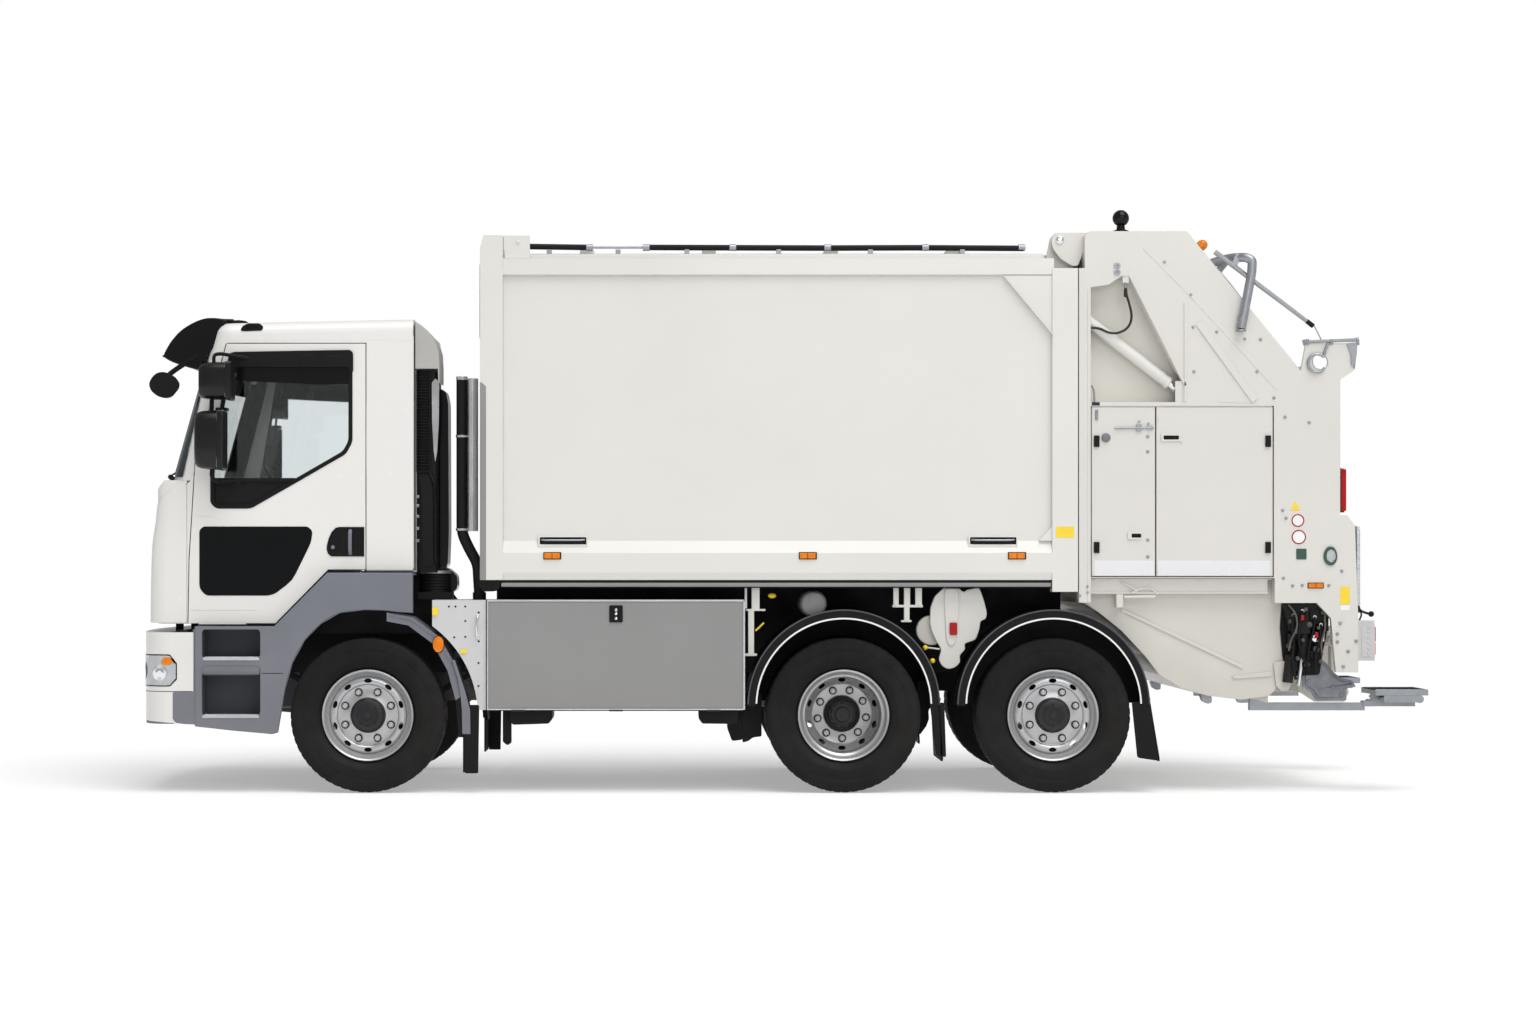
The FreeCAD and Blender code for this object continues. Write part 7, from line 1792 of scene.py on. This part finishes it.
p.done(3, 2)
p = Piece("beacon_details", "tailgate", BLACK, "black_plastic")
p.lathe([(0, 0), (52, 0), (52, 8), (30, 16), (26, 26), (0, 26)], (2238, -1190, 3667), "z", 36)
p.lathe([(25, 30), (29, 30), (29, 36), (25, 36)], (2238, -1190, 3667), "z", 30, True)
for k in range(6):
    p.lathe([(53.5 * math.cos(math.radians(-40 + k * 22)) + 0.8, 3757 + 54 * math.sin(math.radians(-40 + k * 22)) - 3667 - 1.2), (53.5 * math.cos(math.radians(-40 + k * 22)) + 0.8, 3757 + 54 * math.sin(math.radians(-40 + k * 22)) - 3667 + 1.2),
             (53.5 * math.cos(math.radians(-40 + k * 22)) - 4, 3757 + 54 * math.sin(math.radians(-40 + k * 22)) - 3667)], (2238, -1190, 3667), "z", 36, True)
p.done(0, 1)
bx, bz = 2660 + 0.632137 * 144, 3667 - 0.774869 * 144
p = Piece("amber_beacon_base", "tailgate", BLACK, "black_plastic")
p.cyl((bx + 0.774869 * -4, -890, bz + 0.632137 * -4), (bx + 0.774869 * 20, -890, bz + 0.632137 * 20), 26, 32)
p.cyl((bx + 0.774869 * 18, -890, bz + 0.632137 * 18), (bx + 0.774869 * 66, -890, bz + 0.632137 * 66), 41, 32)
p.done(2, 2)

# top brackets
p = Piece("gate_top_clamps", "tailgate", GALV, "bright_steel")
for x in (3444, 3600, 3772):
    p.cyl((x, -1256, 2962), (x, -1256, 2936), 11, 16)
    p.box(x - 14, x + 14, -1252, -1190, 2924, 2940)
p.tube([(3520, -1226, 2876), (3484, -1226, 2850), (3478, -1226, 2806), (3500, -1226, 2768), (3540, -1226, 2762)], 7, 24, 12)
p.tube([(3758, -1244, 2936), (3756, -1244, 2840), (3748, -1244, 2770)], 9, 10, 12)
p.both()
p.done(1.5, 2)

# cover: cross seams, rear camera hood and lattice
p = Piece("gate_cover_ribs", "tailgate", GATE_WHITE, "white_paint")
SX, SZ, NX, NZ = 0.632137, -0.774869, 0.774869, 0.632137
for s in (380, 620, 860, 1080):
    x, z = 2660 + SX * s, 3667 + SZ * s
    q = [(x, z), (x + NX * 16, z + NZ * 16), (x + SX * 46 + NX * 16, z + SZ * 46 + NZ * 16), (x + SX * 46, z + SZ * 46)]
    p.prism(q, -560, 560)
p.done(4, 2)
p = Piece("rear_camera", "tailgate", BLACK, "black_plastic")
x, z = 2660 + SX * 300, 3667 + SZ * 300
p.prism(soft([(x, z), (x + NX * 60, z + NZ * 60), (x + SX * 60 + NX * 66, z + SZ * 60 + NZ * 66), (x + SX * 60, z + SZ * 60)], 6, 2), -40, 40)
p.done(4, 2)

# lifter: comb rivets, cross ribs
p = Piece("lifter_comb_ribs", "lifter", WHITE, "white_paint")
for z in (735, 860, 985):
    p.box(3733, 3741, -700, 700, z - 8, z + 8)
for y in range(-660, 661, 120):
    p.hexagon((3734, y, 920), "x", 9, 7)
p.done(2, 2)
p = Piece("lifter_pads", "lifter", BLACK, "black_plastic")
for y in (-600, -200, 200, 600):
    p.box(3733, 3748, y - 60, y + 60, 770, 820)
p.done(4, 2)

# footboards: serrated top, edge bars and hinge bolts
for side, word in ((-1, "left"), (1, "right")):
    sg = lambda a, b: sorted((a * side, b * side))
    p = Piece(word + "_board_grating", word + "_step_board", DARK_STEEL, "black_steel")
    for k in range(16):
        y = 800 + k * 24.5
        bm_y = sg(y, y + 8)
        p.box(3912, 4240, *bm_y, 667, 674)
    for k in range(15):
        x = 3920 + k * 22
        for j in range(9):
            y = sg(806 + j * 42, 826 + j * 42)
            p.box(x, x + 5, *y, 672, 677)
    p.done(0, 1)
    p = Piece(word + "_board_edges", word + "_step_board", GALV, "bright_steel")
    p.box(3904, 4248, *sg(1180, 1191), 636, 676)
    p.box(3904, 4248, *sg(776, 786), 636, 676)
    p.box(4236, 4249, *sg(780, 1190), 636, 676)
    p.box(3960, 4196, *sg(1172, 1189), 590, 636)
    p.cyl((4196, 1160 * side, 612), (4196, 1190 * side, 612), 26, 24)
    p.cyl((4196, 1186 * side, 612), (4196, 1192 * side, 612), 14, 6)
    p.cyl((3970, 1180 * side, 612), (3970, 1192 * side, 612), 14, 6)
    p.done(2, 2)

# ================================================================ seats: padded pieces
def pad(name, center, size, tilt=0.0, seam=(0.0,), bulge=0.16, corner=0.3):
    """A crowned cushion whose sides pull in between the corners, with sewn channels across the top."""
    bm = bmesh.new()
    n = 26
    L_, W_, H_ = [v / 2 for v in size]
    top = {}
    for f in (1, -1):
        for i in range(n + 1):
            for j in range(n + 1):
                u, v = -1 + 2 * i / n, -1 + 2 * j / n
                k = 1 - (u * u) * 0.055 * (1 - v * v) * 1.0
                k2 = 1 - (v * v) * 0.0
                x = L_ * u * (1 - 0.045 * (1 - v * v) * abs(u) ** 6 * -1 - 0.045)
                y = W_ * v * (1 - 0.045 * (1 - u * u) * abs(v) ** 6 * -1 - 0.045)
                edge = max(abs(u), abs(v))
                r = (1 - edge ** 7) ** 0.5 if edge < 1 else 0.0
                crown = 0.72 + 0.28 * (1 - u * u) * (1 - v * v)
                h = H_ * r * crown
                if f > 0:
                    for s in seam:
                        h -= 9 * math.exp(-((v * W_ - s) / 9) ** 2) * r
                    h -= 6 * math.exp(-((u * L_ - L_ * 0.45) / 9) ** 2) * r
                    h -= 7 * math.exp(-((edge - 0.86) / 0.03) ** 2)
                    h += 1.0 * math.sin(u * 9 + v * 4) * r
                top[(f, i, j)] = (x, y, f * h)
    vs = {}
    for key, co in top.items():
        f, i, j = key
        if f < 0 and (i in (0, n) or j in (0, n)):
            vs[key] = vs[(1, i, j)]
        else:
            vs[key] = bm.verts.new(co)
    for f in (1, -1):
        for i in range(n):
            for j in range(n):
                q = [vs[(f, i, j)], vs[(f, i + 1, j)], vs[(f, i + 1, j + 1)], vs[(f, i, j + 1)]]
                bm.faces.new(q if f > 0 else q[::-1])
    m = Matrix.Translation(Vector(center)) @ Matrix.Rotation(math.radians(tilt), 4, "Y")
    for v in bm.verts:
        v.co = (m @ v.co) * MM
    bmesh.ops.recalc_face_normals(bm, faces=bm.faces[:])
    me = bpy.data.meshes.new(name)
    bm.to_mesh(me)
    bm.free()
    me.materials.append(FABRIC)
    me.shade_smooth()
    o = bpy.data.objects.new(name, me)
    sd = o.modifiers.new("round", "SUBSURF")
    sd.levels = 1
    sd.render_levels = 1
    scene.collection.objects.link(o)
    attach(o, "cab")
    return o


for side, word in ((-1, "passenger"), (1, "driver")):
    y = 620 * side
    pad(word + "_seat_cushion", (-2872, y, 1822), (490, 488, 112), 4, (-95, 95))
    pad(word + "_seat_back", (-2640, y, 2180), (600, 470, 118), -80, (-85, 85))
    pad(word + "_headrest", (-2585, y, 2602), (150, 260, 88), -82, ())
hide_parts("seats")
p = Piece("seat_bases", "cab", BLACK, "black_plastic")
for y in (-620, 620):
    p.prism(soft([(-3060, 1510), (-2660, 1510), (-2640, 1560), (-2650, 1760), (-3080, 1760), (-3090, 1600)], 20, 3), y - 200, y + 200)
    for k in range(6):
        p.box(-3070, -2650, y - 206, y + 206, 1560 + k * 30, 1570 + k * 30)
    p.tube([(-2600, y - 50, 2440), (-2586, y - 50, 2540)], 6, 1, 10)
    p.tube([(-2600, y + 50, 2440), (-2586, y + 50, 2540)], 6, 1, 10)
p.done(5, 2)
p = Piece("cab_rear_lining", "cab", SLATE, "slate_plastic")
p.box(-2452, -2446, -1060, 1060, 1560, 2900)
for k in range(9):
    p.box(-2460, -2450, -1000 + k * 240, -984 + k * 240, 1600, 2860)
p.done(3, 2)
p = Piece("dash_details", "cab", GLOSS_BLACK, "black_plastic")
p.prism(soft([(-3720, 2010), (-3650, 2044), (-3600, 2030), (-3640, 1990)], 10, 3), 420, 820)
for k in range(4):
    p.box(-3656, -3644, -500 + k * 170, -380 + k * 170, 1900, 1960)
p.box(-3660, -3646, -120, 160, 1740, 1860)
p.done(3, 2)


# ---------------------------------------------------------------- stage
def area(name, loc, look, size, energy, size_y=None, color=(1, 1, 1)):
    l = bpy.data.lights.new(name, "AREA")
    l.shape = "RECTANGLE" if size_y else "SQUARE"
    l.size = size
    if size_y:
        l.size_y = size_y
    l.energy = energy
    l.color = color
    o = bpy.data.objects.new(name, l)
    o.location = loc
    o.rotation_euler = (Vector(look) - Vector(loc)).to_track_quat("-Z", "Y").to_euler()
    scene.collection.objects.link(o)


def soft_sun(name, direction, strength, angle, color=(1, 1, 1)):
    l = bpy.data.lights.new(name, "SUN")
    l.energy = strength
    l.angle = math.radians(angle)
    l.color = color
    o = bpy.data.objects.new(name, l)
    o.rotation_euler = Vector(direction).to_track_quat("-Z", "Y").to_euler()
    o.location = (0, 0, 20)
    scene.collection.objects.link(o)


soft_sun("overhead", (-0.24, 0.42, -1.0), 2.3, 50)
area("key", (3.5, -14, 7.0), (0.8, 0, 1.9), 9, 300, 5)
world = bpy.data.worlds.new("studio")
world.use_nodes = True
world.node_tree.nodes["Background"].inputs[0].default_value = (1, 1, 1, 1)
world.node_tree.nodes["Background"].inputs[1].default_value = 0.42
scene.world = world


def plain(name, color, emission):
    m = bpy.data.materials.new(name)
    m.use_nodes = True
    q = m.node_tree.nodes["Principled BSDF"]
    q.inputs["Base Color"].default_value = (*color, 1)
    q.inputs["Roughness"].default_value = 0.9
    q.inputs["Specular IOR Level"].default_value = 0.0
    q.inputs["Emission Color"].default_value = (1, 1, 1, 1)
    q.inputs["Emission Strength"].default_value = emission
    return m


floor_mesh = bpy.data.meshes.new("floor")
floor_mesh.from_pydata([(-60, -60, 0), (60, -60, 0), (60, 60, 0), (-60, 60, 0)], [], [(0, 1, 2, 3)])
floor_mesh.materials.append(plain("floor", (0.62, 0.62, 0.62), 0.36))
floor = bpy.data.objects.new("floor", floor_mesh)
scene.collection.objects.link(floor)

# round white backdrop, far out; it only shows, and neither lights nor shades the vehicle
n = 48
ring = [(58 * math.cos(2 * math.pi * i / n), 58 * math.sin(2 * math.pi * i / n)) for i in range(n)]
back_mesh = bpy.data.meshes.new("backdrop")
back_mesh.from_pydata([(x, y, z) for z in (-1, 60) for x, y in ring], [], [(i, (i + 1) % n, n + (i + 1) % n, n + i) for i in range(n)] + [tuple(range(n, 2 * n))])
back_mesh.materials.append(plain("backdrop", (0.0, 0.0, 0.0), 1.0))
backdrop = bpy.data.objects.new("backdrop", back_mesh)
scene.collection.objects.link(backdrop)
for ray in ("diffuse", "glossy", "volume_scatter", "shadow"):
    setattr(backdrop, "visible_" + ray, False)
